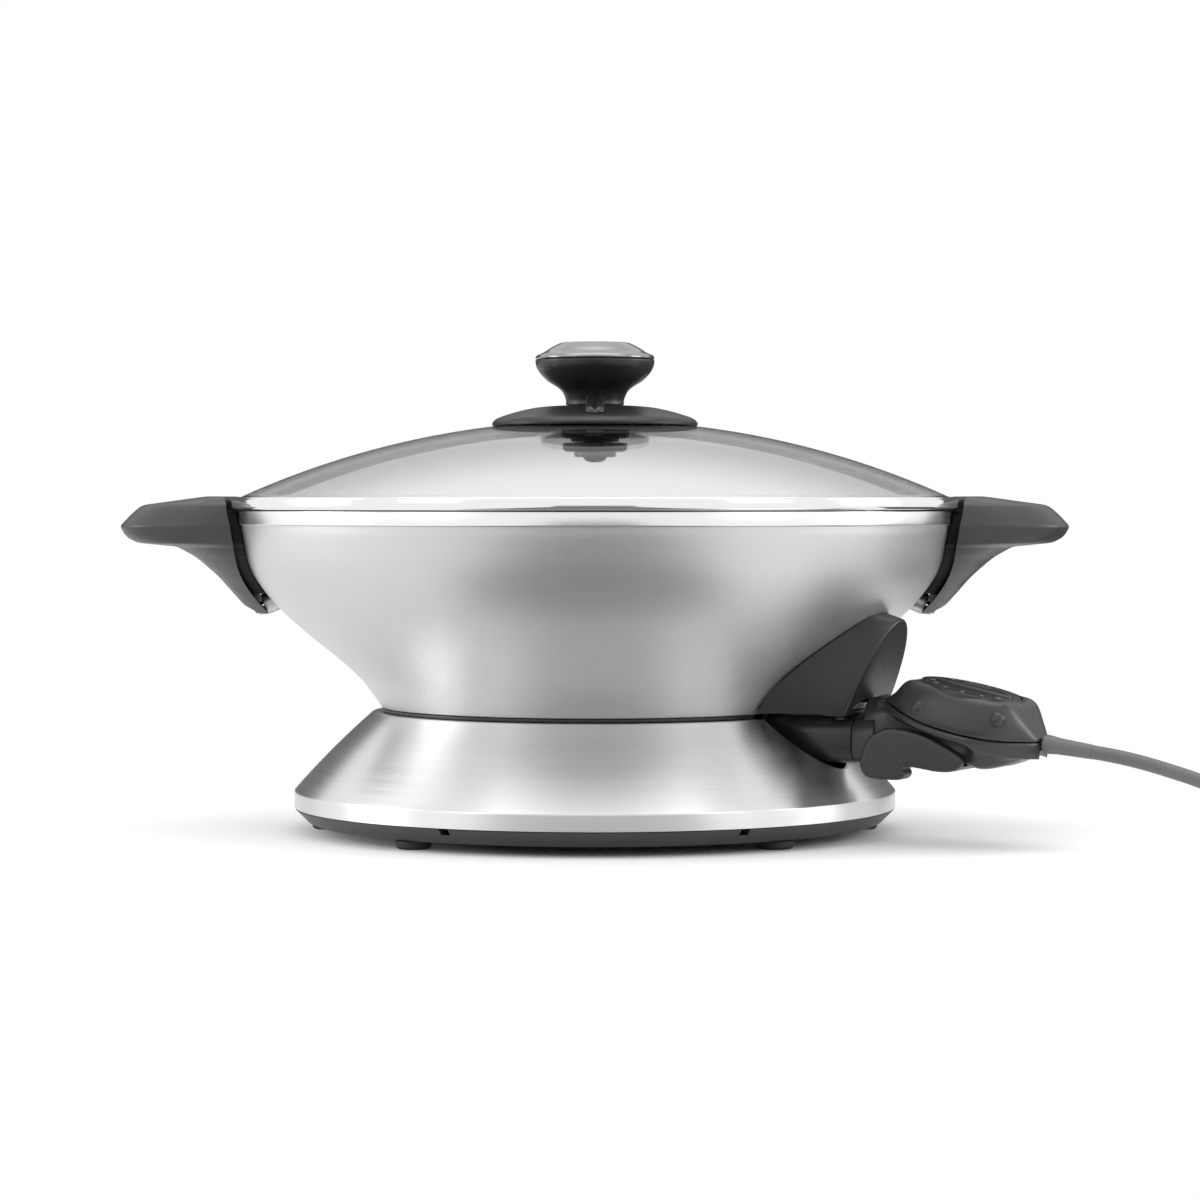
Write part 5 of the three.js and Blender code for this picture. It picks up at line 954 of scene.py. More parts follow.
FOOT_HEIGHT = 4.5
FOOT_CIRCLE = 133
FOOT_ANGLES = (0, 50, 130, 180, 230, 310)
SCREW_CIRCLE = 84
SCREW_ANGLES = (60, 180, 300)
TRAY_COLUMN_RADIUS = 5
BAND_BOTTOM_Z = 12.3
BAND_TOP_Z = 20.3
SKIRT_TOP_Z = 59.2
SKIRT_BULGE = 0.9
CRADLE_TOP_Z = 61.3
HUB_BOTTOM_Z = 42.7
HUB_INNER_RADIUS = 92
HUB_OUTER_RADIUS = 97.4
NOTCH_HALF_WIDTH = 28.5
NOTCH_DEPTH = 24.4
RECESS_Z = 14
TRAY_WALL = 2.6
# Angles of the two slots that show at the front of the tray's rim
SLOT_ANGLES = (-62, -118)
STUD_RADIUS = 7.5


def notch_form(margin):
    """The opening in stand and cradle for the socket, in the probe's frame."""
    half = NOTCH_HALF_WIDTH + margin
    outline = [(half, 4), (-half, 4)]
    for i in range(49):
        turn = math.pi + math.pi * i / 48
        outline.append((half * math.cos(turn), (NOTCH_DEPTH + margin) * math.sin(turn)))
    return loft([[(x, y, SKIRT_TOP_Z + z) for y, z in outline] for x in (86, 160)])


def skirt_form(sizes):
    """The sheet skirt: a band, a slightly bulged cone and a flange turned in at the top."""
    radius, top = sizes.stand_radius / MM, sizes.stand_top_radius / MM
    slope = Vector((top - radius, SKIRT_TOP_Z - BAND_TOP_Z))
    normal = Vector((slope.y, -slope.x)).normalized()
    foot = Vector((radius, BAND_TOP_Z))
    arc = [foot + slope * t + normal * SKIRT_BULGE * 4 * t * (1 - t) for t in (i / 16 for i in range(1, 16))]
    outer = [Vector((radius, BAND_BOTTOM_Z)), *soften([
        (radius, BAND_BOTTOM_Z), (radius, BAND_TOP_Z, 1.6), tuple(arc[0])], steps=5)[1:], *arc[1:],
        *soften([tuple(arc[-1]), (top, SKIRT_TOP_Z, 1.4), (top - 12, SKIRT_TOP_Z)], steps=5)[1:]]
    inner = moved(outer, -sizes.skirt_thickness / MM)[::-1]
    return revolve([*outer, *inner], 192, closed=True)


def tray_form(sizes):
    """The tray under the skirt, with a recess in its middle and columns for the screws."""
    rim_inner = sizes.stand_radius / MM - sizes.skirt_thickness / MM - 0.5
    rim_z = BAND_BOTTOM_Z - FIT_GAP
    shell = turned([
        (11.5, RECESS_Z), (58, RECESS_Z, 2), (62, FOOT_HEIGHT, 2), (142.6, FOOT_HEIGHT, 4), (149.6, rim_z - 0.5, 0.6),
        (149.2, rim_z, 0.3), (rim_inner, rim_z), (rim_inner, rim_z + 2), (rim_inner - 2.4, rim_z + 2),
        (140.2, FOOT_HEIGHT + TRAY_WALL, 2), (64.4, FOOT_HEIGHT + TRAY_WALL, 2), (60.4, RECESS_Z + TRAY_WALL, 2),
        (11.5, RECESS_Z + TRAY_WALL),
    ], 0.4, 192, closed=True)
    columns = [placed(bar(TRAY_COLUMN_RADIUS, FOOT_HEIGHT, HUB_BOTTOM_Z - FIT_GAP), upright(angle, SCREW_CIRCLE))
               for angle in SCREW_ANGLES]
    return combined(shell, *columns)


def put_feet():
    """The rubber feet, each with a ring groove underneath and a plug in the tray."""
    outline = [(0, 0), (7.3, 0), (8.5, 1.2), (8.5, FOOT_HEIGHT - FIT_GAP), (3.2, FOOT_HEIGHT - FIT_GAP),
               (3.2, 6.7), (0, 6.7)]
    groove = turned([(4.4, 0.7), (5.6, 0.7), (5.6, -1), (4.4, -1)], 0, 56, closed=True)
    for i, angle in enumerate(FOOT_ANGLES):
        foot = shape(f"rubber_foot_{i + 1}", turned(outline, 0.6, 56), upright(angle, FOOT_CIRCLE))
        cut(foot, groove)
        dress(foot, "base", finishes()["soft_rubber"], "soft_rubber", f"foot_{i + 1}")


class WOK_OT_stand(bpy.types.Operator):
    """Makes the steel skirt, the tray, the cradle ring, the feet and the stand's screws"""
    bl_idname = "wok.stand"
    bl_label = "Stand"

    def execute(self, context):
        sizes = context.scene.wok_sizes
        skirt = cut(shape("skirt", skirt_form(sizes)), notch_form(0), PROBE)
        dress(skirt, "base", finishes()["brushed_steel"], "brushed_steel", "base_skirt")
        tray = shape("tray", tray_form(sizes))
        for angle in SCREW_ANGLES:
            cut(tray, placed(bar(4.3, 0.5, 7.4, 0), upright(angle, SCREW_CIRCLE)))
        for angle in SLOT_ANGLES:
            turn = Matrix.Rotation(math.radians(angle), 4, "Z")
            cut(tray, placed(block((141.4, -2.5, 9), (150, 2.5, BAND_BOTTOM_Z), 0), turn))
        dress(tray, "base", finishes()["charcoal_plastic"], "charcoal_plastic", "base_tray")
        ring = turned([
            (HUB_INNER_RADIUS, HUB_BOTTOM_Z), (HUB_OUTER_RADIUS, HUB_BOTTOM_Z), (HUB_OUTER_RADIUS, 59.7, 1),
            (106.2, 59.7), (106.2, CRADLE_TOP_Z), (HUB_INNER_RADIUS, CRADLE_TOP_Z),
        ], 0.5, 192, closed=True)
        ears = []
        for angle in SCREW_ANGLES:
            ear = block((79, -5, HUB_BOTTOM_Z), (94.7, 5, HUB_BOTTOM_Z + 3.6), 0.6)
            ears.append(placed(ear, Matrix.Rotation(math.radians(angle), 4, "Z")))
        cradle = cut(shape("cradle", ring), notch_form(FIT_GAP), PROBE)
        for ear in ears:
            cut(cradle, ear, operation="UNION")
        dress(cradle, "base", finishes()["black_plastic"], "black_plastic", "cradle_ring")
        put_feet()
        for i, angle in enumerate(SCREW_ANGLES):
            put_screw(
                f"stand_screw_{i + 1}", head_radius=4, head_height=2.6, radius=2.1, low=FOOT_HEIGHT, high=45.7,
                body="base", node=f"tray_screw_{i + 1}", place=upright(angle, SCREW_CIRCLE))
        return {"FINISHED"}


class WOK_OT_lock(bpy.types.Operator):
    """Makes the collet, the stud and the knob that hold the bowl on the stand"""
    bl_idname = "wok.lock"
    bl_label = "Lock"

    def execute(self, context):
        flange = RECESS_Z + TRAY_WALL + FIT_GAP
        collet = shape("collet", turned([
            (8, 3.6), (14, 3.6), (14, 5.2), (11, 5.2), (11, flange), (18, flange), (18, flange + 2.5),
            (11, flange + 2.5), (11, 30), (8, 30),
        ], 0.5, 72, closed=True))
        cut(collet, block((-20, -1.2, flange + 2.5), (20, 1.2, 34), 0))
        dress(collet, "base", finishes()["black_plastic"], "black_plastic", "lock_collet")
        top, bottom, hub = RECESS_Z - 0.5, 5.7, 11.5
        knob = shape("lock_grip", turned([
            (hub, bottom), (hub + 2.6, bottom), (hub + 2.6, top - 2.4, 1), (37.4, top - 2.4, 1), (37.4, top - 5.4),
            (40, top - 5.4), (40, top), (hub, top),
        ], 0.7, 96, closed=True))
        for side in (-1, 1):
            ends = sorted((side * 12.8, side * 36))
            grip = block((ends[0], -2.5, bottom), (ends[1], 2.5, top - 1.2), 1.1)
            cut(knob, grip, operation="UNION")
        dress(knob, "lock", finishes()["charcoal_plastic"], "charcoal_plastic", "lock_knob")
        stud = turned([
            (0, 14.2), (6.3, 14.2), (STUD_RADIUS, 15.4), (STUD_RADIUS, 44.3), (11, 44.3), (11, 47.3), (3, 47.3),
            (3, 55.6), (0, 55.6),
        ], 0.5, 64)
        put_piece("stud", stud, "bowl", "polished_steel", "bowl_stud")
        return {"FINISHED"}


# Bowl

BOWL_FOOT_Z = 61.6
BOWL_UNDERSIDE_Z = 62.5
BOWL_FLOOR_Z = 69
LIP_BOTTOM_Z = 152.3
RIM_TOP_Z = 159.3
LIP_STEP = 1.2
WALL_SHARES = [
    (0, 0), (0.05, 0.06), (0.145, 0.157), (0.3, 0.27), (0.515, 0.409), (0.74, 0.577), (0.905, 0.76),
    (0.985, 0.94), (1, 1),
]
RING_RADIUS = 62
GROOVE_HALF = 3.8
RIDGE_BOTTOM_Z = 54.9
GROOVE_TOP_Z = 61.5
RIDGE_WALL = 3.6
COATING_TOP_Z = 157.2
# The bowl's finishes in the order of its faces' material indices
BOWL_FINISHES = ("satin_aluminium", "coating", "turned_lip")
BOSS_Z = 114.4
BOSS_TILT = math.radians(24)
# Bars on a boss's axis: radius, start, end and rounding
BOSS_BAR = (5.4, -1.8, 5.2, 0.7)
POCKET_BAR = (5.7, -4, 9.4, 0)
SINK_BAR = (4.3, 10.8, 21.4, 0)


def wall_outline(sizes, steps=6):
    """The measured line of the bowl's outside, from foot to lip."""
    foot = sizes.bowl_foot_radius / MM
    top = sizes.lip_radius / MM - LIP_STEP
    coarse = from_shares(WALL_SHARES, foot, top - foot, BOWL_FOOT_Z, LIP_BOTTOM_Z - BOWL_FOOT_Z)
    return spline(coarse, steps) if steps else coarse


def bowl_form(sizes):
    """The casting: hub, ridge and hanger ring underneath, wall, lip and inside."""
    foot, lip = sizes.bowl_foot_radius / MM, sizes.lip_radius / MM
    wall = wall_outline(sizes)
    coarse = [point for point in moved(wall_outline(sizes, 0), -sizes.bowl_wall / MM) if point[1] > 79.5]
    inner = spline([*reversed(coarse), (foot * 1.02, 75.8), (foot * 0.85, 71.45), (foot * 0.55, 69.6),
                    (foot * 0.25, 69.1), (0, BOWL_FLOOR_Z)], 6)
    groove_in, groove_out = RING_RADIUS - GROOVE_HALF, RING_RADIUS + GROOVE_HALF
    under = [
        (0, 55.9), (3.3, 55.9), (3.3, 47.6), (12, 47.6), (12, BOWL_UNDERSIDE_Z, 2),
        (groove_in - RIDGE_WALL, BOWL_UNDERSIDE_Z, 2), (groove_in - RIDGE_WALL, RIDGE_BOTTOM_Z),
        (groove_in, RIDGE_BOTTOM_Z), (groove_in, GROOVE_TOP_Z), (groove_out, GROOVE_TOP_Z),
        (groove_out, RIDGE_BOTTOM_Z), (groove_out + RIDGE_WALL, RIDGE_BOTTOM_Z),
        (groove_out + RIDGE_WALL, BOWL_UNDERSIDE_Z, 2), (87.5, BOWL_UNDERSIDE_Z, 1.5),
        (87.5, 47), (91.2, 47), (91.2, BOWL_UNDERSIDE_Z, 1.5), (foot - 5, BOWL_UNDERSIDE_Z),
        (foot - 5, BOWL_FOOT_Z), (foot, BOWL_FOOT_Z, 1.4), tuple(wall[1]),
    ]
    rim = [
        tuple(wall[-1]), (lip, LIP_BOTTOM_Z + 0.5, 0.4), (lip, RIM_TOP_Z - 0.1, 1.4), (lip - 0.6, RIM_TOP_Z, 0.4),
        (175.6, RIM_TOP_Z, 1), tuple(inner[0]),
    ]
    outline = [*soften(under, 0.7, 3)[:-1], *wall[1:-1], *soften(rim, 0.6, 4), *inner[1:]]
    return revolve(outline, 192)


def handle_bar(sizes, radius, low, high, edge=0.4):
    """A bar that leaves the bowl's wall outwards and down at the right-hand handle's foot."""
    start = crossing(wall_outline(sizes, 0), BOSS_Z)
    turn = Matrix.Rotation(math.pi / 2 + BOSS_TILT, 4, "Y")
    return placed(bar(radius, low, high, edge), shifted(start, 0, BOSS_Z) @ turn)


HALF_TURN = Matrix.Rotation(math.pi, 4, "Z")


def add_finishes(made, names):
    """Puts finishes on an object, in order."""
    for name in names:
        made.data.materials.append(finishes()[name])


def form_of(made):
    """An object's own mesh as a form."""
    return [vertex.co.copy() for vertex in made.data.vertices], [list(face.vertices) for face in made.data.polygons]


class WOK_OT_bowl(bpy.types.Operator):
    """Makes the cast bowl with its ridge, its well, its tongue and its bosses"""
    bl_idname = "wok.bowl"
    bl_label = "Bowl"

    def execute(self, context):
        sizes = context.scene.wok_sizes
        bowl = shape("bowl_casting", bowl_form(sizes))
        add_finishes(bowl, BOWL_FINISHES)
        for face in bowl.data.polygons:
            middle = face.center
            radial = Vector((middle.x, middle.y, 0))
            inward = face.normal.dot(radial) < 0 or face.normal.z > 0.5
            if inward and (BOWL_FLOOR_Z - 0.2) * MM < middle.z < COATING_TOP_Z * MM:
                face.material_index = BOWL_FINISHES.index("coating")
            elif middle.z > (LIP_BOTTOM_Z + 0.2) * MM:
                face.material_index = BOWL_FINISHES.index("turned_lip")
        # The ways for the element's ends through the ridge and the hanger ring
        ring_outer = RING_RADIUS + GROOVE_HALF + RIDGE_WALL
        cut(bowl, block((59, -22, 50.9), (ring_outer + 0.3, 22, GROOVE_TOP_Z), 0), PROBE)
        cut(bowl, block((83.5, -14, 43), (91.5, 14, GROOVE_TOP_Z), 0), PROBE)
        # The sensor's well, the tongue that carries the socket, and the handles' bosses
        extras = shape("bowl_extras", combined(
            placed(block((71, -4, 50.1), (83, 4, 68.1), 0.8), PROBE),
            placed(block((101.6, -20, 64.5), (147, 20, 67.3), 0.6), PROBE),
            handle_bar(sizes, *BOSS_BAR),
            placed(handle_bar(sizes, *BOSS_BAR), HALF_TURN),
        ))
        add_finishes(extras, BOWL_FINISHES[:1])
        cut(extras, placed(bar(ROD_BORE, 74.7, 87, 0), laid(0, ROD_Z)), PROBE)
        indices = [face.material_index for face in bowl.data.polygons] + [0] * len(extras.data.polygons)
        casting = shape("casting", combined(form_of(bowl), form_of(extras)))
        add_finishes(casting, BOWL_FINISHES)
        if len(casting.data.polygons) == len(indices):
            casting.data.polygons.foreach_set("material_index", indices)
        casting.data.shade_smooth()
        casting.data.set_sharp_from_angle(angle=math.radians(32))
        for made in (bowl, extras):
            bpy.data.objects.remove(made)
        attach(casting, "bowl")
        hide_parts("wok_bowl")
        return {"FINISHED"}


class WOK_OT_heating(bpy.types.Operator):
    """Makes the heating tube and its two terminal pins"""
    bl_idname = "wok.heating"
    bl_label = "Heating element"

    def execute(self, context):
        opening, steps, level = 17, 48, 58.2
        # The ring, open by twice the opening's degrees towards the socket
        ring = []
        for i in range(steps + 1):
            turn = math.radians(opening + (360 - 2 * opening) * i / steps)
            ring.append(Vector((RING_RADIUS * math.cos(turn), RING_RADIUS * math.sin(turn), level)))
        # The ramp from a terminal pin up to the ring: shares of the way along and up
        end = Vector((93, PIN_SPREAD, PIN_Z))
        ramp = []
        for along, climb in ((0, 0), (0.18, 0), (0.39, 0.1), (0.59, 0.42), (0.8, 0.76)):
            point = end.lerp(ring[0], climb)
            point.x = end.x + (ring[0].x - end.x) * along
            ramp.append(point)
        route = [*ramp, *ring, *(Vector((p.x, -p.y, p.z)) for p in reversed(ramp))]
        tube = tube_curve("heating_tube", route, 3)
        tube.matrix_world = PROBE
        dress(tube, "bowl", finishes()["sheath_metal"], "sheath_metal", "heating_element")
        for side, name in ((-1, "right"), (1, "left")):
            pin = bar(2.1, 93.3, 130, 1.2)
            put_piece(
                f"pin_{name}", placed(pin, laid(side * PIN_SPREAD, PIN_Z)), "bowl", "polished_steel",
                f"terminal_pin_{name}", place=PROBE)
        return {"FINISHED"}


# Handles

HANDLE_CENTRE = 150
# Height, reach from the wok's axis, half width and squareness of level slices of a handle
HANDLE_SLICES = [
    (107.6, 169.8, 6, 2), (112, 175.4, 16, 2), (118.2, 180.8, 26, 2.2), (126.6, 187.8, 38, 2.4),
    (136.1, 198.4, 48, 2.6), (141.4, 207.6, 51, 3), (143.4, 227, 52, 3.6), (146.4, 232.7, 53, 3.6),
    (151.6, 235.4, 54.5, 3.6), (157.4, 230.2, 53, 3.4), (162, 225, 51.5, 3.2), (164, 210, 50.5, 3),
    (166.3, 194, 50, 2.8),
]
# How far each slice's corner is rounded along the handle's height
HANDLE_ROUNDING = [0, 4, 5, 6, 5, 2.5, 2.5, 4, 1.5, 4, 3, 2.5, 0]
HANDLE_EDGE = 1.6
HANDLE_CORNER = 1.4
HANDLE_FRONT_STEPS = 40
HANDLE_BACK_STEPS = 16
PAD_THICKNESS = 5.4
PAD_LOW_Z = 118
PAD_TOP_Z = 158.6
PAD_INSET = 3
PAD_EDGE = 0.8


def inner_radius(sizes, z, margin):
    """Radius of the bowl's outer form at a height, with a margin."""
    line = [tuple(point) for point in moved(wall_outline(sizes), margin)]
    top = (sizes.lip_radius / MM + margin, LIP_BOTTOM_Z + margin)
    return crossing([*line, top, (top[0], 400)], z)


def handle_ring(slice_, inset, inner, outer=None):
    """A level ring of a handle: round its tip, or along an outer radius, and back along the bowl."""
    z, reach, half_width, squareness = slice_
    count = HANDLE_FRONT_STEPS

    def edge(turn):
        x = HANDLE_CENTRE + (reach - inset - HANDLE_CENTRE) * rounded(math.cos(turn), squareness)
        return Vector((x, (half_width - inset) * rounded(math.sin(turn), squareness)))

    low, high = 0.0, math.pi / 2
    limit = inner if outer is None else outer
    # Halving finds the turn at which the tip's line meets the bowl's side
    for _ in range(30):
        middle = (low + high) / 2
        low, high = (middle, high) if edge(middle).length > limit else (low, middle)
    end = edge(low)
    spread = math.atan2(end.y, end.x)
    if outer is None:
        front = [edge(low * math.sin(math.pi / 2 * (2 * i / count - 1))) for i in range(count + 1)]
    else:
        front = [Vector((outer * math.cos(a), outer * math.sin(a)))
                 for a in (spread * (2 * i / count - 1) for i in range(count + 1))]
    back = [Vector((inner * math.cos(a), inner * math.sin(a)))
            for a in (spread * (1 - 2 * i / HANDLE_BACK_STEPS) for i in range(HANDLE_BACK_STEPS + 1))]
    if outer is None:
        back = back[1:-1]
        corners = {0, count}
    else:
        corners = {0, count, count + 1, count + HANDLE_BACK_STEPS + 1}
    ring = [(p.x, p.y, HANDLE_CORNER if i in corners else 0) for i, p in enumerate([*front, *back])]
    return [(p.x, p.y, z) for p in soften(ring, steps=4, closed=True)]


def handle_squareness(z):
    """How square a handle's level slice is at a height."""
    return crossing([(squareness, up) for up, _, _, squareness in HANDLE_SLICES], z)


def handle_rows(low, high, edge):
    """Slices of a handle close together, with an inset that rounds both ends."""
    knots = [(*slice_[:3], size) for slice_, size in zip(HANDLE_SLICES, HANDLE_ROUNDING)]
    line = []
    for i, (z, reach, half_width, size) in enumerate(knots):
        here = Vector((z, reach, half_width))
        if not size:
            line.append(here)
            continue
        back, on = Vector(knots[i - 1][:3]) - here, Vector(knots[i + 1][:3]) - here
        start = here + back.normalized() * min(size, 0.45 * back.length)
        end = here + on.normalized() * min(size, 0.45 * on.length)
        for t in (step / 6 for step in range(7)):
            line.append(start * (1 - t) ** 2 + here * 2 * t * (1 - t) + end * t * t)
    dense = []
    for a, b in zip(line, line[1:]):
        count = max(1, math.ceil((b - a).length / 3))
        dense += [a.lerp(b, i / count) for i in range(count)]
    dense.append(line[-1])

    def at(z):
        for a, b in zip(dense, dense[1:]):
            if a[0] <= z <= b[0] + 1e-6:
                return a.lerp(b, (z - a[0]) / max(b[0] - a[0], 1e-6))
        raise ValueError(f"no slice at {z}")

    turns = [math.pi / 2 * i / 6 for i in range(7)]
    ends = [(at(low + edge * (1 - math.cos(turn))), edge * (1 - math.sin(turn))) for turn in turns]
    middle = [(row, 0) for row in dense if low + edge < row[0] < high - edge]
    tops = [(at(high - edge + edge * math.sin(turn)), edge * (1 - math.cos(turn))) for turn in turns]
    return [((*row, handle_squareness(row[0])), inset) for row, inset in [*ends, *middle, *tops]]


def handle_form(sizes):
    """The right-hand handle, hollowed on its inside to the pad's outer face."""
    rings = []
    for row, inset in handle_rows(HANDLE_SLICES[0][0], HANDLE_SLICES[-1][0], HANDLE_EDGE):
        inner = inner_radius(sizes, row[0], PAD_THICKNESS + 2 * FIT_GAP) + inset
        rings.append(handle_ring(row, inset, inner))
    return loft(rings)


def pad_form(sizes):
    """The pad between the right-hand handle and the bowl."""
    rings = []
    for row, inset in handle_rows(PAD_LOW_Z, PAD_TOP_Z, PAD_EDGE):
        inner = inner_radius(sizes, row[0], FIT_GAP) + inset
        outer = inner_radius(sizes, row[0], PAD_THICKNESS + FIT_GAP) - inset
        rings.append(handle_ring(row, PAD_INSET + inset, inner, outer))
    return loft(rings)


class WOK_OT_handles(bpy.types.Operator):
    """Makes the two handles with their pads and screws"""
    bl_idname = "wok.handles"
    bl_label = "Handles"

    def execute(self, context):
        sizes = context.scene.wok_sizes
        form, pad = handle_form(sizes), pad_form(sizes)
        sink, pocket = handle_bar(sizes, *SINK_BAR), handle_bar(sizes, *POCKET_BAR)
        screw_start = crossing(wall_outline(sizes, 0), BOSS_Z)
        axis = shifted(screw_start, 0, BOSS_Z) @ Matrix.Rotation(BOSS_TILT - math.pi / 2, 4, "Y")
        for name, side in (("right", Matrix()), ("left", HALF_TURN)):
            handle = cut(shape(f"grip_{name}", form, side), sink, side)
            dress(handle, "bowl", finishes()["charcoal_plastic"], "charcoal_plastic", f"handle_{name}")
            cushion = cut(shape(f"pad_{name}", pad, side), pocket, side)
            # The pads take the darkest plastic: painted shade between handle and bowl
            dress(cushion, "bowl", finishes()["pad_plastic"], "black_plastic", f"handle_pad_{name}")
            put_screw(
                f"grip_screw_{name}", head_radius=4, head_height=1.4, radius=2.1, low=-10.3, high=1.2,
                body="bowl", node=f"handle_screw_{name}", place=side @ axis)
        return {"FINISHED"}


# Socket

GUARD_HALF_WIDTH = 13.4
GUARD_HALF_HEIGHT = 11.6
SECTION_SQUARENESS = 3.2
# Place and inset of the duct's rings, round its open end and back inside
DUCT_RINGS = [
    (99, 1.2), (99.3, 0.4), (100, 0), (144.9, 0), (145.4, 0.2), (145.6, 0.7), (145.4, 1.3), (144.9, 1.5), (102, 1.5),
]
HOOD_STEPS = 56
HOOD_BOTTOM_Z = 62.5
HOOD_WALL = 2.2
HOOD_LEAN = 0.43
HOOD_FACE_X = 147.64
HOOD_SQUARENESS = 2.5
# Half width and height of the hood's line on the bowl, of its face, and of the hollow under the face
HOOD_ROOT = (31.5, 47.9)
HOOD_FACE = (24.8, 44.9)
HOOD_HOLLOW = (20, 7.1)
HOOD_SCREW_Y = 16.2
WEB_X = 141.6
WEB_LOW_Z = 67.6
WEB_HALF = 1.1


def duct_ring(x, inset, half_width=GUARD_HALF_WIDTH, half_height=GUARD_HALF_HEIGHT):
    """A ring across the socket's axis."""
    return section(x, half_width - inset, half_height - inset, SOCKET_Z, SECTION_SQUARENESS)


def guard_form():
    """The duct that takes the probe's nose, open towards the probe."""
    lug = block((134, -20.4, 61.3), (145.1, 20.4, 63.8), 0.7)
    return combined(loft([duct_ring(x, inset) for x, inset in DUCT_RINGS]), lug)


def hood_form(wall):
    """The hood as one wall bent over the socket: a side run from the bowl and a leaning face."""
    loops = []
    for i in range(HOOD_STEPS + 1):
        turn = math.pi * i / HOOD_STEPS
        across, up = math.cos(turn), max(math.sin(turn), 0)

        def on_face(inset, half_width, height):
            y, rise = half_width * across, height * up
            return Vector((HOOD_FACE_X - inset + HOOD_LEAN * rise, y, HOOD_BOTTOM_Z + rise))

        def face(inset):
            return on_face(inset, HOOD_FACE[0] - inset, HOOD_FACE[1] - inset)

        def root(inset, run):
            y = (HOOD_ROOT[0] - inset) * rounded(across, HOOD_SQUARENESS)
            z = HOOD_BOTTOM_Z + (HOOD_ROOT[1] - inset) * rounded(up, HOOD_SQUARENESS)
            x = math.sqrt(crossing(wall, z) ** 2 - y ** 2)
            return Vector((x, y, z)).lerp(face(inset), run)

        outside = soften(
            [root(0, 0.045), root(0, 0.35), root(0, 0.7), face(0), on_face(0, *HOOD_HOLLOW)], 1.7, 5)
        inside = soften([on_face(HOOD_WALL, *HOOD_HOLLOW), face(HOOD_WALL), root(HOOD_WALL, 0.06)], 1, 3)
        loops.append([*outside, *inside])
    shell = loft(loops)
    web = block((WEB_X - WEB_HALF, -23, WEB_LOW_Z), (WEB_X + WEB_HALF, 23, WEB_LOW_Z + 17), 0.4)
    bosses = [placed(bar(3.6, WEB_LOW_Z, WEB_LOW_Z + 15), shifted(WEB_X, side * HOOD_SCREW_Y, 0))
              for side in (-1, 1)]
    return combined(shell, web, *bosses)


class WOK_OT_socket(bpy.types.Operator):
    """Makes the duct for the probe, the hood over it and their screws"""
    bl_idname = "wok.socket"
    bl_label = "Socket and hood"

    def execute(self, context):
        sizes = context.scene.wok_sizes
        put_piece(
            "duct", guard_form(), "bowl", "charcoal_plastic", "socket_guard", finish="hood_plastic", place=PROBE)
        wall = [tuple(point) for point in wall_outline(sizes)]
        put_piece(
            "hood", hood_form(wall), "bowl", "charcoal_plastic", "probe_hood", finish="hood_plastic", place=PROBE,
            sharp=40)
        for side, name in ((-1, "right"), (1, "left")):
            # The hood's screws take the nearly black steel: painted shade under the hood
            put_screw(
                f"hood_fixing_{name}", head_radius=3.2, head_height=1.4, radius=1.6, low=59.4, high=77.3,
                body="bowl", node=f"hood_screw_{name}", place=PROBE @ shifted(WEB_X, side * HOOD_SCREW_Y, 0),
                finish="dark_steel")
        return {"FINISHED"}


# Lid

GLASS_APEX_Z = 204.2
GLASS_EDGE_RADIUS = 176.8
GLASS_BORE_RADIUS = 12.4
LID_RIM_TOP_Z = 166
LID_RIM_LIP = 4.4
COLLAR_RADIUS = 51.3
COLLAR_TOP_Z = 211.4
COLLAR_BORE_RADIUS = 5.9
# The collar's dome as shares of its radius and height
COLLAR_SHARES = [(1, 0.1), (0.95, 0.3), (0.85, 0.51), (0.73, 0.71), (0.56, 0.91), (0.36, 1)]
SEAL_THICKNESS = 1.6
BUSH_RADIUS = 12
BUSH_Z = 194.2
NUT_BORE_RADIUS = 12.3
NUT_RADIUS = 17


def glass_z(sizes, radius, depth=0):
    """Height of the glass at a radius, at a depth under its top."""
    dome = sizes.glass_dome_radius / MM
    return GLASS_APEX_Z - dome + math.sqrt((dome - depth) ** 2 - radius ** 2)


def along_glass(sizes, start, end, depth, steps):
    """Points on the glass from one radius to another."""
    return [(r, glass_z(sizes, r, depth)) for r in (start + (end - start) * i / steps for i in range(steps + 1))]


class WOK_OT_lid(bpy.types.Operator):
    """Makes the glass dome and its steel rim"""
    bl_idname = "wok.lid"
    bl_label = "Lid"

    def execute(self, context):
        sizes = context.scene.wok_sizes
        thickness = sizes.glass_thickness / MM
        under = along_glass(sizes, GLASS_BORE_RADIUS, GLASS_EDGE_RADIUS, thickness, 48)
        top = along_glass(sizes, GLASS_EDGE_RADIUS, GLASS_BORE_RADIUS, 0, 48)
        outline = soften([*under[:-1], (*under[-1], 0.8), (*top[0], 1.2), *top[1:]], steps=4, closed=True)
        put_piece("glass", revolve(outline, 192, closed=True), "lid", "clear_glass", "lid_glass", sharp=60)
        seat, inner = GLASS_EDGE_RADIUS + FIT_GAP, GLASS_EDGE_RADIUS - LID_RIM_LIP
        low, outer = RIM_TOP_Z + 0.5, sizes.rim_radius / MM
        rim = turned([
            (inner, low - 5), (inner + 1.6, low - 5), (inner + 1.6, low, 0.4), (outer, low, 1.5),
            (outer, LID_RIM_TOP_Z, 1.8), (seat, LID_RIM_TOP_Z), (seat, glass_z(sizes, seat, thickness) - FIT_GAP),
            (inner, glass_z(sizes, inner, thickness) - FIT_GAP),
        ], 0.4, 192, closed=True, steps=5)
        put_piece("rim", rim, "lid", "polished_steel", "lid_rim")
        return {"FINISHED"}


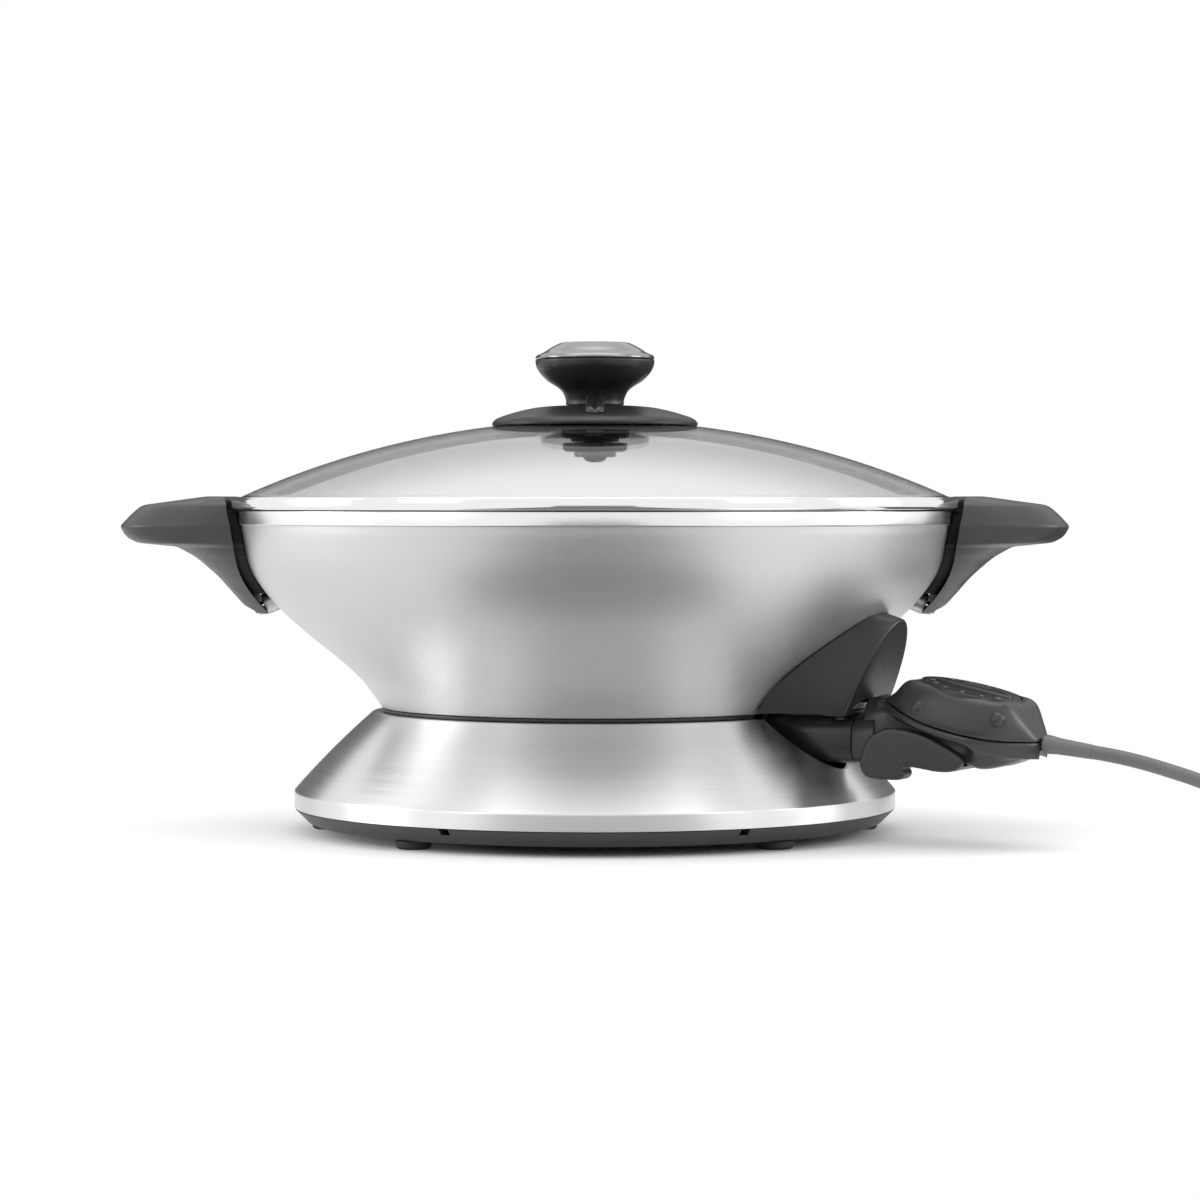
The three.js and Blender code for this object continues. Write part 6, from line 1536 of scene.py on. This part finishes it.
def collar_dome(sizes):
    """The line of the collar's top, from its edge to its middle."""
    edge = glass_z(sizes, COLLAR_RADIUS) + FIT_GAP + 1.2
    return from_shares(COLLAR_SHARES, 0, COLLAR_RADIUS, edge, COLLAR_TOP_Z - edge)


class WOK_OT_vent(bpy.types.Operator):
    """Makes the vent collar on the glass with its seal and its nut"""
    bl_idname = "wok.vent"
    bl_label = "Vent"

    def execute(self, context):
        sizes = context.scene.wok_sizes
        rim_z = glass_z(sizes, COLLAR_RADIUS) + FIT_GAP
        land = COLLAR_RADIUS - 5.4
        underside = along_glass(sizes, land, BUSH_RADIUS, -SEAL_THICKNESS - 2 * FIT_GAP, 8)
        dome = spline([*collar_dome(sizes), (COLLAR_BORE_RADIUS, COLLAR_TOP_Z)], 5)
        outline = [
            *soften([(COLLAR_BORE_RADIUS, COLLAR_TOP_Z), (COLLAR_BORE_RADIUS, BUSH_Z, 0.5),
                     (BUSH_RADIUS, BUSH_Z, 0.6), underside[-1]], steps=3)[1:],
            *underside[-2::-1],
            *soften([underside[0], (land, glass_z(sizes, land) + FIT_GAP), (COLLAR_RADIUS, rim_z, 0.5),
                     (COLLAR_RADIUS, rim_z + 1.5, 0.9), tuple(dome[2])], steps=5)[1:],
            *dome[3:],
        ]
        collar = shape("collar", revolve(outline, 160, closed=True))
        for angle in range(30, 360, 60):
            hole = turned([(0, 190), (1.7, 190), (1.7, COLLAR_TOP_Z - 0.3), (2.1, COLLAR_TOP_Z + 1), (0, 213)], 0, 24)
            cut(collar, placed(hole, upright(angle, 9)))
        # The collar takes the darkest plastic: painted shade
        dress(collar, "lid", finishes()["collar_plastic"], "black_plastic", "vent_collar")
        low = along_glass(sizes, BUSH_RADIUS + FIT_GAP, land - FIT_GAP, -FIT_GAP, 8)
        high = along_glass(sizes, land - FIT_GAP, BUSH_RADIUS + FIT_GAP, -FIT_GAP - SEAL_THICKNESS, 8)
        seal = revolve(soften([(*low[0], 0.4), *low[1:-1], (*low[-1], 0.4), (*high[0], 0.4), *high[1:-1],
                               (*high[-1], 0.4)], steps=3, closed=True), 96, closed=True)
        put_piece("seal", seal, "lid", "soft_rubber", "vent_seal")
        top = glass_z(sizes, NUT_RADIUS, sizes.glass_thickness / MM) - FIT_GAP
        nut = shape("nut", turned([
            (NUT_BORE_RADIUS, top - 3.6), (NUT_RADIUS - 1.4, top - 3.6), (NUT_RADIUS, top - 2.8), (NUT_RADIUS, top),
            (NUT_BORE_RADIUS, top),
        ], 0.4, 96, closed=True))
        for angle in range(0, 360, 30):
            cut(nut, placed(bar(1.1, top - 6, top - 0.9, 0, 16), upright(angle, NUT_RADIUS + 0.4)))
        dress(nut, "lid", finishes()["black_plastic"], "black_plastic", "vent_nut")
        return {"FINISHED"}


# Knob

KNOB_BOTTOM_Z = 211.9
KNOB_WIDEST_Z = 233.7
KNOB_TOP_Z = 234.2
KNOB_SHAFT_Z = 193.4
KNOB_WAIST_RADIUS = 14.5
# The knob's flare as shares of its spread and height
FLARE_SHARES = [(0, 0), (0, 0.1), (0.11, 0.29), (0.24, 0.385), (0.61, 0.555), (0.85, 0.73), (0.96, 0.87), (1, 1)]
CAP_TOP_Z = 243
CAP_SOCKET_RADIUS = 17.4
# The cap's side as shares of the knob's radius and of the cap's height
CAP_SHARES = [(0.98, 0), (1, 0.08), (0.98, 0.24), (0.86, 0.42), (0.75, 0.67), (0.6, 0.94)]
SHUTTER_HEIGHT = 4.2
WASHER_HEIGHT = 2.4
SCREW_DOME_HEIGHT = 3
POINTER_ROOT = 7
POINTER_REACH = 45.5
POINTER_TIP = 4
POINTER_HALF_WIDTH = 4.6
# Radius and height along the pointer's top
POINTER_TOP_LINE = [(POINTER_ROOT, 218.4), (14.5, 218.2), (28.7, 214), (44, 209.8), (POINTER_REACH, 209.2)]


def pointer_form(sizes):
    """The grooved finger on the knob that lies over the collar's dome."""
    dome = sorted(tuple(point) for point in collar_dome(sizes))
    dome = [(0, COLLAR_TOP_Z), *dome]

    def dome_z(radius):
        for low, high in zip(dome, dome[1:]):
            if low[0] <= radius <= high[0]:
                return low[1] + (high[1] - low[1]) * (radius - low[0]) / (high[0] - low[0])
        return dome[-1][1]

    rings = []
    count, rows = 28, 32
    for row in range(rows + 1):
        share = row / rows
        radius = POINTER_ROOT + (POINTER_REACH - POINTER_ROOT) * share
        under = dome_z(radius) + 0.5
        tip = math.sqrt(max(0, 1 - max(0, (radius - POINTER_REACH + POINTER_TIP) / POINTER_TIP) ** 2))
        height = (crossing([(z, r) for r, z in POINTER_TOP_LINE], radius) - under) * max(tip, 0.12)
        half = POINTER_HALF_WIDTH * max(tip, 0.15)
        ring = []
        for i in range(count + 1):
            y = -1 + 2 * i / count
            crown = (1 - abs(y) ** 5) ** 0.5
            groove = 1.1 * math.exp(-((y * half) / 0.9) ** 2) * (1 if share < 0.97 else 0.3)
            ring.append((y * half, -radius, under + max(height * crown - groove * tip, 0)))
        ring += [(half * (1 - 2 * i / 8), -radius, under) for i in range(1, 8)]
        rings.append(ring)
    return loft(rings)


class WOK_OT_knob(bpy.types.Operator):
    """Makes the knob with its pointer, its cap, and the shutter and screw under the lid"""
    bl_idname = "wok.knob"
    bl_label = "Knob"

    def execute(self, context):
        sizes = context.scene.wok_sizes
        radius = sizes.knob_radius / MM
        flare = spline(from_shares(
            FLARE_SHARES, KNOB_WAIST_RADIUS, radius - KNOB_WAIST_RADIUS, KNOB_BOTTOM_Z,
            KNOB_WIDEST_Z - KNOB_BOTTOM_Z), 6)
        body = revolve([
            *soften([(0, 209.4), (2.3, 209.4), (2.3, KNOB_SHAFT_Z), (5.4, KNOB_SHAFT_Z), (5.4, KNOB_BOTTOM_Z),
                     (KNOB_WAIST_RADIUS, KNOB_BOTTOM_Z, 0.8), tuple(flare[1])], 0.4, 3)[:-1],
            *flare[1:-1],
            *soften([tuple(flare[-1]), (radius - 0.2, KNOB_TOP_Z, 0.5), (CAP_SOCKET_RADIUS, KNOB_TOP_Z),
                     (CAP_SOCKET_RADIUS, KNOB_TOP_Z + 5), (0, KNOB_TOP_Z + 5)], 0.4, 4),
        ], 128)
        put_piece("knob_body", combined(body, pointer_form(sizes)), "knob", "black_plastic", "vent_knob", sharp=38)
        low = KNOB_TOP_Z + FIT_GAP
        side = from_shares(CAP_SHARES, 0, radius, low, CAP_TOP_Z - low)
        cap_line = spline([*side[2:], (16.5, CAP_TOP_Z - 0.1), (15, CAP_TOP_Z)], 6)
        cap_inner = CAP_SOCKET_RADIUS + FIT_GAP
        cap = revolve([
            *soften([(0, low + 5), (cap_inner, low + 5), (cap_inner, low), (radius * 0.985, low, 0.3),
                     (radius, low + 0.7, 0.5), (radius * 0.985, low + 1.7, 0.5), tuple(cap_line[1])], 0.2, 4)[:-1],
            *cap_line[1:], (0, CAP_TOP_Z),
        ], 128)
        put_piece("cap", cap, "knob", "brushed_steel", "knob_cap", finish="cap_steel")
        top = KNOB_SHAFT_Z - FIT_GAP
        shutter = turned([
            (2.3, top - SHUTTER_HEIGHT), (14.6, top - SHUTTER_HEIGHT), (16.2, top - 3), (16.2, top), (2.3, top),
        ], 0.5, 96, closed=True)
        # The shutter takes the black finish, darker than its charcoal plastic: painted shade under the lid
        put_piece("shutter", shutter, "knob", "charcoal_plastic", "vent_shutter", finish="black_plastic")
        washer = KNOB_SHAFT_Z - 2 * FIT_GAP - SHUTTER_HEIGHT
        dome = washer - WASHER_HEIGHT
        profile = spline([(0, dome - SCREW_DOME_HEIGHT), (3, dome - 2.52), (5.16, dome - 1.5), (6, dome)], 5)
        screw = shape("vent_screw", revolve([
            *profile[:-1],
            *soften([tuple(profile[-2]), (6, dome), (10.4, dome), (10.4, washer), (2, washer),
                     (2, KNOB_SHAFT_Z + 15.7), (0, KNOB_SHAFT_Z + 15.7)], 0.5, 3)[1:],
        ], 72))
        for arm in cross_recess(4.4, dome - SCREW_DOME_HEIGHT, 1.4):
            cut(screw, arm)
        # The vent's screw takes the nearly black steel: painted shade under the lid
        dress(screw, "knob", finishes()["dark_steel"], "polished_steel", "knob_screw")
        return {"FINISHED"}


# Probe

# Places and insets of the rings of the probe's nose and of its collar
NOSE_RINGS = [(106, 1), (106.3, 0.3), (107, 0), (146.4, 0)]
NOSE_HALF_WIDTH = 11.5
NOSE_HALF_HEIGHT = 9.7
WIDE_RINGS = [(146.2, 0.9), (146.4, 0.3), (147, 0), (157.4, 0), (158, 0.6)]
WIDE_HALF_WIDTH = 14.4
WIDE_HALF_HEIGHT = 11.6
# Place, height share and width share of the slices of the collar's rise
HUMP_SLICES = [(150.6, 0.86, 0.9), (151.4, 0.92, 1), (154, 0.95, 1), (158, 1, 1)]
HUMP_HALF_WIDTH = 11
HUMP_HEIGHT = 21.8
HOUSING_START = 161.4
HOUSING_LENGTH = 76.6
HOUSING_HALF_WIDTH = 28
HOUSING_START_Z = 69.4
SEAM_HALF_GAP = 0.35
DIAL_X = 203.1
DIAL_TILT = math.radians(12.6)
# Half width and height shares of half a slice of the top shell
TOP_SHARES = [(0.98, 0), (1, 0.06), (1, 0.32), (0.965, 0.66), (0.87, 0.92), (0.74, 1), (0.4, 1.005), (0.02, 1.01)]
# Place, half width share and share that it stays below the top line
TOP_SLICES = [
    (0.004, 0.34, 0.96), (0.1, 0.6, 0.54), (0.2, 0.8, 0.08), (0.34, 0.95, 0), (0.55, 1, 0), (0.74, 0.95, 0),
    (0.86, 0.79, 0.03), (0.94, 0.53, 0.48), (0.985, 0.34, 0.8), (0.999, 0.24, 0.9),
]
# Place, half width share, half width of the keel, height of the underside
BOTTOM_SLICES = [
    (-0.038, 0.42, 13.6, 39.2), (0.02, 0.46, 13.8, 39.6), (0.12, 0.68, 13.4, 41.6), (0.25, 0.87, 13.2, 42.2),
    (0.42, 0.98, 13.2, 42.2), (0.56, 1, 13.6, 39.8), (0.66, 0.98, 16, 38.1), (0.82, 0.83, 13.6, 40.4),
    (0.94, 0.53, 7.6, 44.4), (0.985, 0.35, 4.4, 46.4), (1, 0.24, 3, 47.3),
]
# The two round bumps on the near side: shares of the length, of the height and of the half width
BUMP_SHARES = [(0.31, 0.35, 0.917), (0.82, 0.56, 0.85)]
BUMP_RADIUS = 3.5
BUMP_HEIGHT = 2.3
# Place of each screw and height of the underside there
SHELL_SCREWS = [(178.2, 41.99), (223, 40.1)]
LEVER_PIVOT = (163, 0, 46.5)
LEVER_PIN_RADIUS = 1.8


def seam_z(share):
    """Height of the probe's split line at a share of its length."""
    along = max(share, 0)
    return HOUSING_START_Z - 18.3 * along - 3.9 * math.sin(math.pi * min(along, 1))


def top_line_z(share):
    """Height of the housing's top line at a share of its length."""
    return HOUSING_START_Z + 10.8 - (share - 0.22) * HOUSING_LENGTH * 0.2168


def mirrored(x, half):
    """A ring across X from half of it, given from its right edge towards the middle."""
    return [(x, y, z) for y, z in half] + [(x, -y, z) for y, z in reversed(half)]


def top_shell_form():
    """The housing above its split line."""
    rings = []
    for place, wide, drop in TOP_SLICES:
        low, full = seam_z(place) + SEAM_HALF_GAP, top_line_z(place)
        top = full - drop * (full - seam_z(place))
        half_width = wide * HOUSING_HALF_WIDTH
        corner = min(1.2, 0.3 * (top - low))
        points = [(half_width * y, low + z * (top - low)) for y, z in TOP_SHARES]
        points[0] = (half_width - corner * 0.6, low)
        points[1] = (half_width, low + corner * 0.8)
        half = spline(points, 4)
        rings.append([Vector(point) for point in mirrored(HOUSING_START + place * HOUSING_LENGTH, half)])
    return loft(smooth_rings(rings, 6))


def bottom_shell_form():
    """The housing below its split line, narrowing to a keel from the middle on."""
    rings = []
    for place, wide, keel, bottom in BOTTOM_SLICES:
        rim = seam_z(place) - SEAM_HALF_GAP
        half_width = wide * HOUSING_HALF_WIDTH
        shoulder = rim - 6
        free = min(max((place - 0.56) / 0.14, 0), 1)
        belly = keel + (half_width - keel) * 0.55 * free
        points = [
            (half_width - 0.7, rim), (half_width, rim - 0.9), (half_width - 0.2, rim - 2.6),
            (keel + (half_width - keel) * (0.5 + 0.36 * free), rim - 4.4 - free),
            (max(belly, keel), shoulder - 1.5 * free),
            (keel + (half_width - keel) * 0.2 * free, shoulder + 0.6 * (bottom - shoulder)),
            (keel * 0.94, bottom + 0.12 * (shoulder - bottom)), (keel * 0.72, bottom + 0.05), (keel * 0.3, bottom),
        ]
        rings.append([Vector(point) for point in mirrored(HOUSING_START + place * HOUSING_LENGTH, spline(points, 3))])
    return loft(smooth_rings(rings, 6))


def dial_frame():
    """The dial's frame: its middle on the housing's top line, its axis leaning with the line."""
    share = (DIAL_X - HOUSING_START) / HOUSING_LENGTH
    return PROBE @ shifted(DIAL_X, 0, top_line_z(share)) @ Matrix.Rotation(DIAL_TILT, 4, "Y")


def hump_form():
    """The rise of the probe's collar towards the housing."""
    rings = []
    for x, high, wide in HUMP_SLICES:
        ring = []
        for i in range(33):
            across, up = math.cos(math.pi * i / 32), max(math.sin(math.pi * i / 32), 0)
            ring.append((x, HUMP_HALF_WIDTH * wide * rounded(across, SECTION_SQUARENESS),
                         SOCKET_Z + HUMP_HEIGHT * high * rounded(up, SECTION_SQUARENESS)))
        rings.append(ring)
    return loft(rings)


class WOK_OT_probe(bpy.types.Operator):
    """Makes the probe's collar, contacts, rod, housing and screws"""
    bl_idname = "wok.probe"
    bl_label = "Temperature probe"

    def execute(self, context):
        nose = [duct_ring(x, inset, NOSE_HALF_WIDTH, NOSE_HALF_HEIGHT) for x, inset in NOSE_RINGS]
        wide = [duct_ring(x, inset, WIDE_HALF_WIDTH, WIDE_HALF_HEIGHT) for x, inset in WIDE_RINGS]
        collar = shape("probe_nose", loft([*nose, *wide]), PROBE)
        for y, z, radius in ((-PIN_SPREAD, PIN_Z, PIN_BORE), (PIN_SPREAD, PIN_Z, PIN_BORE), (0, ROD_Z, ROD_BORE)):
            cut(collar, placed(bar(radius, 100, 150, 0), laid(y, z)))
        cut(collar, hump_form(), operation="UNION")
        dress(collar, "probe", finishes()["probe_plastic"], "probe_plastic", "probe_collar")
        for side, name in ((-1, "right"), (1, "left")):
            tube = turned([(2.4, 106), (2.8, 106), (2.8, 131.6), (2.4, 131.6)], 0.15, SMALL_SIDES, closed=True)
            put_piece(
                f"contact_{name}", placed(tube, laid(side * PIN_SPREAD, PIN_Z)), "probe", "brass_contacts",
                f"receptacle_{name}", place=PROBE)
        rod = bar(2.4, 75, 171.6, 2)
        put_piece("rod", placed(rod, laid(0, ROD_Z)), "probe", "sheath_metal", "sensor_rod", place=PROBE)

        radius = context.scene.wok_sizes.dial_radius / MM
        upper = shape("housing_top", top_shell_form(), PROBE)
        # The round seat of the dial
        cup = turned([
            (0, -6.9), (radius + 1.9, -6.9), (radius + 1.9, 0.3, 0.7), (radius + 0.5, 0.3), (radius + 0.4, 0.1),
            (0, 0.1),
        ], 0.3, 96)
        cut(upper, cup, dial_frame(), "UNION")
        cut(upper, turned([(0, -4.7), (radius + 0.5, -4.7), (radius + 0.5, 8), (0, 8)], 0, 96), dial_frame())
        arc = [math.pi / 2 * i / 10 for i in range(11)]
        dome = revolve([(0, -2), (BUMP_RADIUS, -2), *(
            (BUMP_RADIUS * math.cos(turn), BUMP_HEIGHT * math.sin(turn)) for turn in arc)], 40)
        for along, up, wide in BUMP_SHARES:
            z = seam_z(along) + (top_line_z(along) - seam_z(along)) * up
            place = PROBE @ shifted(HOUSING_START + along * HOUSING_LENGTH, -HOUSING_HALF_WIDTH * wide, z)
            cut(upper, dome, place @ Matrix.Rotation(math.pi / 2, 4, "X"), "UNION")
        dress(upper, "probe", finishes()["probe_plastic"], "probe_plastic", "probe_upper_shell", sharp=40)
        # The seat is as black as the dial
        add_finishes(upper, ["black_plastic"])
        to_dial = dial_frame().inverted() @ PROBE
        for face in upper.data.polygons:
            middle = to_dial @ face.center / MM
            if math.hypot(middle.x, middle.y) < radius + 2.4 and middle.z > -0.4:
                face.material_index = 1
        lower = shape("housing_bottom", bottom_shell_form(), PROBE)
        for i, (x, low) in enumerate(SHELL_SCREWS, 1):
            cut(lower, placed(bar(3.3, 30, low + 2.7, 0), shifted(x, 0, 0)))
            put_screw(
                f"housing_screw_{i}", head_radius=3, head_height=1.6, radius=1.5, low=low + 0.8,
                high=seam_z((x - HOUSING_START) / HOUSING_LENGTH) + 5, body="probe", node=f"shell_screw_{i}",
                place=PROBE @ shifted(x, 0, 0))
        dress(lower, "probe", finishes()["probe_plastic"], "probe_plastic", "probe_lower_shell", sharp=40)
        kept("thermostat_block", finishes()["soft_rubber"])
        pin = bar(LEVER_PIN_RADIUS, -15.5, 15.5, 0.5)
        place = PROBE @ shifted(*LEVER_PIVOT) @ Matrix.Rotation(math.pi / 2, 4, "X")
        # The lever's pin takes the nearly black steel: painted shade inside the lever
        put_piece("pivot_pin", pin, "probe", "polished_steel", "lever_pin", finish="dark_steel", place=place)
        return {"FINISHED"}


# Place, half width and height of the slices of the dial's grip
GRIP_SLICES = [
    (-19.6, 1.6, 0.8), (-19, 2.6, 1.5), (-16, 3.2, 1.9), (0, 3.2, 1.9), (16, 3.2, 1.9), (19, 2.6, 1.5),
    (19.6, 1.6, 0.8),
]
GRIP_ROOT = 0.3
NUMBER_COUNT = 10
NUMBER_START = 90
NUMBER_SPREAD = 240
NUMBER_RELIEF = 0.00012


class WOK_OT_dial(bpy.types.Operator):
    """Makes the temperature dial with its numbers"""
    bl_idname = "wok.dial"
    bl_label = "Dial"

    def execute(self, context):
        sizes = context.scene.wok_sizes
        radius = sizes.dial_radius / MM
        disc = turned([
            (0, -1.4), (3.3, -1.4), (3.3, -4.2), (radius, -4.2), (radius, 0.5, 1.2), (radius - 7, 0.5, 0.4),
            (radius - 7.5, 0.1, 0.4), (0, 0.1),
        ], 0.4, 120)
        dial = shape("dial_disc", disc, dial_frame())
        grip = []
        for x, half, height in GRIP_SLICES:
            ring = []
            for i in range(17):
                across, up = math.cos(math.pi * i / 16), max(math.sin(math.pi * i / 16), 0)
                ring.append((x, half * across, (height + GRIP_ROOT) * rounded(up, 3) - GRIP_ROOT))
            grip.append(ring)
        cut(dial, loft(smooth_rings(grip, 3)), operation="UNION")
        dress(dial, "dial", finishes()["black_plastic"], "black_plastic", "temperature_dial")
        kept("dial_shaft", finishes()["brass_contacts"])
        marks = []
        for i in range(NUMBER_COUNT):
            angle = math.radians(NUMBER_START + NUMBER_SPREAD * i / (NUMBER_COUNT - 1))
            text = bpy.data.curves.new(f"number_{i + 1}", "FONT")
            text.body = str(i + 1)
            text.size = sizes.number_height
            text.extrude = NUMBER_RELIEF
            text.align_x = "CENTER"
            text.align_y = "CENTER"
            made = bpy.data.objects.new(text.name, text)
            bpy.context.scene.collection.objects.link(made)
            graph = bpy.context.evaluated_depsgraph_get()
            mesh = bpy.data.meshes.new_from_object(made.evaluated_get(graph))
            place = Matrix.Rotation(angle, 4, "Z") @ shifted(radius - 3.7, 0, 0.52) @ Matrix.Rotation(
                -math.pi / 2, 4, "Z")
            points = [place @ vertex.co for vertex in mesh.vertices]
            marks.append((points, [list(face.vertices) for face in mesh.polygons]))
            bpy.data.objects.remove(made)
        numbers = shape("dial_numbers", combined(*marks), dial_frame())
        dress(numbers, "dial", finishes()["numbers"], "polished_steel")
        return {"FINISHED"}


# The lever's side from its pivot
LEVER_OUTLINE = [
    (-11.6, -7), (-9.6, -0.3), (-6.8, 5.1), (0.5, 9.4), (10, 9.6), (22, 7), (32, 2.4), (39.4, -1.8),
    (42, -4.6), (38.6, -8.8), (30.8, -10.3), (20.4, -9.1), (12.4, -8.2), (10.4, -8.8), (12.4, -11.2),
    (10.4, -14.2), (2.4, -14.8), (-7.2, -14), (-10.5, -11),
]
# The hollow between its cheeks, from the same pivot
LEVER_HOLLOW = [
    (-16, -12.2), (5.6, -12.2), (8.6, -6.3), (20.4, -7), (30.8, -8.2), (37, -7.4), (46, -7.4), (46, 16), (-16, 16),
]
LEVER_HALF_WIDTH = 17.5
LEVER_HOLLOW_HALF_WIDTH = 14.9
LEVER_GRID = 0.7
LEVER_SMOOTHING = 24


class WOK_OT_lever(bpy.types.Operator):
    """Makes the two-cheeked lever that pushes the probe off its socket"""
    bl_idname = "wok.lever"
    bl_label = "Eject lever"

    def execute(self, context):
        outline = spline([*LEVER_OUTLINE, LEVER_OUTLINE[0]], 4)[:-1]
        rings = [[(x, y, z) for x, z in outline] for y in (-LEVER_HALF_WIDTH, LEVER_HALF_WIDTH)]
        lever = shape("lever_form", loft(rings), PROBE @ shifted(*LEVER_PIVOT))
        moulded_round(lever, LEVER_GRID, LEVER_SMOOTHING)
        hollow = [[(x, y, z) for x, z in LEVER_HOLLOW] for y in (-LEVER_HOLLOW_HALF_WIDTH, LEVER_HOLLOW_HALF_WIDTH)]
        cut(lever, loft(hollow))
        # Only the near cheek keeps its hooked leg
        cut(lever, block((-42, -8, -20), (14, 25, -9.2), 0))
        cut(lever, placed(bar(LEVER_PIN_RADIUS + FIT_GAP, -15.8, 15.8, 0), Matrix.Rotation(math.pi / 2, 4, "X")))
        lever.name = "lever"
        dress(lever, "lever", finishes()["probe_plastic"], "probe_plastic", "eject_lever", sharp=40)
        return {"FINISHED"}


# The add-on

OPERATORS = (
    WOK_OT_stage, WOK_OT_lead, WOK_OT_stand, WOK_OT_lock, WOK_OT_bowl, WOK_OT_heating, WOK_OT_handles,
    WOK_OT_socket, WOK_OT_lid, WOK_OT_vent, WOK_OT_knob, WOK_OT_probe, WOK_OT_dial, WOK_OT_lever,
)


class WOK_PT_panel(bpy.types.Panel):
    """Lists the wok's pieces in the sidebar"""
    bl_label = "Electric wok"
    bl_idname = "WOK_PT_panel"
    bl_space_type = "VIEW_3D"
    bl_region_type = "UI"
    bl_category = "Wok"

    def draw(self, context):
        for operator in OPERATORS:
            self.layout.operator(operator.bl_idname)
        for settings in (context.scene.wok_sizes, context.scene.wok_finishes, context.scene.wok_stage):
            box = self.layout.box()
            for key in settings.__annotations__:
                box.prop(settings, key)


CLASSES = (WokSizes, WokFinishes, WokStage, *OPERATORS, WOK_PT_panel)


def register():
    """Registers the add-on's classes and its settings on the scene."""
    for class_ in CLASSES:
        bpy.utils.register_class(class_)
    bpy.types.Scene.wok_sizes = PointerProperty(type=WokSizes)
    bpy.types.Scene.wok_finishes = PointerProperty(type=WokFinishes)
    bpy.types.Scene.wok_stage = PointerProperty(type=WokStage)


def unregister():
    """Takes the settings and the classes away again."""
    del bpy.types.Scene.wok_stage
    del bpy.types.Scene.wok_finishes
    del bpy.types.Scene.wok_sizes
    for class_ in reversed(CLASSES):
        bpy.utils.unregister_class(class_)


def main():
    """Builds the wok on its stage."""
    register()
    for operator in OPERATORS:
        getattr(bpy.ops.wok, operator.bl_idname.split(".")[1])()


if __name__ == "__main__":
    main()
